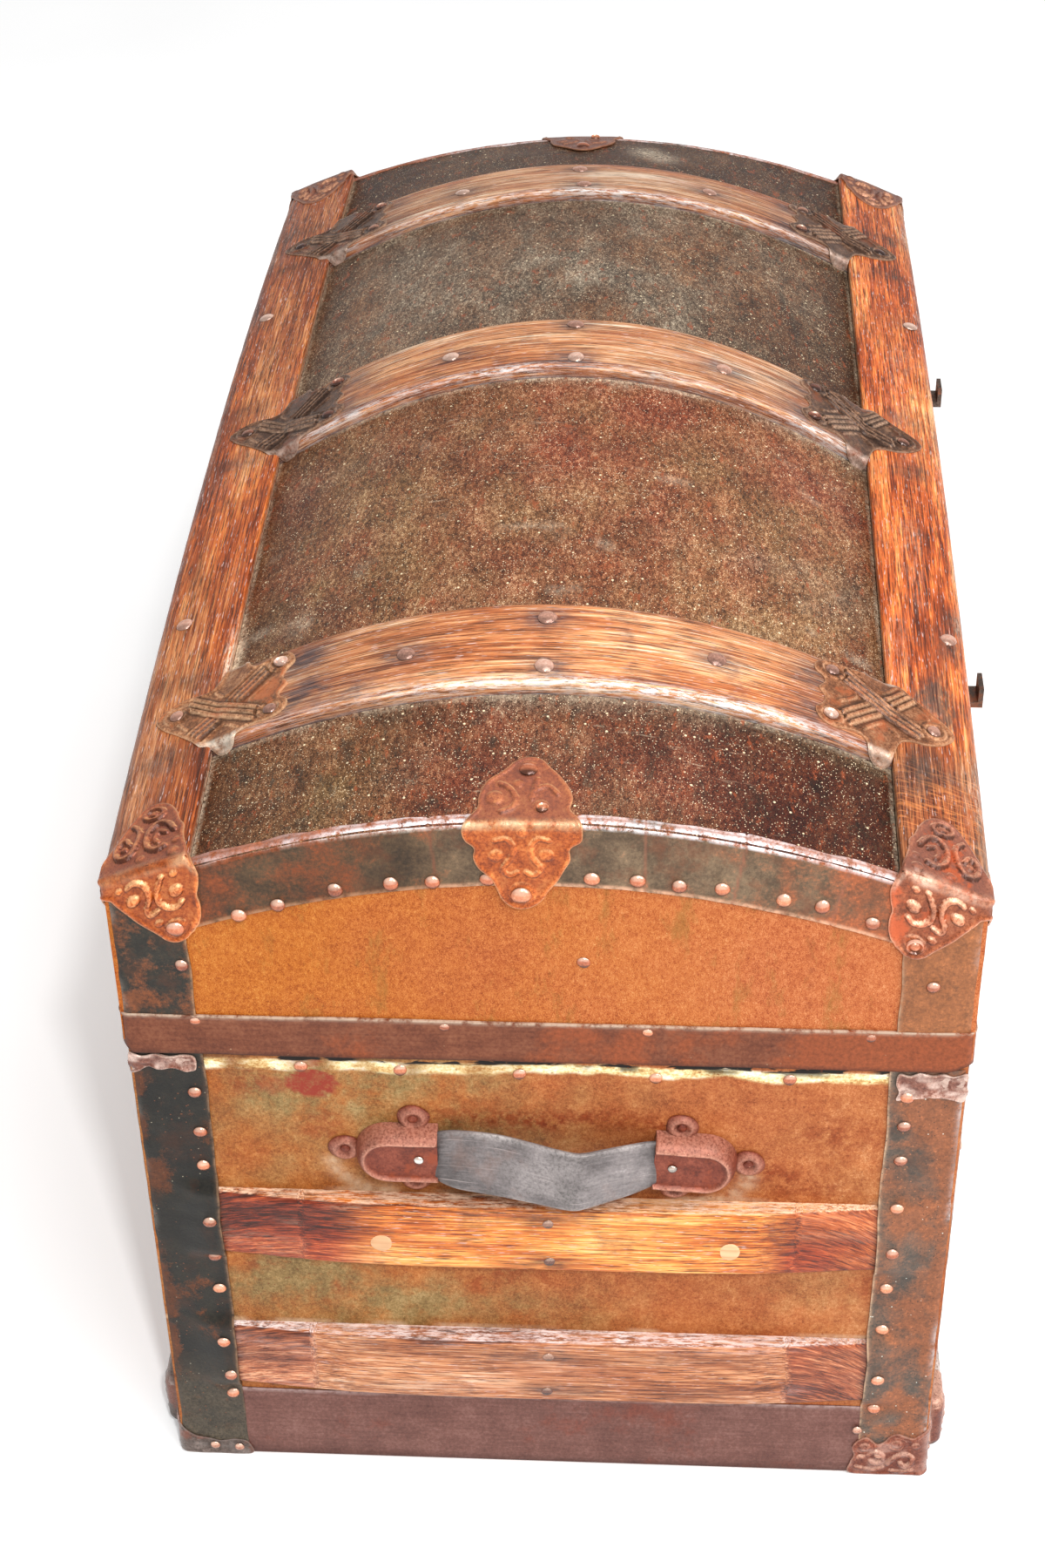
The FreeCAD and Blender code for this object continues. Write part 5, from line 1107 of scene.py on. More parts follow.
# ------------------------------------------------------------ dome cover
xs = np.linspace(-443.2, 443.2, 260)
ys = np.linspace(-193.7, 193.7, 126)
X, Y = np.meshgrid(xs, ys, indexing="ij")
P0 = xyz(X, Y, 0)
dent = 0.55 * fbm(P0, (70, 60, 60), 5, 3) + 0.28 * noise(P0, (18, 18, 18), 8)
near_slat = np.min([np.abs(np.abs(X - c) - 33.8) for c in SLAT_X], 0)
dent = dent * sstep(0, 12, near_slat) * sstep(443, 432, np.abs(X)) * sstep(193.7, 184, np.abs(Y))
Z = dome(X, Y, 0.0) + dent
T = np.stack([X, Y, Z], -1)
B = np.stack([X, Y, dome(X, Y, 0.0) - METAL], -1)
V, F = slab(T, B)
x, y = X.ravel(), Y.ravel()
G = np.stack([x, y, 0 * x], 1)
panel = np.digitize(x, SLAT_X)
near_slat = near_slat.ravel()
red = np.array([0.46, 0.26, -0.2, -0.1])[panel] + 0.35 * sstep(-40, -150, y) * (panel == 0) + 0.7 * spots(G, [(-120, 10, 0, 1.0), (-190, -60, 0, 0.8), (-60, -60, 0, 0.9), (-40, 10, 0, 0.8), (-100, -150, 0, 0.5), (-395, -60, 0, 0.6), (-380, 40, 0, 0.5), (-400, -150, 0, 0.6), (-420, 20, 0, 0.7)], (44, 52, 60))
red = red + 0.3 * fbm(G, (50, 90, 60), 21) - 0.5 * spots(G, [(-400, 130, 0, 1.0), (-380, 170, 0, 1.0)], (60, 50, 60))
olive = np.array([0.0, 0.22, 0.0, 0.05])[panel] + 0.9 * spots(G, [(-408, 116, 0, 1.2), (-392, 104, 0, 1.1), (-424, 128, 0, 1.0)], (16, 14, 60)) + 0.5 * spots(G, [(-225, 130, 0, 1), (-150, 120, 0, 1), (-260, -120, 0, 0.9), (-270, 0, 0, 0.8)], (46, 70, 60)) + 0.25 * fbm(G, (50, 80, 60), 23)
n1 = noise(G, (24, 60, 30), 27)
left_of = np.min([np.where(x < c, c - 33.8 - x, 1e3) for c in SLAT_X], 0)
right_of = np.min([np.where(x > c, x - c - 33.8, 1e3) for c in SLAT_X], 0)
# dust greys the skin: dust in front of and behind the slats, and a painted sheen of reflected light over the panel
# between the middle and far slats, strongest near its middle.
dust_and_sheen = np.array([0.10, 0.06, 0.75, 0.35])[panel] + 0.35 * sstep(0.1, 0.8, fbm(G, (50, 80, 60), 25))
dust_and_sheen = dust_and_sheen + (0.60 + 0.4 * n1) * sstep(20, 2, left_of) * np.array([1.0, 0.6, 0.5, 0.5])[panel] + 0.25 * sstep(12, 0, right_of)
dust_and_sheen = dust_and_sheen + 0.2 * sstep(-150, -185, y) * (panel == 0) + 0.5 * spots(G, [(90, 30, 0, 1.0), (120, -20, 0, 1.0), (80, -40, 0, 0.8), (150, 20, 0, 0.8)], (34, 44, 60)) - 0.35 * spots(G, [(190, 58, 0, 1.2), (170, -70, 0, 1.1), (205, -95, 0, 1.2)], (26, 34, 60))
shade = np.array([0.34, 0.10, 0.36, 0.9])[panel] + 0.3 * sstep(-60, -150, y) * (panel == 2) + 0.45 * sstep(-60, -180, y) * (panel == 0) + 0.35 * sstep(20, -120, y) * (panel == 0) + 0.4 * sstep(150, 186, np.abs(y)) + 0.4 * fbm(G, (60, 80, 60), 31)
spot = np.array([0.75, 0.10, 0.60, 0.7])[panel] + 0.4 * fbm(G, (40, 60, 60), 35) + 0.9 * spots(G, [(120, -110, 0, 1.0), (160, -150, 0, 1.0), (230, 20, 0, 0.8), (90, 150, 0, 0.9), (190, 58, 0, 1.2), (170, -70, 0, 1.1), (205, -95, 0, 1.2)], (26, 34, 60))
pale = 0.55 * sstep(4.5, 0.5, left_of) * (0.5 + 0.7 * noise(G, (20, 24, 30), 28)) + 0.55 * sstep(3.2, 0.5, 193.7 - np.abs(y)) * (0.6 + 0.6 * noise(G, (24, 30, 30), 30)) + 0.25 * sstep(4, 0.5, right_of)
pale = pale + 0.5 * spots(G, [(402, -42, 0, 1.0), (392, -52, 0, 1.0)], (14, 12, 60)) + 0.30 * sstep(0.45, 0.9, fbm(G, (20, 30, 30), 29)) * (panel == 1) + 0.9 * sstep(8, 1, 193.7 - y) * np.exp(-((x + 255) / 26.0) ** 2)
A = {"red": red, "olive": olive, "dust_and_sheen": dust_and_sheen, "pale": pale, "shade": shade, "spot": spot}
make("dome_skin", V, F, DOME, "lid", {k: two(v) for k, v in A.items()}, ("dome_cover",))


# ------------------------------------------------------------ end covers
def ztop(y):
    y = np.abs(y)
    a = dome(HL, y, 0.0)
    b = rail(HL, y, 0.0) - 4.0
    return np.where(y < 196, a, b)


def lid_end(sx, name):
    ys = np.linspace(-243.1, 243.1, 150)
    ts = np.linspace(0, 1, 56)
    Y, T_ = np.meshgrid(ys, ts, indexing="ij")
    top = np.minimum(dome(HL, np.abs(Y), 0.0), rail(HL, np.abs(Y), 0.0) - 3.0) - 3.0
    Z = 384.0 + T_ * (top - 384.0)
    P0 = xyz(sx * 400, Y, Z)
    d = (0.6 * fbm(P0, (60, 60, 50), 31, 3) + 0.16 * noise(P0, (12, 12, 12), 33))
    d = d * sstep(0, 20, Z - 384) * sstep(243, 225, np.abs(Y)) * sstep(0, 25, top - Z)
    Tg = np.stack([0 * Y + sx * (443.2 + d), Y, Z], -1)
    Bg = np.stack([0 * Y + sx * 442.6, Y, Z], -1)
    V, F = slab(Tg, Bg)
    y, z = Y.ravel(), Z.ravel()
    G = np.stack([0 * y, y, z], 1)
    stain = spots(G, [(0, -149, 432, 0.7), (0, -149, 420, 0.6), (0, -149, 445, 0.5), (0, -148.5, 408, 0.5)], (9, 2.4, 9))
    make(name, V, F, LIDEND, "lid", {"stain": two(stain)}, ("lid_%s_end_cover" % ("left" if sx < 0 else "right"),))


lid_end(-1, "left_lid_end_skin")
lid_end(1, "right_lid_end_skin")


def body_end(sx, name):
    ys = np.linspace(-241.6, 241.6, 170)
    zs = np.concatenate([np.linspace(2, 340, 110), np.linspace(341, 363.6, 24)])
    Y, Z = np.meshgrid(ys, zs, indexing="ij")
    P0 = xyz(sx * 400, Y, Z)
    d = 0.65 * fbm(P0, (70, 70, 60), 41, 3) + 0.18 * noise(P0, (14, 14, 14), 43)
    slat = np.min([np.where(Z > b, Z - b, np.where(Z < a, a - Z, 0)) for a, b in ((75, 128), (194, 246))], 0)
    d = d * sstep(0, 14, slat) * sstep(241, 215, np.abs(Y)) * sstep(2, 20, Z) * sstep(363, 350, Z)
    Tg = np.stack([0 * Y + sx * (441.7 + d), Y, Z], -1)
    Bg = np.stack([0 * Y + sx * 441.1, Y, Z], -1)
    V, F = slab(Tg, Bg)
    y, z = Y.ravel(), Z.ravel()
    G = np.stack([0 * y, y, z], 1)
    wav = 2.2 * noise(G, (30, 26, 400), 45) + 1.2 * noise(G, (9, 8, 400), 46)
    cream = sstep(343.5, 346.5, z + wav) * sstep(353.5, 351.5, z + wav * 0.5) * sstep(-0.75, -0.2, noise(G, (30, 34, 200), 47) + 0.35)
    black = sstep(351, 352.5, z + wav * 0.4) * sstep(-0.5, 0.1, noise(G, (30, 20, 200), 48) + 0.1)
    black = np.maximum(black, 0.6 * sstep(346, 351, z) * (y < 20) * sstep(0.1, 0.5, noise(G, (12, 12, 12), 49)))
    cream = np.maximum(cream * np.clip(0.78 + 0.6 * sstep(60, -30, y) + 0.9 * noise(G, (12, 13, 200), 58), 0, 1), 0)
    stain = np.maximum.reduce([0.95 * (((y - 136) / 15) ** 2 + ((z - 334) / 10.5) ** 2 < 1.0), 0.7 * (((y - 142) / 12) ** 2 + ((z - 351) / 5) ** 2 < 1.0), 0.35 * (((y - 160) / 9) ** 2 + ((z - 331) / 7) ** 2 < 1.0)])
    olive = 0.35 + 0.9 * spots(G, [(0, 120, 330, 1), (0, 60, 300, 0.7), (0, 95, 340, 0.8), (0, 150, 165, 1.0), (0, 100, 150, 0.8), (0, -160, 165, 0.7), (0, 0, 150, 0.5)], (60, 55, 24)) + 0.3 * fbm(G, (60, 50, 30), 51)
    olive = olive * (0.4 + 0.6 * sstep(-80, 60, y))
    rusty = 0.45 * sstep(-60, -200, y) * sstep(-0.2, 0.6, fbm(G, (60, 40, 40), 53)) + 0.5 * sstep(0.15, 0.6, fbm(G, (44, 44, 30), 54)) + 0.5 * spots(G, [(0, -176, 300, 1.0), (0, -150, 265, 1.0), (0, 10, 150, 0.5), (0, -80, 170, 0.6)], (40, 40, 26)) + 0.95 * spots(G, [(0, 40, 310, 0.8), (0, 0, 308, 1.0), (0, -34, 312, 1.0), (0, -62, 308, 0.8)], (40, 30, 9))
    # dark is painted shade: a line just under each end slat, and a soft painted shadow of the handle strap on the wall
    # below it.
    dark = 0.9 * spots(G, [(0, yy, 256, 1.0) for yy in (-60, 0, 60)] + [(0, -20, 262, 0.8)], (30, 70, 12)) * 0.35 + 0.9 * sstep(2.5, 0.0, np.min([np.abs(z - k + 1) for k in (194.0, 75.0)], 0)) + 0.5 * sstep(120, 20, np.abs(y)) * sstep(22, 0, np.abs(z - 252)) * 0.6
    pale = 0.55 * spots(G, [(0, yy, zz, 1.0) for yy, zz in ((128, 271), (125.5, 264), (121, 258), (115, 252.5), (108, 249), (101, 248), (94, 248), (-120, 266), (-118.7, 260), (-113, 252), (-105.5, 246), (-97, 246))], (9, 5, 4)) + 0.5 * sstep(3, 0.5, np.min([np.abs(z - k - 1) for k in (128.0, 246.0)], 0)) * sstep(-0.3, 0.6, noise(G, (20, 20, 20), 56))
    at = {"olive": olive, "rusty": rusty, "stain": stain, "pale": pale, "dark": dark, "cream": cream, "black": black}
    make(name, V, F, BODY, "root", {k: two(v) for k, v in at.items()}, ("%s_end_cover" % ("left" if sx < 0 else "right"),))


body_end(-1, "left_end_skin")
body_end(1, "right_end_skin")


def long_cover(sy, y0, z0, z1, xh, mat, body, name, rep, seed):
    xs = np.linspace(-xh, xh, 220)
    zs = np.linspace(z0, z1, 60)
    X, Z = np.meshgrid(xs, zs, indexing="ij")
    P0 = xyz(X, sy * 300, Z)
    d = (0.6 * fbm(P0, (90, 60, 60), seed, 3) + 0.15 * noise(P0, (14, 14, 14), seed + 2)) * sstep(xh, xh - 30, np.abs(X)) * sstep(z0, z0 + 15, Z) * sstep(z1, z1 - 15, Z)
    V, F = slab(np.stack([X, sy * (y0 + 0 * X + d), Z], -1), np.stack([X, sy * (y0 - METAL + 0.1 + 0 * X), Z], -1))
    G = np.stack([X.ravel(), 0 * X.ravel(), Z.ravel()], 1)
    o = 0 * G[:, 0]
    at = {"olive": 0.5 + 0.5 * fbm(G, (90, 50, 40), seed + 3), "rusty": 0.5 * sstep(0.1, 0.6, fbm(G, (60, 50, 40), seed + 4)), "stain": o, "pale": o, "dark": o, "cream": o, "black": o}
    make(name, V, F, mat, body, {k: two(v) for k, v in at.items()}, rep)


long_cover(-1, 241.7, 2.0, 363.6, 441.6, BODY, "root", "front_skin", ("front_cover",), 61)
long_cover(1, 241.7, 2.0, 363.6, 441.6, BODY, "root", "back_skin", ("back_cover",), 63)


def lid_long(sy, seed, name, rep):
    xs = np.linspace(-443.1, 443.1, 220)
    ts = np.linspace(0, 1, 34)
    X, T_ = np.meshgrid(xs, ts, indexing="ij")
    top = rail(X, 243.0, -10.5)
    Z = 366.0 + T_ * (top - 366.0)
    P0 = xyz(X, sy * 300, Z)
    d = (0.6 * fbm(P0, (90, 60, 60), seed, 3)) * sstep(443, 410, np.abs(X)) * sstep(366, 390, Z) * sstep(0, 15, top - Z)
    V, F = slab(np.stack([X, sy * (243.2 + 0 * X + d), Z], -1), np.stack([X, sy * (242.6 + 0 * X), Z], -1))
    make(name, V, F, LIDEND, "lid", {"stain": np.zeros(len(V))}, rep)


lid_long(-1, 71, "lid_front_skin", ("lid_front_cover",))
lid_long(1, 73, "lid_back_skin", ("lid_back_cover",))


# ------------------------------------------------------------ bindings
def arch(sx, seed):
    """Folded binding along the curved top edge of an end."""
    n, r = 300, 4.0
    ys = np.linspace(-197.5, 197.5, n)
    prof = [(0.0, -b, 0.0) for b in np.linspace(43.0, r, 28)]            # out, down from the ridge, turn
    prof += [(-(r - r * math.cos(t)), -(r - r * math.sin(t)), t) for t in np.linspace(0, math.pi / 2, 8)[1:]]
    prof += [(-r - k * 0.9, 0.0, math.pi / 2) for k in range(1, 4)]
    prof = np.array(prof)
    m = len(prof)
    Y = np.repeat(ys[:, None], m, 1)
    A, Bd, T = (np.repeat(prof[None, :, k], n, 0) for k in range(3))
    wav = 0.5 * noise(xyz(sx * 5.0, Y, 0), (40, 40, 40), seed)
    lip = noise(xyz(sx * 5.0, Y, 0), (14, 14, 14), seed + 1)
    ridge = dome(HL, Y, 0.8)
    seam = np.zeros_like(Y)
    for ya, yb, dp in ((127.5, 127.5, 0.4), (61.0, 57.5, 1.0), (-56.0, -56.0, 0.7), (-110.6, -104.0, 1.0), (-167.0, -158.0, 1.0)):
        at_y = ya + (yb - ya) * np.clip(-Bd / 43.0, 0, 1)
        s1 = dp * np.exp(-((Y - at_y) / 0.7) ** 2)
        if dp < 0.5:
            s1 = s1 * (Bd > -14)
        seam = np.maximum(seam, s1)
    roll = 0.7 * np.exp(-((Bd + 42.2) / 0.9) ** 2)
    lump = 0.35 * wav * (Bd < -6) + 0.3 * noise(xyz(sx * 5.0, Y, Bd), (11, 11, 11), seed + 2)
    off = 0.8 + roll + lump - 0.5 * seam
    inner_lip = (np.arange(m) > m - 4)[None, :] * lip * 1.3
    X = 443.3 + A + off * np.cos(T) - inner_lip
    Z = ridge + Bd + (0.8 - 0.4 * seam + 0.3 * lump) * np.sin(T)
    O = np.stack([sx * X, Y, Z], -1)
    I = np.stack([sx * (443.2 + A - inner_lip), Y, ridge + Bd - 0.25], -1)
    S = np.concatenate([O, I[:, ::-1]], 1)
    V, F = loft(S)
    zero = np.zeros_like(Y)

    def pad(v):
        return np.concatenate([v, zero], 1).ravel()
    G = xyz(0, Y, Z)
    # rim: a pale line along the rolled lower edge, a painted highlight on the roll.
    rim = np.exp(-((Bd + 42.4) / 1.3) ** 2)
    # The bend over the ridge and the top fold are painted pale: a painted highlight along the fold, with worn paint.
    bend = np.exp(-((T - 0.85) / 0.54) ** 2) * (T > 0.02)
    wear = (1.15 * bend + 0.30 * (A < -4.2)) * (0.9 + 1.1 * wav + 0.4 * lip) * (0.30 + 0.70 * sstep(150, 95, Y)) * (1 - 0.35 * sstep(-60, -150, Y))
    rusty = 0.30 * sstep(150, 194, Y) + 0.30 * sstep(40, 110, Y) + 0.45 * fbm(G, (30, 30, 30), seed + 4) + 0.45 * sstep(-100, -190, Y) + 1.0 * bend * sstep(90, 150, Y) + 0.5 * (T > 0.3) - 0.1
    # deep: painted shade, the +Y half of the end face darkened as the side away from the light.
    deep = 0.95 * sstep(10, 90, Y) * (T < 0.6)
    return V, F, {"rim": pad(rim), "wear": pad(wear), "seam": pad(seam), "rusty": pad(rusty), "deep": pad(deep)}


for sx, nm in ((-1, "left"), (1, "right")):
    V, F, at = arch(sx, 83)
    make(nm + "_arch_strip", V, F, ARCHM, "lid", at, (nm + "_arch_binding",), angle=60)


def corner_strip(sx, sy, hx, hy, r, wide, zs, bulge, thick, seed, marks=(), rust=0.0, edge=0.0, fadez=None):
    """Folded binding over a vertical corner at (sx*hx, sy*hy), wide on both faces."""
    L = math.pi * r / 2
    us = np.concatenate([np.linspace(-wide + r, 0, 26)[:-1], np.linspace(0, L, 8)[:-1], np.linspace(L, L + wide - r, 22)])
    Z, U = np.meshgrid(np.asarray(zs, float), us, indexing="ij")
    bl = np.where(U < 0, bulge(Z, -U + 0.0), 0.0)
    dn = 0.35 * noise(xyz(sx * 200.0 + U, sy * 300.0, Z), (26, 26, 26), seed + 5) + 0.22 * noise(xyz(sx * 200.0 + U, sy * 300.0, Z), (9, 9, 9), seed + 4)
    e1 = 0.8 * noise(xyz(sx * 300.0, sy * 300.0, Z), (30, 30, 22), seed)
    T = np.clip(U / r, 0, math.pi / 2)
    CX = hx - r - np.maximum(U - L, 0)
    CY = hy - r + np.minimum(U, 0)
    th = thick + dn + bl + 0.6 * np.exp(-((U + wide - r - 0.9) / 0.9) ** 2)
    sh = np.where(U < -wide + r + 3, e1, 0.0)
    O = np.stack([sx * (CX + np.cos(T) * (r + th)), sy * (CY + np.sin(T) * (r + th) + sh), Z], -1)
    ri = r - 0.1 + np.maximum(0, bl - 1.5)
    I = np.stack([sx * (CX + np.cos(T) * ri), sy * (CY + np.sin(T) * (r - 0.1) + sh), Z], -1)
    V, F = loft(np.concatenate([O, I[:, ::-1]], 1))
    zero = np.zeros_like(Z)
    G = xyz(U, 0, Z)
    Q = np.stack([U.ravel(), 0 * U.ravel(), Z.ravel()], 1)
    ru = rust + edge * sstep(-9, 1, U) + 0.55 * noise(G, (18, 20, 30), seed + 7)
    for u0, z0, su, sz, k in marks:
        ru = np.maximum(ru, spots(Q, [(u0, 0, z0, k)], (su, 60, sz)).reshape(U.shape) + 0.35 * noise(G, (9, 9, 9), seed + 8))
    at = {
        "rim": np.maximum(np.exp(-((U + wide - r) / 1.1) ** 2), 0.5 * np.exp(-((U - L - wide + r) / 1.4) ** 2)),
        "wear": 0.30 * np.exp(-((U - L / 2) / (r * 0.5)) ** 2) * sstep(-0.1, 0.8, noise(G, (20, 20, 22), seed + 6)),
        "rusty": ru,
        "fade": sstep(fadez[0], fadez[1], Z) if fadez else 0 * Z,
    }
    return V, F, {k: np.concatenate([v, zero], 1).ravel() for k, v in at.items()}


def body_bulge(z, d):
    """How far the binding lifts over the ends of the slats; d is mm in from the corner."""
    out = 0.0
    for a, b in ((75.0, 128.0), (194.0, 246.0)):
        out = np.maximum(out, sstep(a - 9, a + 2, z) * (1 - sstep(b - 2, b + 9, z)))
    return out * 5.4 * sstep(8, 34, d)


# rust marks as (across, height, half width, half height, strength)
BODY_AGE = {
    1: dict(marks=((0, 256, 9, 14, 1.3), (3, 330, 6, 12, 1.3), (5, 296, 5, 12, 1.4), (2, 158, 6, 26, 1.3), (3, 100, 5, 30, 1.0), (-25, 66, 7, 4, 0.8)), rust=-0.35, edge=0.30, fadez=(110, 30)),
    -1: dict(marks=((-8, 318, 17, 22, 1.3), (0, 292, 10, 20, 1.2), (-16, 240, 14, 18, 0.9), (-10, 150, 14, 30, 0.9), (-18, 70, 16, 14, 1.0), (-4, 40, 16, 24, 0.9)), rust=0.12, edge=0.55),
}
LID_AGE = {
    1: dict(marks=((-8, 400, 14, 9, 0.8),), rust=-0.1, edge=0.25),
    -1: dict(marks=((-14, 398, 22, 18, 1.3), (-20, 440, 14, 12, 1.0), (0, 430, 8, 30, 1.2)), rust=0.45, edge=0.5),
}
for sx, xn in ((-1, "left"), (1, "right")):
    for sy, yn in ((-1, "front"), (1, "back")):
        mat, mat2 = (BINDF, BINDL) if sy < 0 else (BIND, BINDU)
        V, F, at = corner_strip(sx, sy, 442.0, 242.0, 5.0, 44.0, np.linspace(2.0, 357.0, 150), body_bulge, 0.8, 85 + sy + 3 * sx, **BODY_AGE[sy])
        make("%s_%s_body_binding" % (xn, yn), V, F, mat, "root", at, ("body_corner_bindings",), angle=60)
        V, F, at = corner_strip(sx, sy, 443.4, 243.4, 6.0, 44.0, np.linspace(387.0, 471.0, 50), lambda z, d: 0.0 * z, 0.8, 95 + sy + 3 * sx, **LID_AGE[sy])
        make("%s_%s_lid_binding" % (xn, yn), V, F, mat2, "lid", at, ("lid_corner_bindings",), angle=60)


# ------------------------------------------------------------ lid band and bottom band
def rounded_path(hx, hy, r, step=5.0):
    """Points and outward normals around a rounded rectangle, from the middle of the back."""
    P, N = [], []
    def line(p, q, nrm):
        k = max(1, int(math.hypot(q[0] - p[0], q[1] - p[1]) / step))
        for i in range(k):
            t = i / k
            P.append((p[0] + (q[0] - p[0]) * t, p[1] + (q[1] - p[1]) * t))
            N.append(nrm)
    def arc(c, a0):
        for i in range(6):
            t = a0 - i / 6 * math.pi / 2
            P.append((c[0] + r * math.cos(t), c[1] + r * math.sin(t)))
            N.append((math.cos(t), math.sin(t)))
    line((-hx + r, hy), (hx - r, hy), (0, 1))
    arc((hx - r, hy - r), math.pi / 2)
    line((hx, hy - r), (hx, -hy + r), (1, 0))
    arc((hx - r, -hy + r), 0)
    line((hx - r, -hy), (-hx + r, -hy), (0, -1))
    arc((-hx + r, -hy + r), -math.pi / 2)
    line((-hx, -hy + r), (-hx, hy - r), (-1, 0))
    arc((-hx + r, hy - r), -math.pi)
    return np.array(P), np.array(N)


P, N = rounded_path(443.6, 243.6, 5.0)
PX, PY, NX, NY = P[:, 0], P[:, 1], N[:, 0], N[:, 1]
ZB = np.where((PY > 240.5) & (np.abs(PX) < 441.5), 364.4, 357.0)
ZB = np.where((NY > 0.02) & (NY < 0.98), 357.0 + 7.4 * NY, ZB)
cf = np.where(PY < 0, 12.0 * (1 - np.clip(np.hypot(np.abs(PX) - 443.6, PY + 243.6) / 12.0, 0, 1)), 0)
ZB = ZB + 0.55 * cf + 0.4 * noise(xyz(PX, PY, 0), (40, 40, 40), 101)
ZT = 387.0 + 0.35 * noise(xyz(PX, PY, 0), (30, 30, 30), 102)
ts = np.array([0.0, 0.04, 0.12, 0.22, 0.34, 0.46, 0.58, 0.7, 0.8, 0.88, 0.94, 0.985, 1.0])
TT = np.repeat(ts[None], len(P), 0)
ZZ = ZB[:, None] + (ZT - ZB)[:, None] * TT
GG = xyz(PX[:, None], PY[:, None], ZZ)
OO = 0.8 + 0.4 * noise(GG, (60, 60, 20), 103) * ((TT > 0.1) & (TT < 0.9)) + 0.55 * np.exp(-((1 - TT) * 30 / 1.4 - 0.6) ** 2) + 0.3 * np.exp(-(TT * 30 / 1.4 - 0.6) ** 2)
OUTR = np.stack([PX[:, None] + NX[:, None] * OO, PY[:, None] + NY[:, None] * OO, ZZ], -1)
INNR = np.stack([PX[:, None] - NX[:, None] * 0.1 + 0 * ZZ, PY[:, None] - NY[:, None] * 0.1 + 0 * ZZ, ZZ], -1)[:, [-1, 0]]
V, F = ring(np.concatenate([OUTR, INNR], 1))
z2 = np.zeros((len(P), 2))
A = {
    "rim": np.concatenate([0.95 * np.exp(-((ZT[:, None] - ZZ) / 1.6) ** 2), z2 + [[0.8, 0]]], 1).ravel(),
    "dark": np.concatenate([0.9 * np.exp(-((ZZ - ZB[:, None]) / 1.5) ** 2), z2 + [[0, 1.0]]], 1).ravel(),
    "rusty": np.concatenate([0.9 * sstep(-60, -190, PY)[:, None] * np.where(PX < 0, 1, 0.5)[:, None] + 0.3 * noise(GG, (50, 50, 30), 104), z2], 1).ravel(),
}
make("lid_band_strip", V, F, BAND, "lid", A, ("lid_band",), angle=50)


def base_band(name, pts, nrm, seed):
    Q = np.array(pts, float)
    ts = np.linspace(0, 1, 16)
    zt = 65.0 + 0.8 * noise(xyz(Q[:, 0], Q[:, 1], 0), (30, 30, 30), seed)
    TT = np.repeat(ts[None], len(Q), 0)
    ZZ = 2.0 + (zt - 2.0)[:, None] * TT
    GG = xyz(Q[:, 0][:, None], Q[:, 1][:, None], ZZ)
    o = 0.75 + 0.5 * noise(GG, (60, 60, 34), seed + 1) * ((TT > 0.05) & (TT < 0.95))
    O = np.stack([Q[:, 0][:, None] + nrm[0] * o, Q[:, 1][:, None] + nrm[1] * o, ZZ], -1)
    I = np.stack([Q[:, 0][:, None] - nrm[0] * 0.1 + 0 * o, Q[:, 1][:, None] - nrm[1] * 0.1 + 0 * o, ZZ], -1)[:, [-1, 0]]
    z2 = np.zeros((len(Q), 2))
    A = {
        "rim": np.concatenate([0.45 * np.exp(-((zt[:, None] - ZZ) / 1.3) ** 2), z2], 1).ravel(),
        "dark": np.concatenate([0.75 * np.exp(-((ZZ - 2) / 4.0) ** 2), z2], 1).ravel(),
        "rusty": np.concatenate([0.6 * noise(GG, (90, 90, 50), seed + 2), z2], 1).ravel(),
    }
    V, F = loft(np.concatenate([O, I], 1))
    make(name, V, F, BASE, "root", A, ("bottom_band",), angle=50)


for sx, nm in ((-1, "left"), (1, "right")):
    base_band(nm + "_base_band", [(sx * 441.8, y) for y in np.linspace(-198.5, 198.5, 90)], (sx, 0), 111)
for sy, nm in ((-1, "front"), (1, "back")):
    base_band(nm + "_base_band", [(x, sy * 241.8) for x in np.linspace(-398.5, 398.5, 160)], (0, sy), 113)


# ------------------------------------------------------------ pressed caps and clasps
def bead(P, pts, w, h, closed=False, step=1.2):
    """A half-round ridge along a line."""
    d = dist_line(P, spline(pts, step, closed), closed)
    return h * np.sqrt(np.clip(1 - (d / (w / 2)) ** 2, 0, 1))


def boss(P, c, r, h, r2=None):
    q = ((P[:, 0] - c[0]) / r) ** 2 + ((P[:, 1] - c[1]) / (r2 or r)) ** 2
    return h * np.sqrt(np.clip(1 - q, 0, 1))


def halo_ring(P, c, r, w, h, r2=None):
    k = r / (r2 or r)
    d = np.abs(np.hypot(P[:, 0] - c[0], (P[:, 1] - c[1]) * k) - r)
    return h * np.sqrt(np.clip(1 - (d / (w / 2)) ** 2, 0, 1))


def blend_top(x, y, a=0.9, b=0.35):
    """Top of the lid across the step from the curved skin to the rail."""
    y = np.abs(y)
    t = sstep(190.5, 196.5, y)
    return dome(x, y, a) * (1 - t) + rail(x, y, b) * t


CAP_OUT = [(193, 4), (196.5, 12), (198.5, 20), (199.2, 27), (202.4, 32.5), (205.6, 41), (210.5, 48), (217, 52), (223.7, 51), (229, 46), (232.6, 40), (236, 33), (240, 24.5), (243.2, 17),
           (246.4, 11), (247.2, 4), (247.4, -2.4), (255, -2.8), (266, -3.6), (277, -6), (281, -12), (278, -19), (270, -23), (262, -27), (254, -26), (248, -19), (244.5, -14), (240, -13), (236.5, -18.5), (231.5, -26),
           (226, -34), (220, -41.5), (214.5, -48), (210, -53.5), (204.5, -56.5), (199, -55.5), (195, -51), (192.6, -43.5), (190.6, -38), (189.4, -32.4), (189.5, -25.5), (190.6, -19), (189.4, -13), (188.8, -6), (190, -1)]


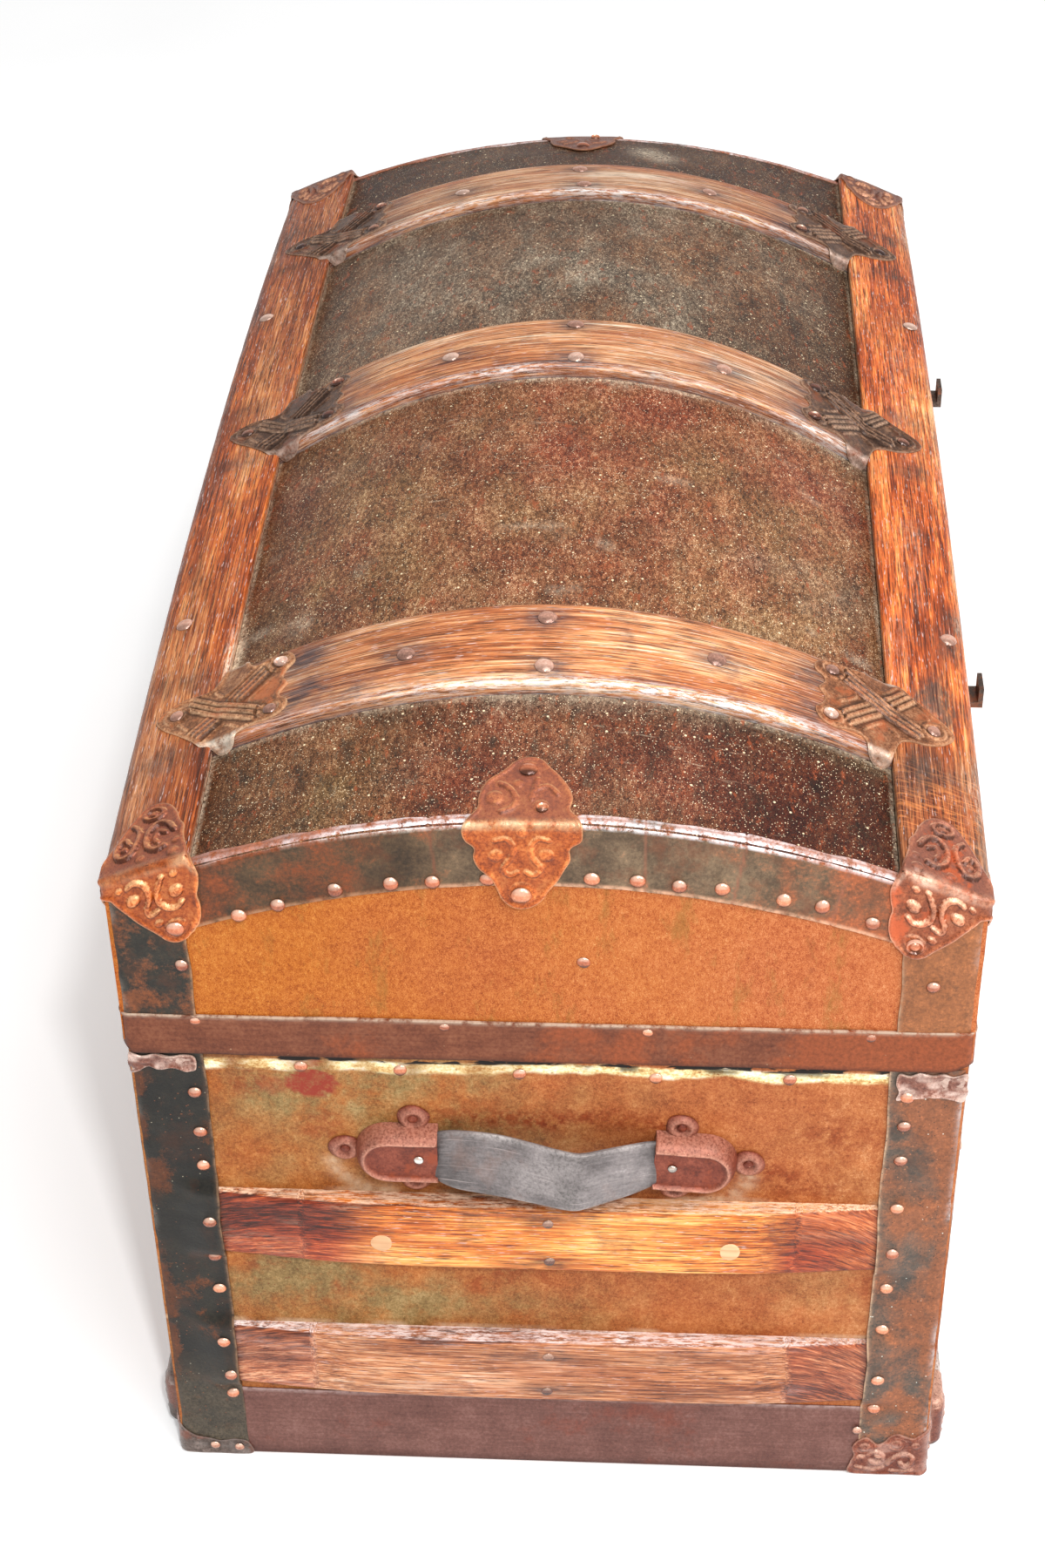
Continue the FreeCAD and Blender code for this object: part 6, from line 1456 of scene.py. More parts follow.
def cap_relief(U, V, d):
    P = np.stack([U, V], 1)
    h = 0.75 * np.exp(-((d - 1.5) / 0.9) ** 2)
    parts = [
        bead(P, [(229, -8.5), (225, -6.5), (220.5, -9), (218, -14.5), (217.6, -21), (219.5, -27.5), (217.5, -32), (213.5, -30.5)], 3.6, 2.0),
        bead(P, [(209.5, -8), (211.5, -13.5), (213, -19), (211.8, -25.5), (207.4, -30.2), (202, -31.2), (199.4, -28.6)], 3.6, 2.0),
        boss(P, (226.6, -18.6), 4.0, 2.4), boss(P, (202, -20), 4.2, 2.4), boss(P, (202.5, -8), 2.4, 1.1), boss(P, (234, -9), 2.2, 1.0),
        boss(P, (213.5, -39.5), 2.6, 1.2), boss(P, (204.5, -45.8), 6.6, 1.0),
        halo_ring(P, (218.8, 42.5), 5.6, 3.0, 1.5, 4.4), boss(P, (218.8, 42.5), 2.6, 1.3),
        bead(P, [(205, 25.5), (209, 31.5), (214.5, 33.4), (219, 29), (220.4, 22), (218.5, 15), (213.5, 11.2), (208.5, 13)], 3.6, 1.9),
        bead(P, [(209.6, 24.5), (213.6, 26.4), (215.4, 21.5), (213.4, 17.6)], 3.2, 1.3),
        bead(P, [(229.5, 36), (226, 32), (225, 26), (226.6, 17), (229.8, 12), (235, 12.5), (237.6, 18), (236.4, 24), (232.6, 26.4), (230.2, 22)], 3.4, 1.9),
        boss(P, (233, 19), 2.2, 1.2), boss(P, (202.5, 15.5), 2.6, 0.9), boss(P, (222, 7.5), 2.8, 0.8), boss(P, (203, 6.5), 3.6, 1.0),
        boss(P, (268, -13), 4.4, 1.9), bead(P, [(252, -6), (258, -9), (259.5, -15), (255.5, -20)], 3.0, 1.5),
    ]
    rel = np.maximum.reduce(parts)
    rel = rel * sstep(0.6, 2.2, d)
    q = np.stack([U, V, 0 * U], 1)
    return np.maximum(h, rel) + 0.18 * noise(q, (7, 7, 7), 7) - 0.25 * sstep(2.0, 4.5, d) * (rel < 0.05)


def cap_place(sx, sy, r=3.8):
    L = math.pi * r / 2

    def place(u, v, h):
        Y0 = np.minimum(u, 244.5 - r)
        th = np.clip((u - Y0) / r, 0, math.pi / 2)
        far = np.maximum(u - Y0 - L, 0)
        al = np.clip((v + L / 2) / r, 0, math.pi / 2)
        down = np.minimum(v + L / 2, 0)
        back = np.maximum(v - L / 2, 0)
        X = 444.4 - r - back - far
        Z = blend_top(444.4 - back, Y0) - r + down
        k = r + h
        tilt = 0.35 * (np.sin(al) > 0.5)
        return np.stack([sx * (X + k * np.cos(al) * np.cos(th)), sy * (Y0 + k * np.sin(th) + tilt * h * np.cos(th)), Z + k * np.sin(al) * np.cos(th)], 1)
    return place


CAP_LINE = spline(CAP_OUT, 1.3)
for sx, xn in ((-1, "left"), (1, "right")):
    for sy, yn in ((-1, "front"), (1, "back")):
        st = 0.85 if sx < 0 else 1.5
        V, F, at = plate(CAP_LINE, st, cap_place(sx, sy), cap_relief, 0.9, 0.9)
        U2 = fill(CAP_LINE, st)[0]
        # ridge_w: the fold over the edge painted pale, a painted highlight along the fold with some wear.
        ridge_w = np.exp(-((U2[:, 1] + 0.5) / 3.2) ** 2) * (0.55 + 0.6 * noise(np.stack([U2[:, 0], U2[:, 1], 0 * U2[:, 0]], 1), (9, 5, 5), 12 + sy)) * (1.0 if sy < 0 else 0.45)
        at["wear"] = np.concatenate([ridge_w, 0 * ridge_w])
        at["topside"] = np.concatenate([sstep(0, 4, U2[:, 1]), 0 * ridge_w])
        n1 = nail(cap_place(sx, sy)(np.array([204.6]), np.array([-45.8]), np.array([1.9]))[0], (sx, 0, 0), 5.0, 2.3, 61, ringed=1 if sy < 0 else 0, seg=24)
        make("%s_%s_lid_cap" % (xn, yn), V, F, COPPERF if sx > 0 else COPPER2 if sy < 0 else COPPER, "lid", at, ("lid_corner_caps",), angle=50)
        make("%s_%s_lid_cap_nail" % (xn, yn), n1[0], n1[1], NAIL, "lid", n1[2])

BUMP_OUT = [(42.6, -1), (39, 5), (35, 11), (34.6, 19), (31, 29), (25, 34.5), (20.5, 38.5), (16, 43.5), (9.3, 46.5), (2, 45), (-3.4, 39), (-8, 34), (-13, 27), (-16.4, 18), (-15.4, 10), (-19, 5), (-22, 0),
            (-22.4, -5.5), (-21.3, -10.5), (-15.6, -15.5), (-15.6, -23), (-12.4, -30), (-8.6, -38), (-3.4, -45.5), (-0.6, -51), (4.5, -56), (11, -58), (17.4, -56), (22, -51), (24.6, -44), (28, -36), (34, -29.5),
            (37, -22), (36.6, -15), (41, -10), (42.8, -5)]


def bump_relief(U, V, d):
    P = np.stack([U, V], 1)
    h = 0.6 * np.exp(-((d - 1.5) / 0.9) ** 2)
    parts = [
        boss(P, (24.5, -20.5), 4.2, 1.3), boss(P, (-2.6, -20), 4.2, 1.3), bead(P, [(25, -10), (19, -9), (15.4, -14), (16.4, -22), (21, -29), (17.5, -34), (13.4, -32)], 3.6, 1.1),
        bead(P, [(-4, -10), (1.5, -9), (5.4, -14), (4.6, -22), (0.4, -29), (4.2, -34), (8.2, -32)], 3.6, 1.1), boss(P, (10.6, -46.6), 8.0, 0.9),
        boss(P, (10.4, -5), 3.4, 0.9), boss(P, (26, 17), 5.0, 1.2), boss(P, (0.5, 11), 4.8, 1.0), bead(P, [(22, 7), (16, 10), (14.4, 17), (18.5, 24), (23.5, 27)], 3.6, 1.1),
        bead(P, [(-8, 20), (-3, 25), (3.4, 23), (6, 16), (3, 30)], 3.4, 0.9), boss(P, (9, 36), 7.5, 0.7), boss(P, (13.5, 27), 3.0, 0.8),
    ]
    rel = np.maximum.reduce(parts) * sstep(0.6, 2.4, d)
    q = np.stack([U, V, 0 * U], 1)
    return np.maximum(h, rel) + 0.2 * noise(q, (7, 7, 7), 9)


def bump_place(sx, r=3.6):
    L = math.pi * r / 2

    def place(u, v, h):
        al = np.clip((v + L / 2) / r, 0, math.pi / 2)
        down = np.minimum(v + L / 2, 0)
        back = np.maximum(v - L / 2, 0)
        X = 445.4 - r - back
        Z = dome(445.4 - back, u, 1.5) - r + down
        k = r + h
        return np.stack([sx * (X + k * np.cos(al)), u + 0 * h, Z + k * np.sin(al)], 1)
    return place


BUMP_LINE = spline(BUMP_OUT, 1.3)
for sx, xn in ((-1, "left"), (1, "right")):
    pl = bump_place(sx)
    st = 0.85 if sx < 0 else 1.5
    V, F, at = plate(BUMP_LINE, st, pl, bump_relief, 0.9, 0.9)
    U2 = fill(BUMP_LINE, st)[0]
    # rw: the fold over the edge painted pale, a painted highlight along the fold with some wear.
    rw = np.exp(-((U2[:, 1] + 0.2) / 2.3) ** 2) * (0.9 + 0.4 * noise(np.stack([U2[:, 0], U2[:, 1], 0 * U2[:, 0]], 1), (8, 4, 4), 15))
    at["wear"] = np.concatenate([0.55 * rw, 0 * rw])
    at["topside"] = np.concatenate([sstep(0, 4, U2[:, 1]), 0 * rw])
    make(xn + "_crown_bumper", V, F, COPPER if sx < 0 else COPPERF, "lid", at, ("crown_bumpers",), angle=50)
    p0 = pl(np.array([11.5, 8.6, -0.4]), np.array([-47.4, 36.5, 9.3]), np.array([1.8, 1.5, 1.5]))
    ns = [nail(p0[0], (sx, 0, 0), 5.6, 3.0, 63, seg=24), nail(p0[1], (0, 0, 1), 5.2, 1.9, 64, seg=20), nail(p0[2], (0, 0, 1), 3.4, 1.5, 65, ringed=1, seg=20)]
    V, F, at = join(ns)
    make(xn + "_crown_bumper_nails", V, F, NAIL, "lid", at)

CLASP_OUT = [(23, 150.6), (28.3, 155.5), (30.4, 162), (30.2, 168.5), (31.6, 175.5), (33.6, 179.6), (37.5, 180.6), (41.2, 182.4), (42.8, 186.4), (41.4, 190.4), (38, 192.6), (35.6, 194.6), (34.6, 198.5), (32, 202.6), (26.8, 207.2), (18, 216.5),
             (12, 223.6), (6.5, 228.6), (0.4, 231.6), (-5.6, 229.4), (-11.8, 222.4), (-15, 214), (-15.4, 206.4), (-17.4, 200.8), (-22, 197.6), (-29, 195.4), (-34.4, 193.6), (-38.8, 192.4), (-42, 190), (-43, 186.2), (-41.6, 182.6),
             (-37.6, 180.4), (-32.5, 179.4), (-28, 177.6), (-25.4, 173.6), (-26, 168), (-28, 161), (-26.6, 155), (-22, 151), (-16, 150), (-11, 153.8), (-5, 155.6), (1, 152.8), (3.4, 152.6), (9, 156), (13.5, 155), (17, 151)]
CLASP_LINE = spline(CLASP_OUT, 1.3)


def clasp_relief(U, V, d):
    P = np.stack([U, V], 1)
    h = 0.8 * np.exp(-((d - 1.7) / 1.0) ** 2)

    def strap(a, b, off):
        a, b = np.array(a, float), np.array(b, float)
        t = (b - a) / np.linalg.norm(b - a)
        n = np.array([-t[1], t[0]])
        return [bead(P, [a + n * o, (a + b) / 2 + n * o, b + n * o], 3.7, 1.7) for o in off], np.abs((P - a) @ n)

    s1, d1 = strap((22.5, 167), (-7.5, 211), (-4.2, 0.0, 4.2))
    s2, d2 = strap((-17, 167), (24, 205), (-4.2, 0.0, 4.2))
    A = np.maximum.reduce(s1)
    B = np.maximum.reduce(s2) * sstep(6.2, 7.6, d1)
    C1 = np.maximum.reduce([bead(P, [(-3.5, 164), (7, 173.5), (16, 163)], 2.8, 0.9), bead(P, [(28.5, 178), (21, 189), (30.5, 198)], 2.8, 0.9), bead(P, [(-21, 176.5), (-7.6, 189), (-14, 197)], 2.8, 0.9), bead(P, [(0, 204), (9.5, 198.5), (17, 207.5), (9, 216)], 2.8, 0.9)])
    rel = np.maximum(np.maximum(A, B), C1 * sstep(6.2, 7.6, d1) * sstep(6.2, 7.6, d2))
    for c in ((22.0, 160.4), (-18.8, 158.4), (-0.4, 219.4)):
        q = np.hypot(P[:, 0] - c[0], P[:, 1] - c[1])
        rel = np.where(q < 8.5, 0, rel) + 0.9 * np.sqrt(np.clip(1 - (np.abs(q - 6.3) / 1.5) ** 2, 0, 1))
    rel = rel * sstep(0.8, 3.0, d) * (np.abs(U) < 31)
    q = np.stack([U, V, 0 * U], 1)
    return np.maximum(h, rel) + 0.15 * noise(q, (7, 7, 7), 9)


def clasp_groove(U, V):
    """The sunk lines beside and between the ridges of the crossed straps."""
    P = np.stack([U, V], 1)
    out, first = 0.0, None
    for a, b in (((22.5, 167), (-7.5, 211)), ((-17, 167), (24, 205))):
        a, b = np.array(a, float), np.array(b, float)
        size = np.linalg.norm(b - a)
        t = (b - a) / size
        along, off = (P - a) @ t, np.abs((P - a) @ np.array([-t[1], t[0]]))
        g = (np.exp(-((off - 2.1) / 0.75) ** 2) + 0.9 * np.exp(-((off - 6.9) / 1.0) ** 2)) * sstep(-3, 0, along) * sstep(size + 3, size, along)
        if first is not None:
            g = g * sstep(6.4, 7.4, first)
        else:
            first = off
        out = np.maximum(out, g)
    return np.clip(out, 0, 1)


def clasp_place(cx, sy, turn):
    """turn is -1 where the same pressing is turned half round."""
    r = 3.0

    def place(u, v, h):
        u = u * turn
        s = np.sign(u)
        au = np.abs(u)
        t = np.clip((au - 31.2) / r, 0, math.pi / 2)
        drop = np.maximum(au - 31.2 - math.pi * r / 2, 0)
        flare = 1.3 * sstep(4.5, 8.5, drop)
        x0 = cx + s * np.minimum(au, 31.2)
        tt = sstep(189.5, 196.5, v)
        z = dome(x0, v, 9.2) * (1 - tt) + rail(x0, v, 0.35) * tt
        slope = 2 * K * v
        ny, nz = slope / np.sqrt(1 + slope ** 2), 1 / np.sqrt(1 + slope ** 2)
        k = r + h
        return np.stack([x0 + s * (k * np.sin(t) + flare), sy * (v + ny * h * np.cos(t)), z + nz * h * np.cos(t) - r * (1 - np.cos(t)) - drop], 1)
    return place


for i, cx in enumerate(SLAT_X):
    for sy, yn in ((-1, "front"), (1, "back")):
        pl = clasp_place(cx, sy, 1 if sy < 0 else -1)
        st = (0.9, 1.1, 1.3)[i]
        V, F, at = plate(CLASP_LINE, st, pl, clasp_relief, 0.9, 0.9)
        U2 = fill(CLASP_LINE, st)[0]
        tab = sstep(30, 33, np.abs(U2[:, 0]))
        at["wear"] = np.concatenate([0.35 * tab, 0 * tab])
        at["tab"] = np.concatenate([tab, 0 * tab])
        gr = clasp_groove(U2[:, 0], U2[:, 1]) * (1 - tab)
        at["groove"] = np.concatenate([gr, 0 * gr])
        make("clasp_%d_%s" % (i + 1, yn), V, F, CLASPD if i else CLASP if sy < 0 else CLASPL, "lid", at, ("rail_clasps",), angle=50)
        ns = []
        for k, (u, v) in enumerate(((22.0, 160.4), (-18.8, 158.4), (-0.4, 219.4))):
            p = pl(np.array([u]), np.array([v]), np.array([0.9]))[0]
            sl = 2 * K * v
            ns.append(nail(p, (0, sy * sl, 1), 4.4, 1.9, 70 + 3 * i + k, ringed=1 if (k == 1) else 0, seg=20))
        V, F, at = join(ns)
        make("clasp_%d_%s_nails" % (i + 1, yn), V, F, NAILW if i == 0 else NAILD, "lid", at)


# ------------------------------------------------------------ handles
def turn_pts(outl, ang, c):
    a = math.radians(ang)
    P = np.asarray(outl, float) - c
    return np.stack([P[:, 0] * math.cos(a) - P[:, 1] * math.sin(a), P[:, 0] * math.sin(a) + P[:, 1] * math.cos(a)], 1) + c


def handle_cap(sx, sy, body, name, node, ang, dz, seed):
    """Pressed iron cup over the end of the strap, with three nail lugs."""
    y0, y1, zc, hh = 63.5, 113.0, 284.0 + dz, 20.0
    arcc = [(y1 - hh * 1.0 + hh * math.cos(t), zc + hh * math.sin(t)) for t in np.linspace(math.pi / 2, -math.pi / 2, 30)]
    out = [(y0, zc + hh)] + [(y, zc + hh) for y in np.linspace(y0 + 3, y1 - hh - 3, 8)] + arcc + [(y, zc - hh) for y in np.linspace(y1 - hh - 3, y0 + 3, 8)] + [(y0, zc - hh)] + [(y0, z) for z in np.linspace(zc - hh + 4, zc + hh - 4, 9)]
    curve = [(y0 - 40, zc + hh)] + arcc + [(y0 - 40, zc - hh)]
    out = turn_pts(out, ang, (y0, zc))
    curve = turn_pts(curve, ang, (y0, zc))
    rng = np.random.RandomState(seed)

    def rel(U, V, d):
        P = np.stack([U, V], 1)
        e = dist_line(P, curve)
        h = 12.8 * (1 - (1 - np.clip(e / 5.4, 0, 1)) ** 2.2) ** 0.62
        h = h + 0.9 * np.exp(-((e - 5.6) / 1.0) ** 2) - 1.5 * sstep(6.2, 7.6, e)
        return h + 0.15 * noise(np.stack([U, V, 0 * U], 1), (8, 8, 8), seed)

    def place(u, v, h):
        return np.stack([sx * (442.0 + h), sy * u, v + 0 * u], 1)

    V, F, at = plate(out, 1.0, place, rel, 0.6, 0.8)
    e = dist_line(np.stack([np.abs(V[:, 1]), V[:, 2]], 1), curve)
    # rim: a painted highlight along the edge of the cup.
    at["rim"] = np.clip(np.exp(-((e - 5.4) / 1.1) ** 2), 0, 1)
    at["relief"] = 0 * at["relief"]
    # wear: the upper part of the cup edge lightened, a painted highlight.
    at["wear"] = 0.35 * sstep(8, 1, e) * sstep(284, 300, V[:, 2])
    parts = [(V, F, at)]
    for k, (lc, r) in enumerate((((y1 + 6.5, zc - 1), 9.8), ((78.0, zc + 24.5), 9.6), ((78.0, zc - 24.8), 9.4))):
        ph = rng.uniform(0, 6)
        L = [(lc[0] + r * (1 + 0.05 * math.sin(3 * a + ph)) * math.cos(a), lc[1] + r * (1 + 0.05 * math.sin(2 * a + ph)) * math.sin(a)) for a in np.linspace(0, 2 * math.pi, 40, endpoint=False)]
        L = turn_pts(L, ang, (y0, zc))
        c2 = turn_pts([lc], ang, (y0, zc))[0]

        def lug(U, V, d, c2=c2, r=r):
            q = np.hypot(U - c2[0], V - c2[1])
            return 0.9 * sstep(0, 1.6, d) + 1.9 * np.exp(-((q - r * 0.62) / 1.9) ** 2) - 0.6 * sstep(3.2, 2.2, q)

        a, b, c = plate(L, 1.0, place, lug, 0.8, 0.8)
        # rim: a painted highlight on the raised ring of the lug.
        c["rim"] = np.clip(c["relief"] / 2.6, 0, 1) * 0.5
        c["relief"] = 0 * c["relief"]
        c["wear"] = 0.2 * np.clip(c["rim"], 0, 1)
        parts.append((a, b, c))
        q = nail((sx * 443.4, sy * c2[0], c2[1]), (sx, 0, 0), 3.0, 1.6, seed + k, seg=16)
        parts.append((q[0], q[1], {}))
    p = turn_pts([(74.5, zc + 1.5)], ang, (y0, zc))[0]
    nl = nail((sx * 454.3, sy * p[0], p[1]), (sx, 0, 0), 2.8, 1.6, seed + 9, seg=18)
    V, F, at = join(parts)
    make(name, V, F, IRON, body, at, (node,), angle=45)
    make(name + "_nail", nl[0], nl[1], NAILS, body, nl[2])


handle_cap(-1, 1, "root", "left_handle_cup_back", "left_handle_caps", 0, 0.0, 31)
handle_cap(-1, -1, "root", "left_handle_cup_front", "left_handle_caps", -4, -0.6, 35)
handle_cap(1, 1, "root", "right_handle_cup_back", "right_handle_caps", 0, 0.0, 37)
handle_cap(1, -1, "root", "right_handle_cup_front", "right_handle_caps", 0, 0.0, 39)

# y, then x and z of the top edge, x and z of the bottom edge
STRAP = [(76, 446.6, 299.0, 450.0, 270.0), (66, 447.2, 301.2, 451.8, 269.0), (60, 448.2, 303.6, 455.6, 268.8), (50, 449.8, 305.8, 461.0, 269.8), (28, 452.5, 306.2, 466.0, 270.2), (8, 455.6, 303.6, 468.8, 268.0), (-6, 457.8, 301.0, 469.4, 264.8),
         (-17, 459.6, 299.6, 468.8, 262.4), (-24, 459.6, 300.0, 467.4, 262.8), (-36, 458.2, 302.4, 463.6, 264.4), (-50, 455.0, 303.2, 458.4, 266.4), (-60, 451.4, 302.4, 453.6, 267.6), (-66, 449.2, 300.8, 451.2, 268.6), (-76, 447.4, 299.2, 449.2, 270.0)]


def strap_half(sx, lo, hi, flip, name, body, node):
    L = spline(np.array(STRAP), 1.4, closed=False)
    sel = (L[:, 0] >= lo - 0.8) & (L[:, 0] <= hi + 0.8)
    L = L[sel]
    th, m = 4.4, 22
    y, xt, zt, xb, zb = (L[:, k][:, None] for k in range(5))
    ex, ez = xb - xt, zb - zt
    W = np.hypot(ex, ez)
    ex, ez = ex / W, ez / W
    nx, nz = -ez, ex
    t1 = np.linspace(0, 1, m)[None, :]
    T = np.concatenate([np.repeat(t1, len(L), 0), np.repeat(t1[:, ::-1], len(L), 0)], 1)
    side = np.concatenate([np.ones((len(L), m)), -np.ones((len(L), m))], 1)
    Y = y + 0 * T
    ed = np.minimum(T, 1 - T) * W
    thk = th * (0.42 + 0.58 * sstep(0, 3.0, ed))
    wob = 0.5 * noise(xyz(Y, 0, 0), (18, 9, 9), 5)
    lump = 0.25 * noise(xyz(Y, T * W, 0), (12, 8, 9), 6) * (ed > 1)
    off = side * (thk / 2 + lump) + 0.9 * (1 - (2 * T - 1) ** 2)
    along = T * W + wob * (T - 0.5)
    S = np.stack([sx * (xt + ex * along + nx * off), Y, zt + ez * along + nz * off], -1)
    G = xyz(Y, T * W, 0)
    # wear: a painted highlight along the top edge of the strap, a fainter one along the bottom edge, and wear in the
    # middle where it is gripped.
    wear = (0.95 * sstep(3.0, 0.0, T * W) + 0.5 * sstep(2.5, 0.0, (1 - T) * W)) * (0.6 + 0.6 * noise(G, (12, 4, 9), 7)) + 0.55 * np.exp(-((Y + 4) / 26.0) ** 2) * (0.35 + 0.7 * noise(G, (16, 9, 9), 8))
    dark = np.where(side > 0, 0.0, 0.5) + 0.6 * np.exp(-((np.abs(Y) - 64) / 3.0) ** 2)
    V, F = loft(S)
    A = {"wear": wear.ravel(), "dark": dark.ravel(), "grain": np.stack([Y.ravel() * 0.001, (T * W).ravel() * 0.001, side.ravel() * 0.004], 1)}
    return make(name, V, F, LEATHER, None, A, (node,), angle=60)


for sx, nm in ((-1, "left"), (1, "right")):
    for lab, lo, hi, s in (("back", 0.0, 74.0, 1), ("front", -74.0, 0.0, -1)):
        o = strap_half(sx, lo, hi, 1, "%s_strap_%s" % (nm, lab), nm + "_handle", nm + "_handle_strap")
        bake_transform(o)
# ------------------------------------------------------------ bottom caps and torn binding tops
def corner_place(sx, sy, hx, hy, r=5.0):
    """u runs round the corner, below 0 on the end and above 0 on the long side; v is the height."""
    L = math.pi * r / 2

    def place(u, v, h):
        th = np.clip((u + L / 2) / r, 0, math.pi / 2)
        near = np.maximum(-u - L / 2, 0)
        far = np.maximum(u - L / 2, 0)
        X = hx - r - far + (r + h) * np.cos(th)
        Y = hy - r - near + (r + h) * np.sin(th)
        return np.stack([sx * X, sy * Y, v + 0 * u], 1)
    return place


FOOT_F = [(-47.5, 1.5), (-48, 12), (-46, 19), (-47.5, 27), (-44, 33.5), (-39, 36.5), (-35, 33.5), (-31.5, 30), (-27, 33), (-24, 38), (-19, 40.5), (-14, 38.5), (-9, 37), (-5, 40.5), (0, 44.5), (6, 47.5), (12, 48.5),
          (17, 44.5), (20, 38), (26, 35.5), (32, 37.5), (38, 34), (40, 27), (43.5, 21), (43, 12), (43.5, 1.5), (20, 1.2), (0, 1.0), (-20, 1.2)]
FOOT_B = [(-45, 1.5), (-45.5, 9), (-42, 13.5), (-34, 14.5), (-26, 12.8), (-18, 15), (-10, 17), (-4, 22), (2, 29), (8, 33), (16, 31), (24, 33), (32, 28), (38, 21), (41, 12), (41, 1.5), (20, 1.2), (0, 1.0), (-20, 1.2)]


def foot_relief(U, V, d):
    P = np.stack([U, V], 1)
    h = 0.7 * np.exp(-((d - 1.6) / 0.9) ** 2)
    parts = [
        boss(P, (-39.5, 28), 4.6, 1.9), halo_ring(P, (-39.5, 28), 5.6, 2.6, 0.9), boss(P, (-19, 31.5), 4.2, 1.7), halo_ring(P, (-19, 31.5), 5.4, 2.4, 0.9),
        bead(P, [(-44, 18), (-39, 19), (-34, 23), (-29, 22), (-27, 16), (-31, 12), (-35, 14)], 3.6, 1.8), bead(P, [(-24, 12), (-20, 18), (-14, 22), (-9, 19), (-9, 13), (-13, 10), (-16, 13)], 3.6, 1.8),
        bead(P, [(-44, 8), (-38, 6.5), (-32, 6), (-27, 8.5)], 3.0, 1.3), bead(P, [(-22, 5.5), (-15, 5), (-8, 6.5)], 3.0, 1.3), boss(P, (-7, 30), 3.0, 1.2),
        boss(P, (11, 37), 4.8, 1.7), bead(P, [(8, 24), (13, 27), (18, 24), (18, 17), (13, 14), (9, 17)], 3.6, 1.8), bead(P, [(24, 14), (28, 21), (34, 24), (38, 18), (35, 12)], 3.6, 1.7), boss(P, (29, 30), 3.4, 1.4),
        bead(P, [(8, 7), (16, 5.5), (24, 6), (34, 7)], 3.0, 1.3),
    ]
    rel = np.maximum.reduce(parts) * sstep(0.6, 2.4, d)
    q = np.stack([U, V, 0 * U], 1)
    return np.maximum(h, rel) + 0.25 * noise(q, (9, 9, 9), 19)


def worn_relief(U, V, d):
    q = np.stack([U, V, 0 * U], 1)
    return 0.45 * foot_relief(U, V, d) * sstep(-12, 6, U) + 0.5 * noise(q, (14, 8, 9), 23) + 0.3 * sstep(0.3, 1.5, d)


for sx, xn in ((-1, "left"), (1, "right")):
    for sy, yn in ((-1, "front"), (1, "back")):
        line = spline(FOOT_F if sy < 0 else FOOT_B, 1.4)
        st = 0.95 if sx < 0 else 1.4
        pl = corner_place(sx, sy, 442.9, 242.9)
        V, F, at = plate(line, st, pl, foot_relief if sy < 0 else worn_relief, 0.8, 1.0)
        U2 = fill(line, st)[0]
        w2 = 0.55 * sstep(0.1, 0.8, noise(np.stack([U2[:, 0], U2[:, 1], 0 * U2[:, 0]], 1), (7, 5, 5), 31)) + 0.4 * np.exp(-((U2[:, 0]) / 3.0) ** 2)
        at["wear"] = np.concatenate([w2, 0 * w2]) * (0.6 if sy < 0 else 0.3)
        make("%s_%s_foot_cap" % (xn, yn), V, F, FOOT if sy < 0 else PEWTER, "root", at, ("bottom_corner_caps",), angle=50)
        ns = [nail(pl(np.array([u]), np.array([v]), np.array([1.0]))[0], (sx, 0, 0) if u < 0 else (0, sy, 0), 3.2, 1.5, 90 + k, seg=16) for k, (u, v) in enumerate(((-45, 44) if sy < 0 else (-38, 8), (-30, 20) if sy < 0 else (-22, 9), (30, 19)))]
        V, F, at = join(ns)
        make("%s_%s_foot_nails" % (xn, yn), V, F, NAILD, "root", at)


# scraps of an older binding left at the tops of the body corners, on the ends
TORN_F = [(-39.5, 333.5), (-32, 335), (-24, 336.2), (-16, 336.6), (-8, 335.4), (-1, 333), (1.5, 337), (0.4, 343), (1.6, 349), (-1, 354.5), (-8, 352.6), (-14, 354.8), (-20, 353.4), (-27, 355), (-33, 352.6), (-39, 354), (-40.5, 347), (-38.5, 340)]
TORN_B = [(-38, 343.5), (-31, 342.5), (-24, 344.8), (-17, 342.8), (-11, 345), (-5, 341.5), (1, 338.5), (2.2, 345), (1.0, 351), (-1, 355.6), (-8, 353.4), (-16, 355.4), (-24, 353.6), (-32, 355.2), (-38, 354), (-39.5, 349)]


def torn_relief(seed):
    def rel(U, V, d):
        q = np.stack([U, V, 0 * U], 1)
        return 0.9 * np.exp(-((d - 0.8) / 0.8) ** 2) + 0.7 * noise(q, (7, 5, 9), seed) + 0.4 * noise(q, (3, 3, 3), seed + 1)
    return rel


for sx, xn in ((-1, "left"), (1, "right")):
    for sy, yn, out in ((-1, "front", TORN_F), (1, "back", TORN_B)):
        line = spline(out, 1.2)
        pl = corner_place(sx, sy, 443.1, 243.1, 5.6)
        V, F, at = plate(line, 0.9, pl, torn_relief(40 + sy), 0.6, 0.9)
        U2 = fill(line, 0.9)[0]
        w2 = np.maximum(sstep(-0.2, 0.7, noise(np.stack([U2[:, 0], U2[:, 1], 0 * U2[:, 0]], 1), (9, 5, 5), 43)), 0.9 * sstep(338.5, 335.5, U2[:, 1]) * (sy < 0))
        at["wear"] = np.concatenate([0.6 * w2, 0 * w2])
        make("%s_%s_torn_strip" % (xn, yn), V, F, TORN, "root", at, angle=50)


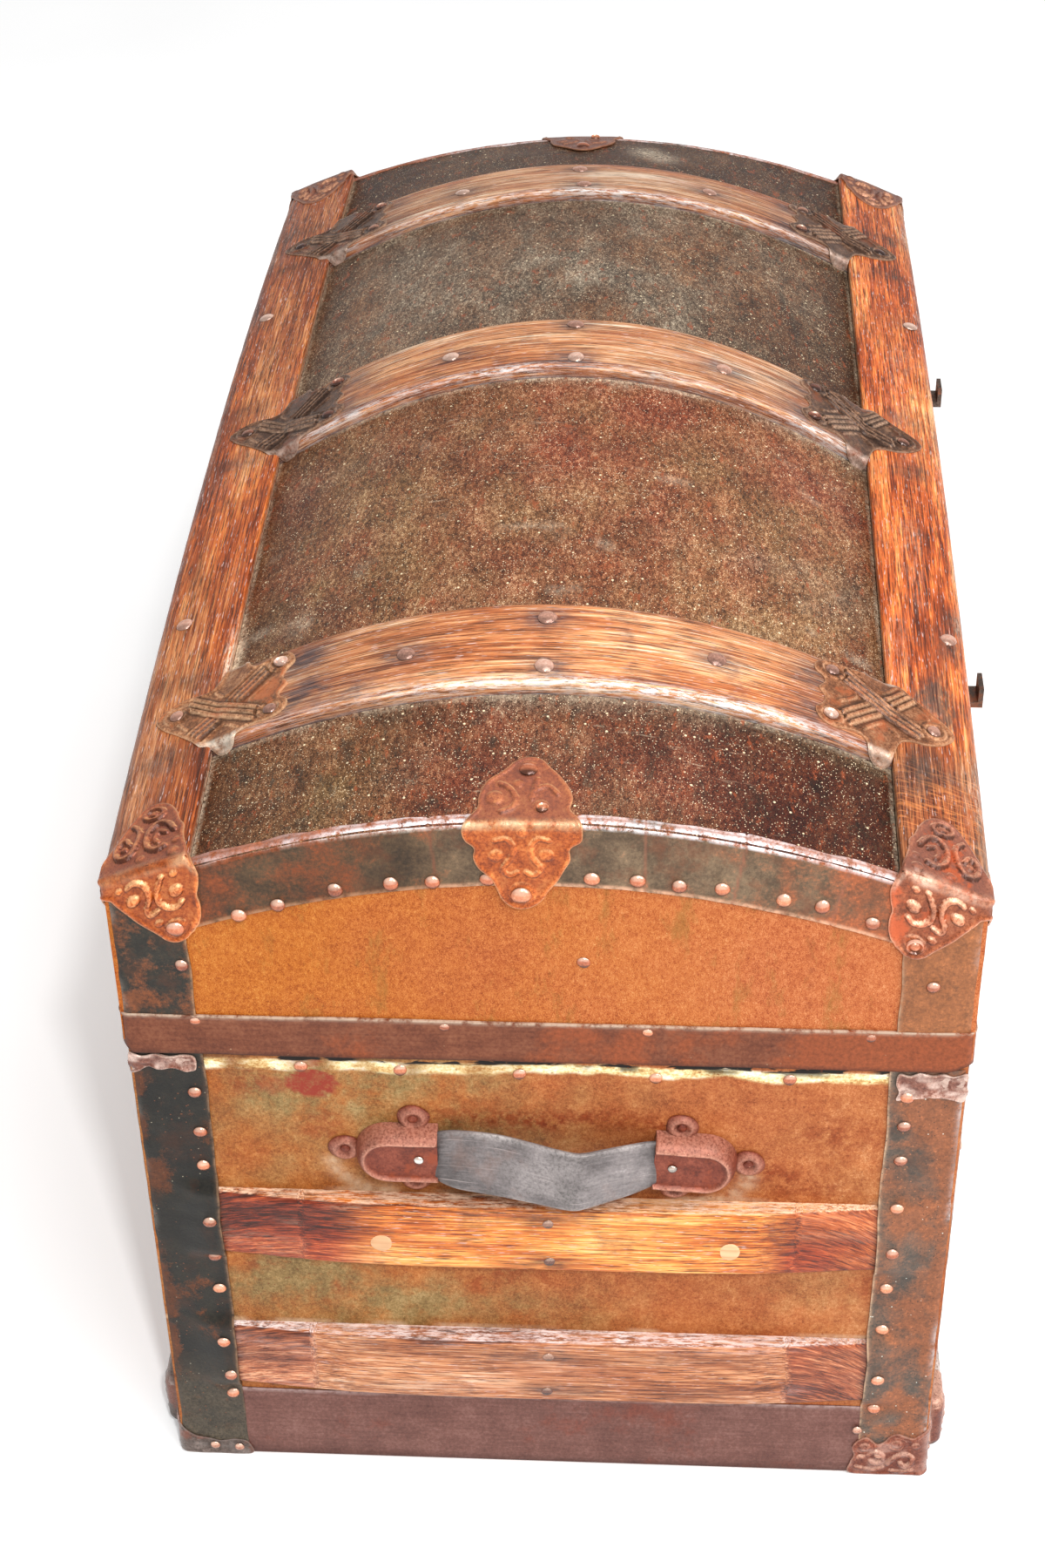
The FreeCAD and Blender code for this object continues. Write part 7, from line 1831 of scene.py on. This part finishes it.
# ------------------------------------------------------------ paper lining of the body
def sheet(P0, U, W, nu, nw, thick, amp, seed, name):
    """A thin closed sheet from the corner P0 along U and W, with a slight wave."""
    P0, U, W = (np.asarray(v, float) for v in (P0, U, W))
    N = np.cross(U, W)
    N /= np.linalg.norm(N)
    a, b = np.meshgrid(np.linspace(0, 1, nu), np.linspace(0, 1, nw), indexing="ij")
    Q = P0 + a[..., None] * U + b[..., None] * W
    edge = np.minimum(np.minimum(a, 1 - a) * np.linalg.norm(U), np.minimum(b, 1 - b) * np.linalg.norm(W))
    d = amp * (0.5 + 0.5 * fbm(Q, (70, 70, 70), seed, 3)) * sstep(0, 18, edge)
    V, F = slab(Q + N * (thick + d)[..., None], Q)
    flat = np.stack([a * np.linalg.norm(U), b * np.linalg.norm(W), 0 * a], -1).reshape(-1, 3) / 1000
    make(name, V, F, PAPER, "root", {"hgt": np.zeros(len(V)), "grain": np.tile(flat, (len(V) // len(flat), 1))})


sheet((-428.8, -228.8, 22.3), (0, 457.6, 0), (0, 0, 334.0), 90, 66, 0.25, 0.7, 71, "lining_left")
sheet((428.8, 228.8, 22.3), (0, -457.6, 0), (0, 0, 334.0), 90, 66, 0.25, 0.7, 72, "lining_right")
sheet((428.4, -228.8, 22.3), (-856.8, 0, 0), (0, 0, 334.0), 150, 66, 0.25, 0.7, 73, "lining_front")
sheet((-428.4, 228.8, 22.3), (856.8, 0, 0), (0, 0, 334.0), 150, 66, 0.25, 0.7, 74, "lining_back")
sheet((-428.2, -228.2, 22.2), (856.4, 0, 0), (0, 456.4, 0), 150, 90, 0.25, 0.7, 75, "lining_floor")


# ------------------------------------------------------------ clamps over the ends of the long side slats
def clamp_cup(sx, sy, u0, u1, z0, z1, y0, high, name, mat, seed):
    """Pressed cup, closed at its outer end and open towards the slat; u is the distance from the middle."""
    r = 9.0
    zc = (z0 + z1) / 2
    arcs = [(u1 - r + r * math.cos(t), z1 - r + r * math.sin(t)) for t in np.linspace(math.pi / 2, 0, 8)] + [(u1 - r + r * math.cos(t), z0 + r + r * math.sin(t)) for t in np.linspace(0, -math.pi / 2, 8)]
    out = [(u0, z1)] + arcs + [(u0, z0)]
    L = []
    for a, b in zip(out, out[1:] + out[:1]):
        k = max(1, int(math.hypot(b[0] - a[0], b[1] - a[1]) / 1.6))
        L += [(a[0] + (b[0] - a[0]) * i / k, a[1] + (b[1] - a[1]) * i / k) for i in range(k)]
    curve = [(u0 - 40, z1)] + arcs + [(u0 - 40, z0)]

    def rel(U, V, d):
        P = np.stack([U, V], 1)
        e = dist_line(P, curve)
        h = high * (1 - (1 - np.clip(e / 7.0, 0, 1)) ** 2.2) ** 0.6
        um = (u0 + u1) / 2 + 1.5
        em = np.maximum.reduce([halo_ring(P, (um, zc), 6.4, 2.8, 1.1), boss(P, (um, zc), 3.2, 1.2), bead(P, [(um - 6, zc + 11), (um, zc + 14.5), (um + 6, zc + 10)], 2.8, 1.0), bead(P, [(um - 6, zc - 11), (um, zc - 14.5), (um + 6, zc - 10)], 2.8, 1.0)])
        return h + em * sstep(5.5, 8.0, e) + 0.2 * noise(np.stack([U, V, 0 * U], 1), (7, 7, 7), seed)

    def place(u, v, h):
        return np.stack([sx * u, sy * (y0 + h), v + 0 * u], 1)

    V, F, at = plate(L, 1.3, place, rel, 0.6, 0.8)
    at["relief"] = at["relief"] - high * 0.85
    at["wear"] = 0.25 * sstep(0.6, 1.4, at["relief"])
    make(name, V, F, mat, "root", at, ("slat_clamps",), angle=50)
    q = nail((sx * ((u0 + u1) / 2 + 1.5), sy * (y0 + high + 1.4), zc), (0, sy, 0), 3.0, 1.4, seed, seg=16)
    make(name + "_nail", q[0], q[1], NAILD, "root", q[2])


for sx, xn in ((-1, "left"), (1, "right")):
    for sy, yn in ((-1, "front"), (1, "back")):
        clamp_cup(sx, sy, 397.5, 427.5, 5.5, 52.5, 242.4, 10.3, "%s_%s_low_clamp" % (yn, xn), FOOT if sy < 0 else PEWTER, 301)
        clamp_cup(sx, sy, 349.5, 373.5, 191.5, 248.5, 241.8, 10.4, "%s_%s_high_clamp" % (yn, xn), CLASP, 303)


# ------------------------------------------------------------ pressed faces of the hinges, lock, hasp and latches
def scallop(hx, z0, z1, top, bottom, bump=3.0, rise=9.0):
    """Outline of a pressed plate: shaped ends (True) or plain ends, with a waist; u across, v up."""
    P = []
    if bottom:
        P += [(0, z0), (hx * 0.22, z0 + 1.0), (hx * 0.42, z0 + rise * 0.45), (hx * 0.62, z0 + rise * 0.62), (hx * 0.86, z0 + rise * 0.66), (hx, z0 + rise * 1.1)]
    else:
        P += [(0, z0), (hx * 0.5, z0), (hx - 2, z0 + 0.3), (hx, z0 + 3)]
    n = 5
    for k in range(1, n):
        z = z0 + rise * 1.1 + (z1 - z0 - rise * 2.2) * k / n
        P.append((hx - bump * 0.5 * (1 - math.cos(2 * math.pi * k / n)) * 0.5, z))
    if top:
        P += [(hx, z1 - rise * 1.1), (hx * 0.86, z1 - rise * 0.66), (hx * 0.62, z1 - rise * 0.62), (hx * 0.42, z1 - rise * 0.45), (hx * 0.22, z1 - 1.0), (0, z1)]
    else:
        P += [(hx, z1 - 3), (hx - 2, z1 - 0.3), (hx * 0.5, z1), (0, z1)]
    return P + [(-u, v) for u, v in P[-2:0:-1]]


def pressed_face(name, body, cx, sy, y0, hx, z0, z1, top, bottom, thick, nails, motif, rise=9.0):
    line = spline(scallop(hx, z0, z1, top, bottom, rise=rise), 1.5)

    def rel(U, V, d):
        P = np.stack([U, V], 1)
        h = 0.7 * np.exp(-((d - 1.9) / 0.9) ** 2)
        parts = [0 * U]
        for u, v, r in motif:
            parts += [halo_ring(P, (u, v), r, 2.2, 0.9), boss(P, (u, v), r * 0.45, 1.2)]
            parts += [bead(P, [(u - r * 1.2, v - r * 1.5), (u, v - r * 1.9), (u + r * 1.2, v - r * 1.5)], 2.0, 0.8), bead(P, [(u - r * 1.2, v + r * 1.5), (u, v + r * 1.9), (u + r * 1.2, v + r * 1.5)], 2.0, 0.8)]
        return np.maximum(h, np.maximum.reduce(parts) * sstep(2.8, 4.4, d)) + 0.12 * noise(np.stack([U, V, 0 * U], 1), (7, 7, 7), 91)

    def place(u, v, h):
        return np.stack([cx + u, sy * (y0 + h), v + 0 * u], 1)

    V, F, at = plate(line, 1.5, place, rel, thick, 0.8)
    at["wear"] = 0.3 * at["rim"]
    make(name, V, F, HARDP, body, at, angle=50)
    if nails:
        V, F, at = join([nail((cx + u, sy * (y0 + thick - 0.1), v), (0, sy, 0), 3.1, 1.4, 610 + k, seg=16) for k, (u, v) in enumerate(nails)])
        make(name + "_nails", V, F, NAILD, body, at)


for i, x in enumerate((-300.0, 0.0, 300.0)):
    pressed_face("hinge_face_body_%d" % (i + 1), "root", x, 1, 241.75, 22.0, 290.0, 350.0, False, True, 2.1, [(-12, 341), (12, 341), (-11, 312), (11, 312), (0, 299)], [(0, 326, 6.0)])
    pressed_face("hinge_face_lid_%d" % (i + 1), "lid", x, 1, 243.6, 22.0, 377.0, 438.0, True, False, 2.6, [(-12, 391), (12, 391), (-11, 416), (11, 416), (0, 429)], [(0, 403, 6.0)])
for i, x in enumerate((-190.0, 190.0)):
    nm = ("left", "right")[i]
    pressed_face(nm + "_latch_plate", "root", x, -1, 241.75, 20.0, 288.0, 354.0, False, True, 2.1, [(-14, 346), (14, 346), (-13, 308), (13, 308), (0, 297)], [])
    pressed_face(nm + "_latch_base", "lid", x, -1, 243.25, 19.0, 389.5, 458.0, True, False, 2.1, [(-14, 394), (14, 394), (-13, 430), (13, 430)], [])
    pressed_face(nm + "_latch_face", nm + "_latch", x, -1, 250.85, 14.4, 314.0, 408.0, False, True, 0.7, [], [(0, 352, 5.0), (0, 382, 4.2)])
pressed_face("lock_plate", "root", 0.0, -1, 241.75, 46.0, 246.0, 354.0, False, True, 2.1, [(-37, 346), (37, 346), (-37, 304), (37, 304), (-33, 267), (33, 267), (0, 254)], [(-34, 325, 4.0), (34, 325, 4.0), (-34, 285, 4.0), (34, 285, 4.0)], 14.0)
pressed_face("hasp_base", "lid", 0.0, -1, 243.25, 25.0, 389.5, 434.0, True, False, 2.1, [(-20, 394), (20, 394), (-18, 417), (18, 417), (0, 427)], [])
pressed_face("hasp_face", "hasp", 0.0, -1, 250.85, 20.5, 292.0, 401.0, False, True, 0.8, [], [(0, 330, 7.5), (0, 368, 6.0)], 12.0)


# ------------------------------------------------------------ nails
def on_end(x, lst, r, h, seed, **kw):
    """Nail heads on both end faces at |X| = x."""
    out = []
    for sx in (-1, 1):
        for i, (y, z) in enumerate(lst):
            out.append(nail((sx * x, y, z), (sx, 0, 0), r, h, seed + i + 40 * (sx > 0), **kw))
    return out


back_b = [(206, 325), (205, 293), (206, 265), (205, 222), (205, 188), (205, 158), (205, 114), (203, 83), (204, 60)]
front_b = [(-208.5, 335), (-208.5, 312), (-208, 284), (-208, 248), (-208, 211), (-207, 175), (-206.5, 138), (-206, 97), (-206, 64)]
parts = []
for i, (y, z) in enumerate(back_b + front_b):
    lift = body_bulge(z, 242 - abs(y))
    for sx in (-1, 1):
        parts.append(nail((sx * (442.7 + lift), y, z), (sx, 0, 0), 4.1, 2.3, 200 + i + 50 * (sx > 0)))
for i, (y, z) in enumerate([(142, 347), (84, 346), (15, 345), (-64, 344.5), (-141, 346)]):
    for sx in (-1, 1):
        parts.append(nail((sx * 441.7, y, z), (sx, 0, 0), 3.9, 1.5, 300 + i, flat=1))
V, F, at = join(parts)
make("body_nail_heads", V, F, NAIL, "root", at, ("body_nails",))
parts = []
for i, (y, z) in enumerate([(-1, 235), (-2, 203), (0, 117), (1, 85)]):
    for sx in (-1, 1):
        parts.append(nail((sx * 454.7, y, z), (sx, 0, 0), 3.4, 0.9, 330 + i, flat=1))
for sy in (-1, 1):
    for x in (-404.5, 404.5):
        for k, z in enumerate((68, 112, 156, 200, 244, 288, 332)):
            parts.append(nail((x, sy * 242.7, z), (0, sy, 0), 3.7, 2.2, 350 + k + 10 * (x > 0)))
    for x in (-300, -180, -60, 60, 180, 300):
        parts.append(nail((x, sy * 252.5, 29), (0, sy, 0), 3.2, 0.9, 380 + int(x / 10), flat=1))
        parts.append(nail((x, sy * 251.7, 220), (0, sy, 0), 3.2, 0.9, 390 + int(x / 10), flat=1))
V, F, at = join(parts)
make("body_slat_nail_heads", V, F, NAILE, "root", at)
parts = []
for sx in (-1, 1):
    for y, z in ((100, 214.5), (-109.5, 215.0)):
        x = 441.7 + float(np.interp(abs(y), SLAT_Y, SLAT_T))
        parts.append(nail((sx * (x - 0.3), y, z), (sx, 0, 0), 7.0, 1.0, 400, flat=1, seg=24))
V, F, at = join(parts)
make("slat_plugs", V, F, PLUG, "root", at)

arch_r = [(169, 461.5), (146.5, 469.5), (114, 481.5), (83, 486.5), (60, 488.7), (29.5, 491.6), (-27, 493), (-52, 492.5), (-75, 489), (-98, 488), (-132, 481), (-153, 477), (-181, 466)]
parts = on_end(444.1, arch_r, 4.4, 2.5, 420) + on_end(443.2, [(-22.5, 432.5)], 3.7, 1.2, 440, flat=1) + on_end(444.3, [(200, 382), (57, 382), (-59, 381.5), (-185, 382)], 2.9, 1.0, 450)
parts += on_end(444.3, [(204, 424), (-217, 421)], 3.9, 2.2, 460)
for sy in (-1, 1):
    for x in ((-360, -240, -120, 120, 240, 360) if sy < 0 else (-380, -230, -130, 130, 230, 380)):
        parts.append(nail((x, sy * 244.5, 382), (0, sy, 0), 2.9, 1.0, 470 + x // 20))
    for x in (-404.5, 404.5):
        for z in (404, 432):
            parts.append(nail((x, sy * 244.2, z), (0, sy, 0), 3.9, 2.2, 480 + z))
V, F, at = join(parts)
make("lid_nail_heads", V, F, NAIL, "lid", at, ("lid_nails",))
parts = []
for i, x0 in enumerate(SLAT_X):
    for k, (dx, y) in enumerate(SLAT_NAILS[i]):
        p, nrm = surf_point(dome, x0 + dx, y, 9.25)
        parts.append(nail(p, nrm, 5.5, 2.2, 500 + 5 * i + k, seg=22))
for sy in (-1, 1):
    for x, y in ((-219.5, 229.5 if sy > 0 else 235), (181, 231 if sy > 0 else 235)):
        p, nrm = surf_point(rail, x, sy * y, 0.3)
        parts.append(nail(p, nrm, 5.2, 2.0, 530 + int(x) // 10, seg=22))
V, F, at = join(parts)
make("lid_wood_nail_heads", V, F, NAILW, "lid", at)


# ------------------------------------------------------------ the rest of the CAD nodes
CAD_MATS = {
    "front_board": PINE, "back_board": PINE, "left_end_board": PINEY, "right_end_board": PINEY, "bottom_board": PINE, "bottom_runners": PINEY,
    "lid_front_board": PINE, "lid_back_board": PINE, "lid_left_end_board": PINEY, "lid_right_end_board": PINEY, "lid_staves": PINE,
}

for nm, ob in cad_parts.items():
    ob.data.materials.clear()
    ob.data.materials.append(CAD_MATS.get(nm, DARK))

# worn, rounded edges on the hardware and the boards
for nm, wide in (("lock", 0.8), ("hasp", 0.7), ("hasp_bracket", 0.9), ("left_latch_arm", 0.7), ("right_latch_arm", 0.7), ("latch_brackets", 1.3), ("latch_strikes", 0.9), ("latch_pins", 0.4),
                 ("hinge_body_leaves", 0.5), ("hinge_lid_leaves", 0.5), ("hinge_pins", 0.4), ("bottom_runners", 2.0), ("lid_staves", 0.5)):
    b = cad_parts[nm].modifiers.new("soft_edges", "BEVEL")
    b.width = wide * 0.001
    b.segments = 2
    b.limit_method = "ANGLE"
    b.angle_limit = math.radians(40)

# ------------------------------------------------------------ floor, lights, camera
bpy.ops.mesh.primitive_plane_add(size=24.0, location=(0, 0, 0))
floor = bpy.context.object
floor.name = "floor"
fm = Mat("pale_floor")
fn = fm.noise(2.0, 3.0, 0.5)
floor.data.materials.append(fm.done(fm.ramp(fn, [(0.3, (246, 246, 246)), (0.7, (252, 252, 252))]), 0.85, spec=0.1))
fm.b.inputs["Emission Color"].default_value = (1.0, 1.0, 1.0, 1.0)
fm.b.inputs["Emission Strength"].default_value = 0.22

w = bpy.data.worlds.new("studio")
SC.world = w
w.use_nodes = True
w.node_tree.nodes["Background"].inputs[0].default_value = (1.0, 1.0, 1.0, 1.0)
w.node_tree.nodes["Background"].inputs[1].default_value = 0.52


def area(name, loc, target, size, power, color=(1, 1, 1)):
    d = bpy.data.lights.new(name, "AREA")
    d.energy = power
    d.size = size
    d.color = color
    o = bpy.data.objects.new(name, d)
    SC.collection.objects.link(o)
    o.location = loc
    o.rotation_euler = (Vector(target) - Vector(loc)).to_track_quat("-Z", "Y").to_euler()
    return o


area("soft_overhead", (-1.1, -0.9, 2.9), (-0.1, 0.0, 0.3), 1.8, 62)
area("soft_right", (-1.7, -2.4, 1.9), (-0.2, 0.0, 0.3), 1.2, 34)
area("crisp_front", (-2.4, -0.5, 2.7), (-0.4, 0.0, 0.3), 0.16, 46)

cam = bpy.data.cameras.new("camera")
co = bpy.data.objects.new("camera", cam)
SC.collection.objects.link(co)
R = ((0.05392078191433065, -0.9984165994717005, -0.01602632762404406), (-0.6024427706827509, -0.019727722936267275, -0.7979182445588271), (0.7963386574378, 0.05267932086802068, -0.6025525967274943))
M = Matrix.Identity(4)
for i in range(3):
    M[i][0] = R[0][i]
    M[i][1] = -R[1][i]
    M[i][2] = -R[2][i]
M[0][3], M[1][3], M[2][3] = -1.596496, -0.066659, 1.428873
co.matrix_world = M
cam.sensor_width = 36.0
cam.sensor_fit = "AUTO"
cam.lens = 3133.007 / 1800 * 36.0
cam.clip_start = 0.05
cam.clip_end = 60
SC.camera = co
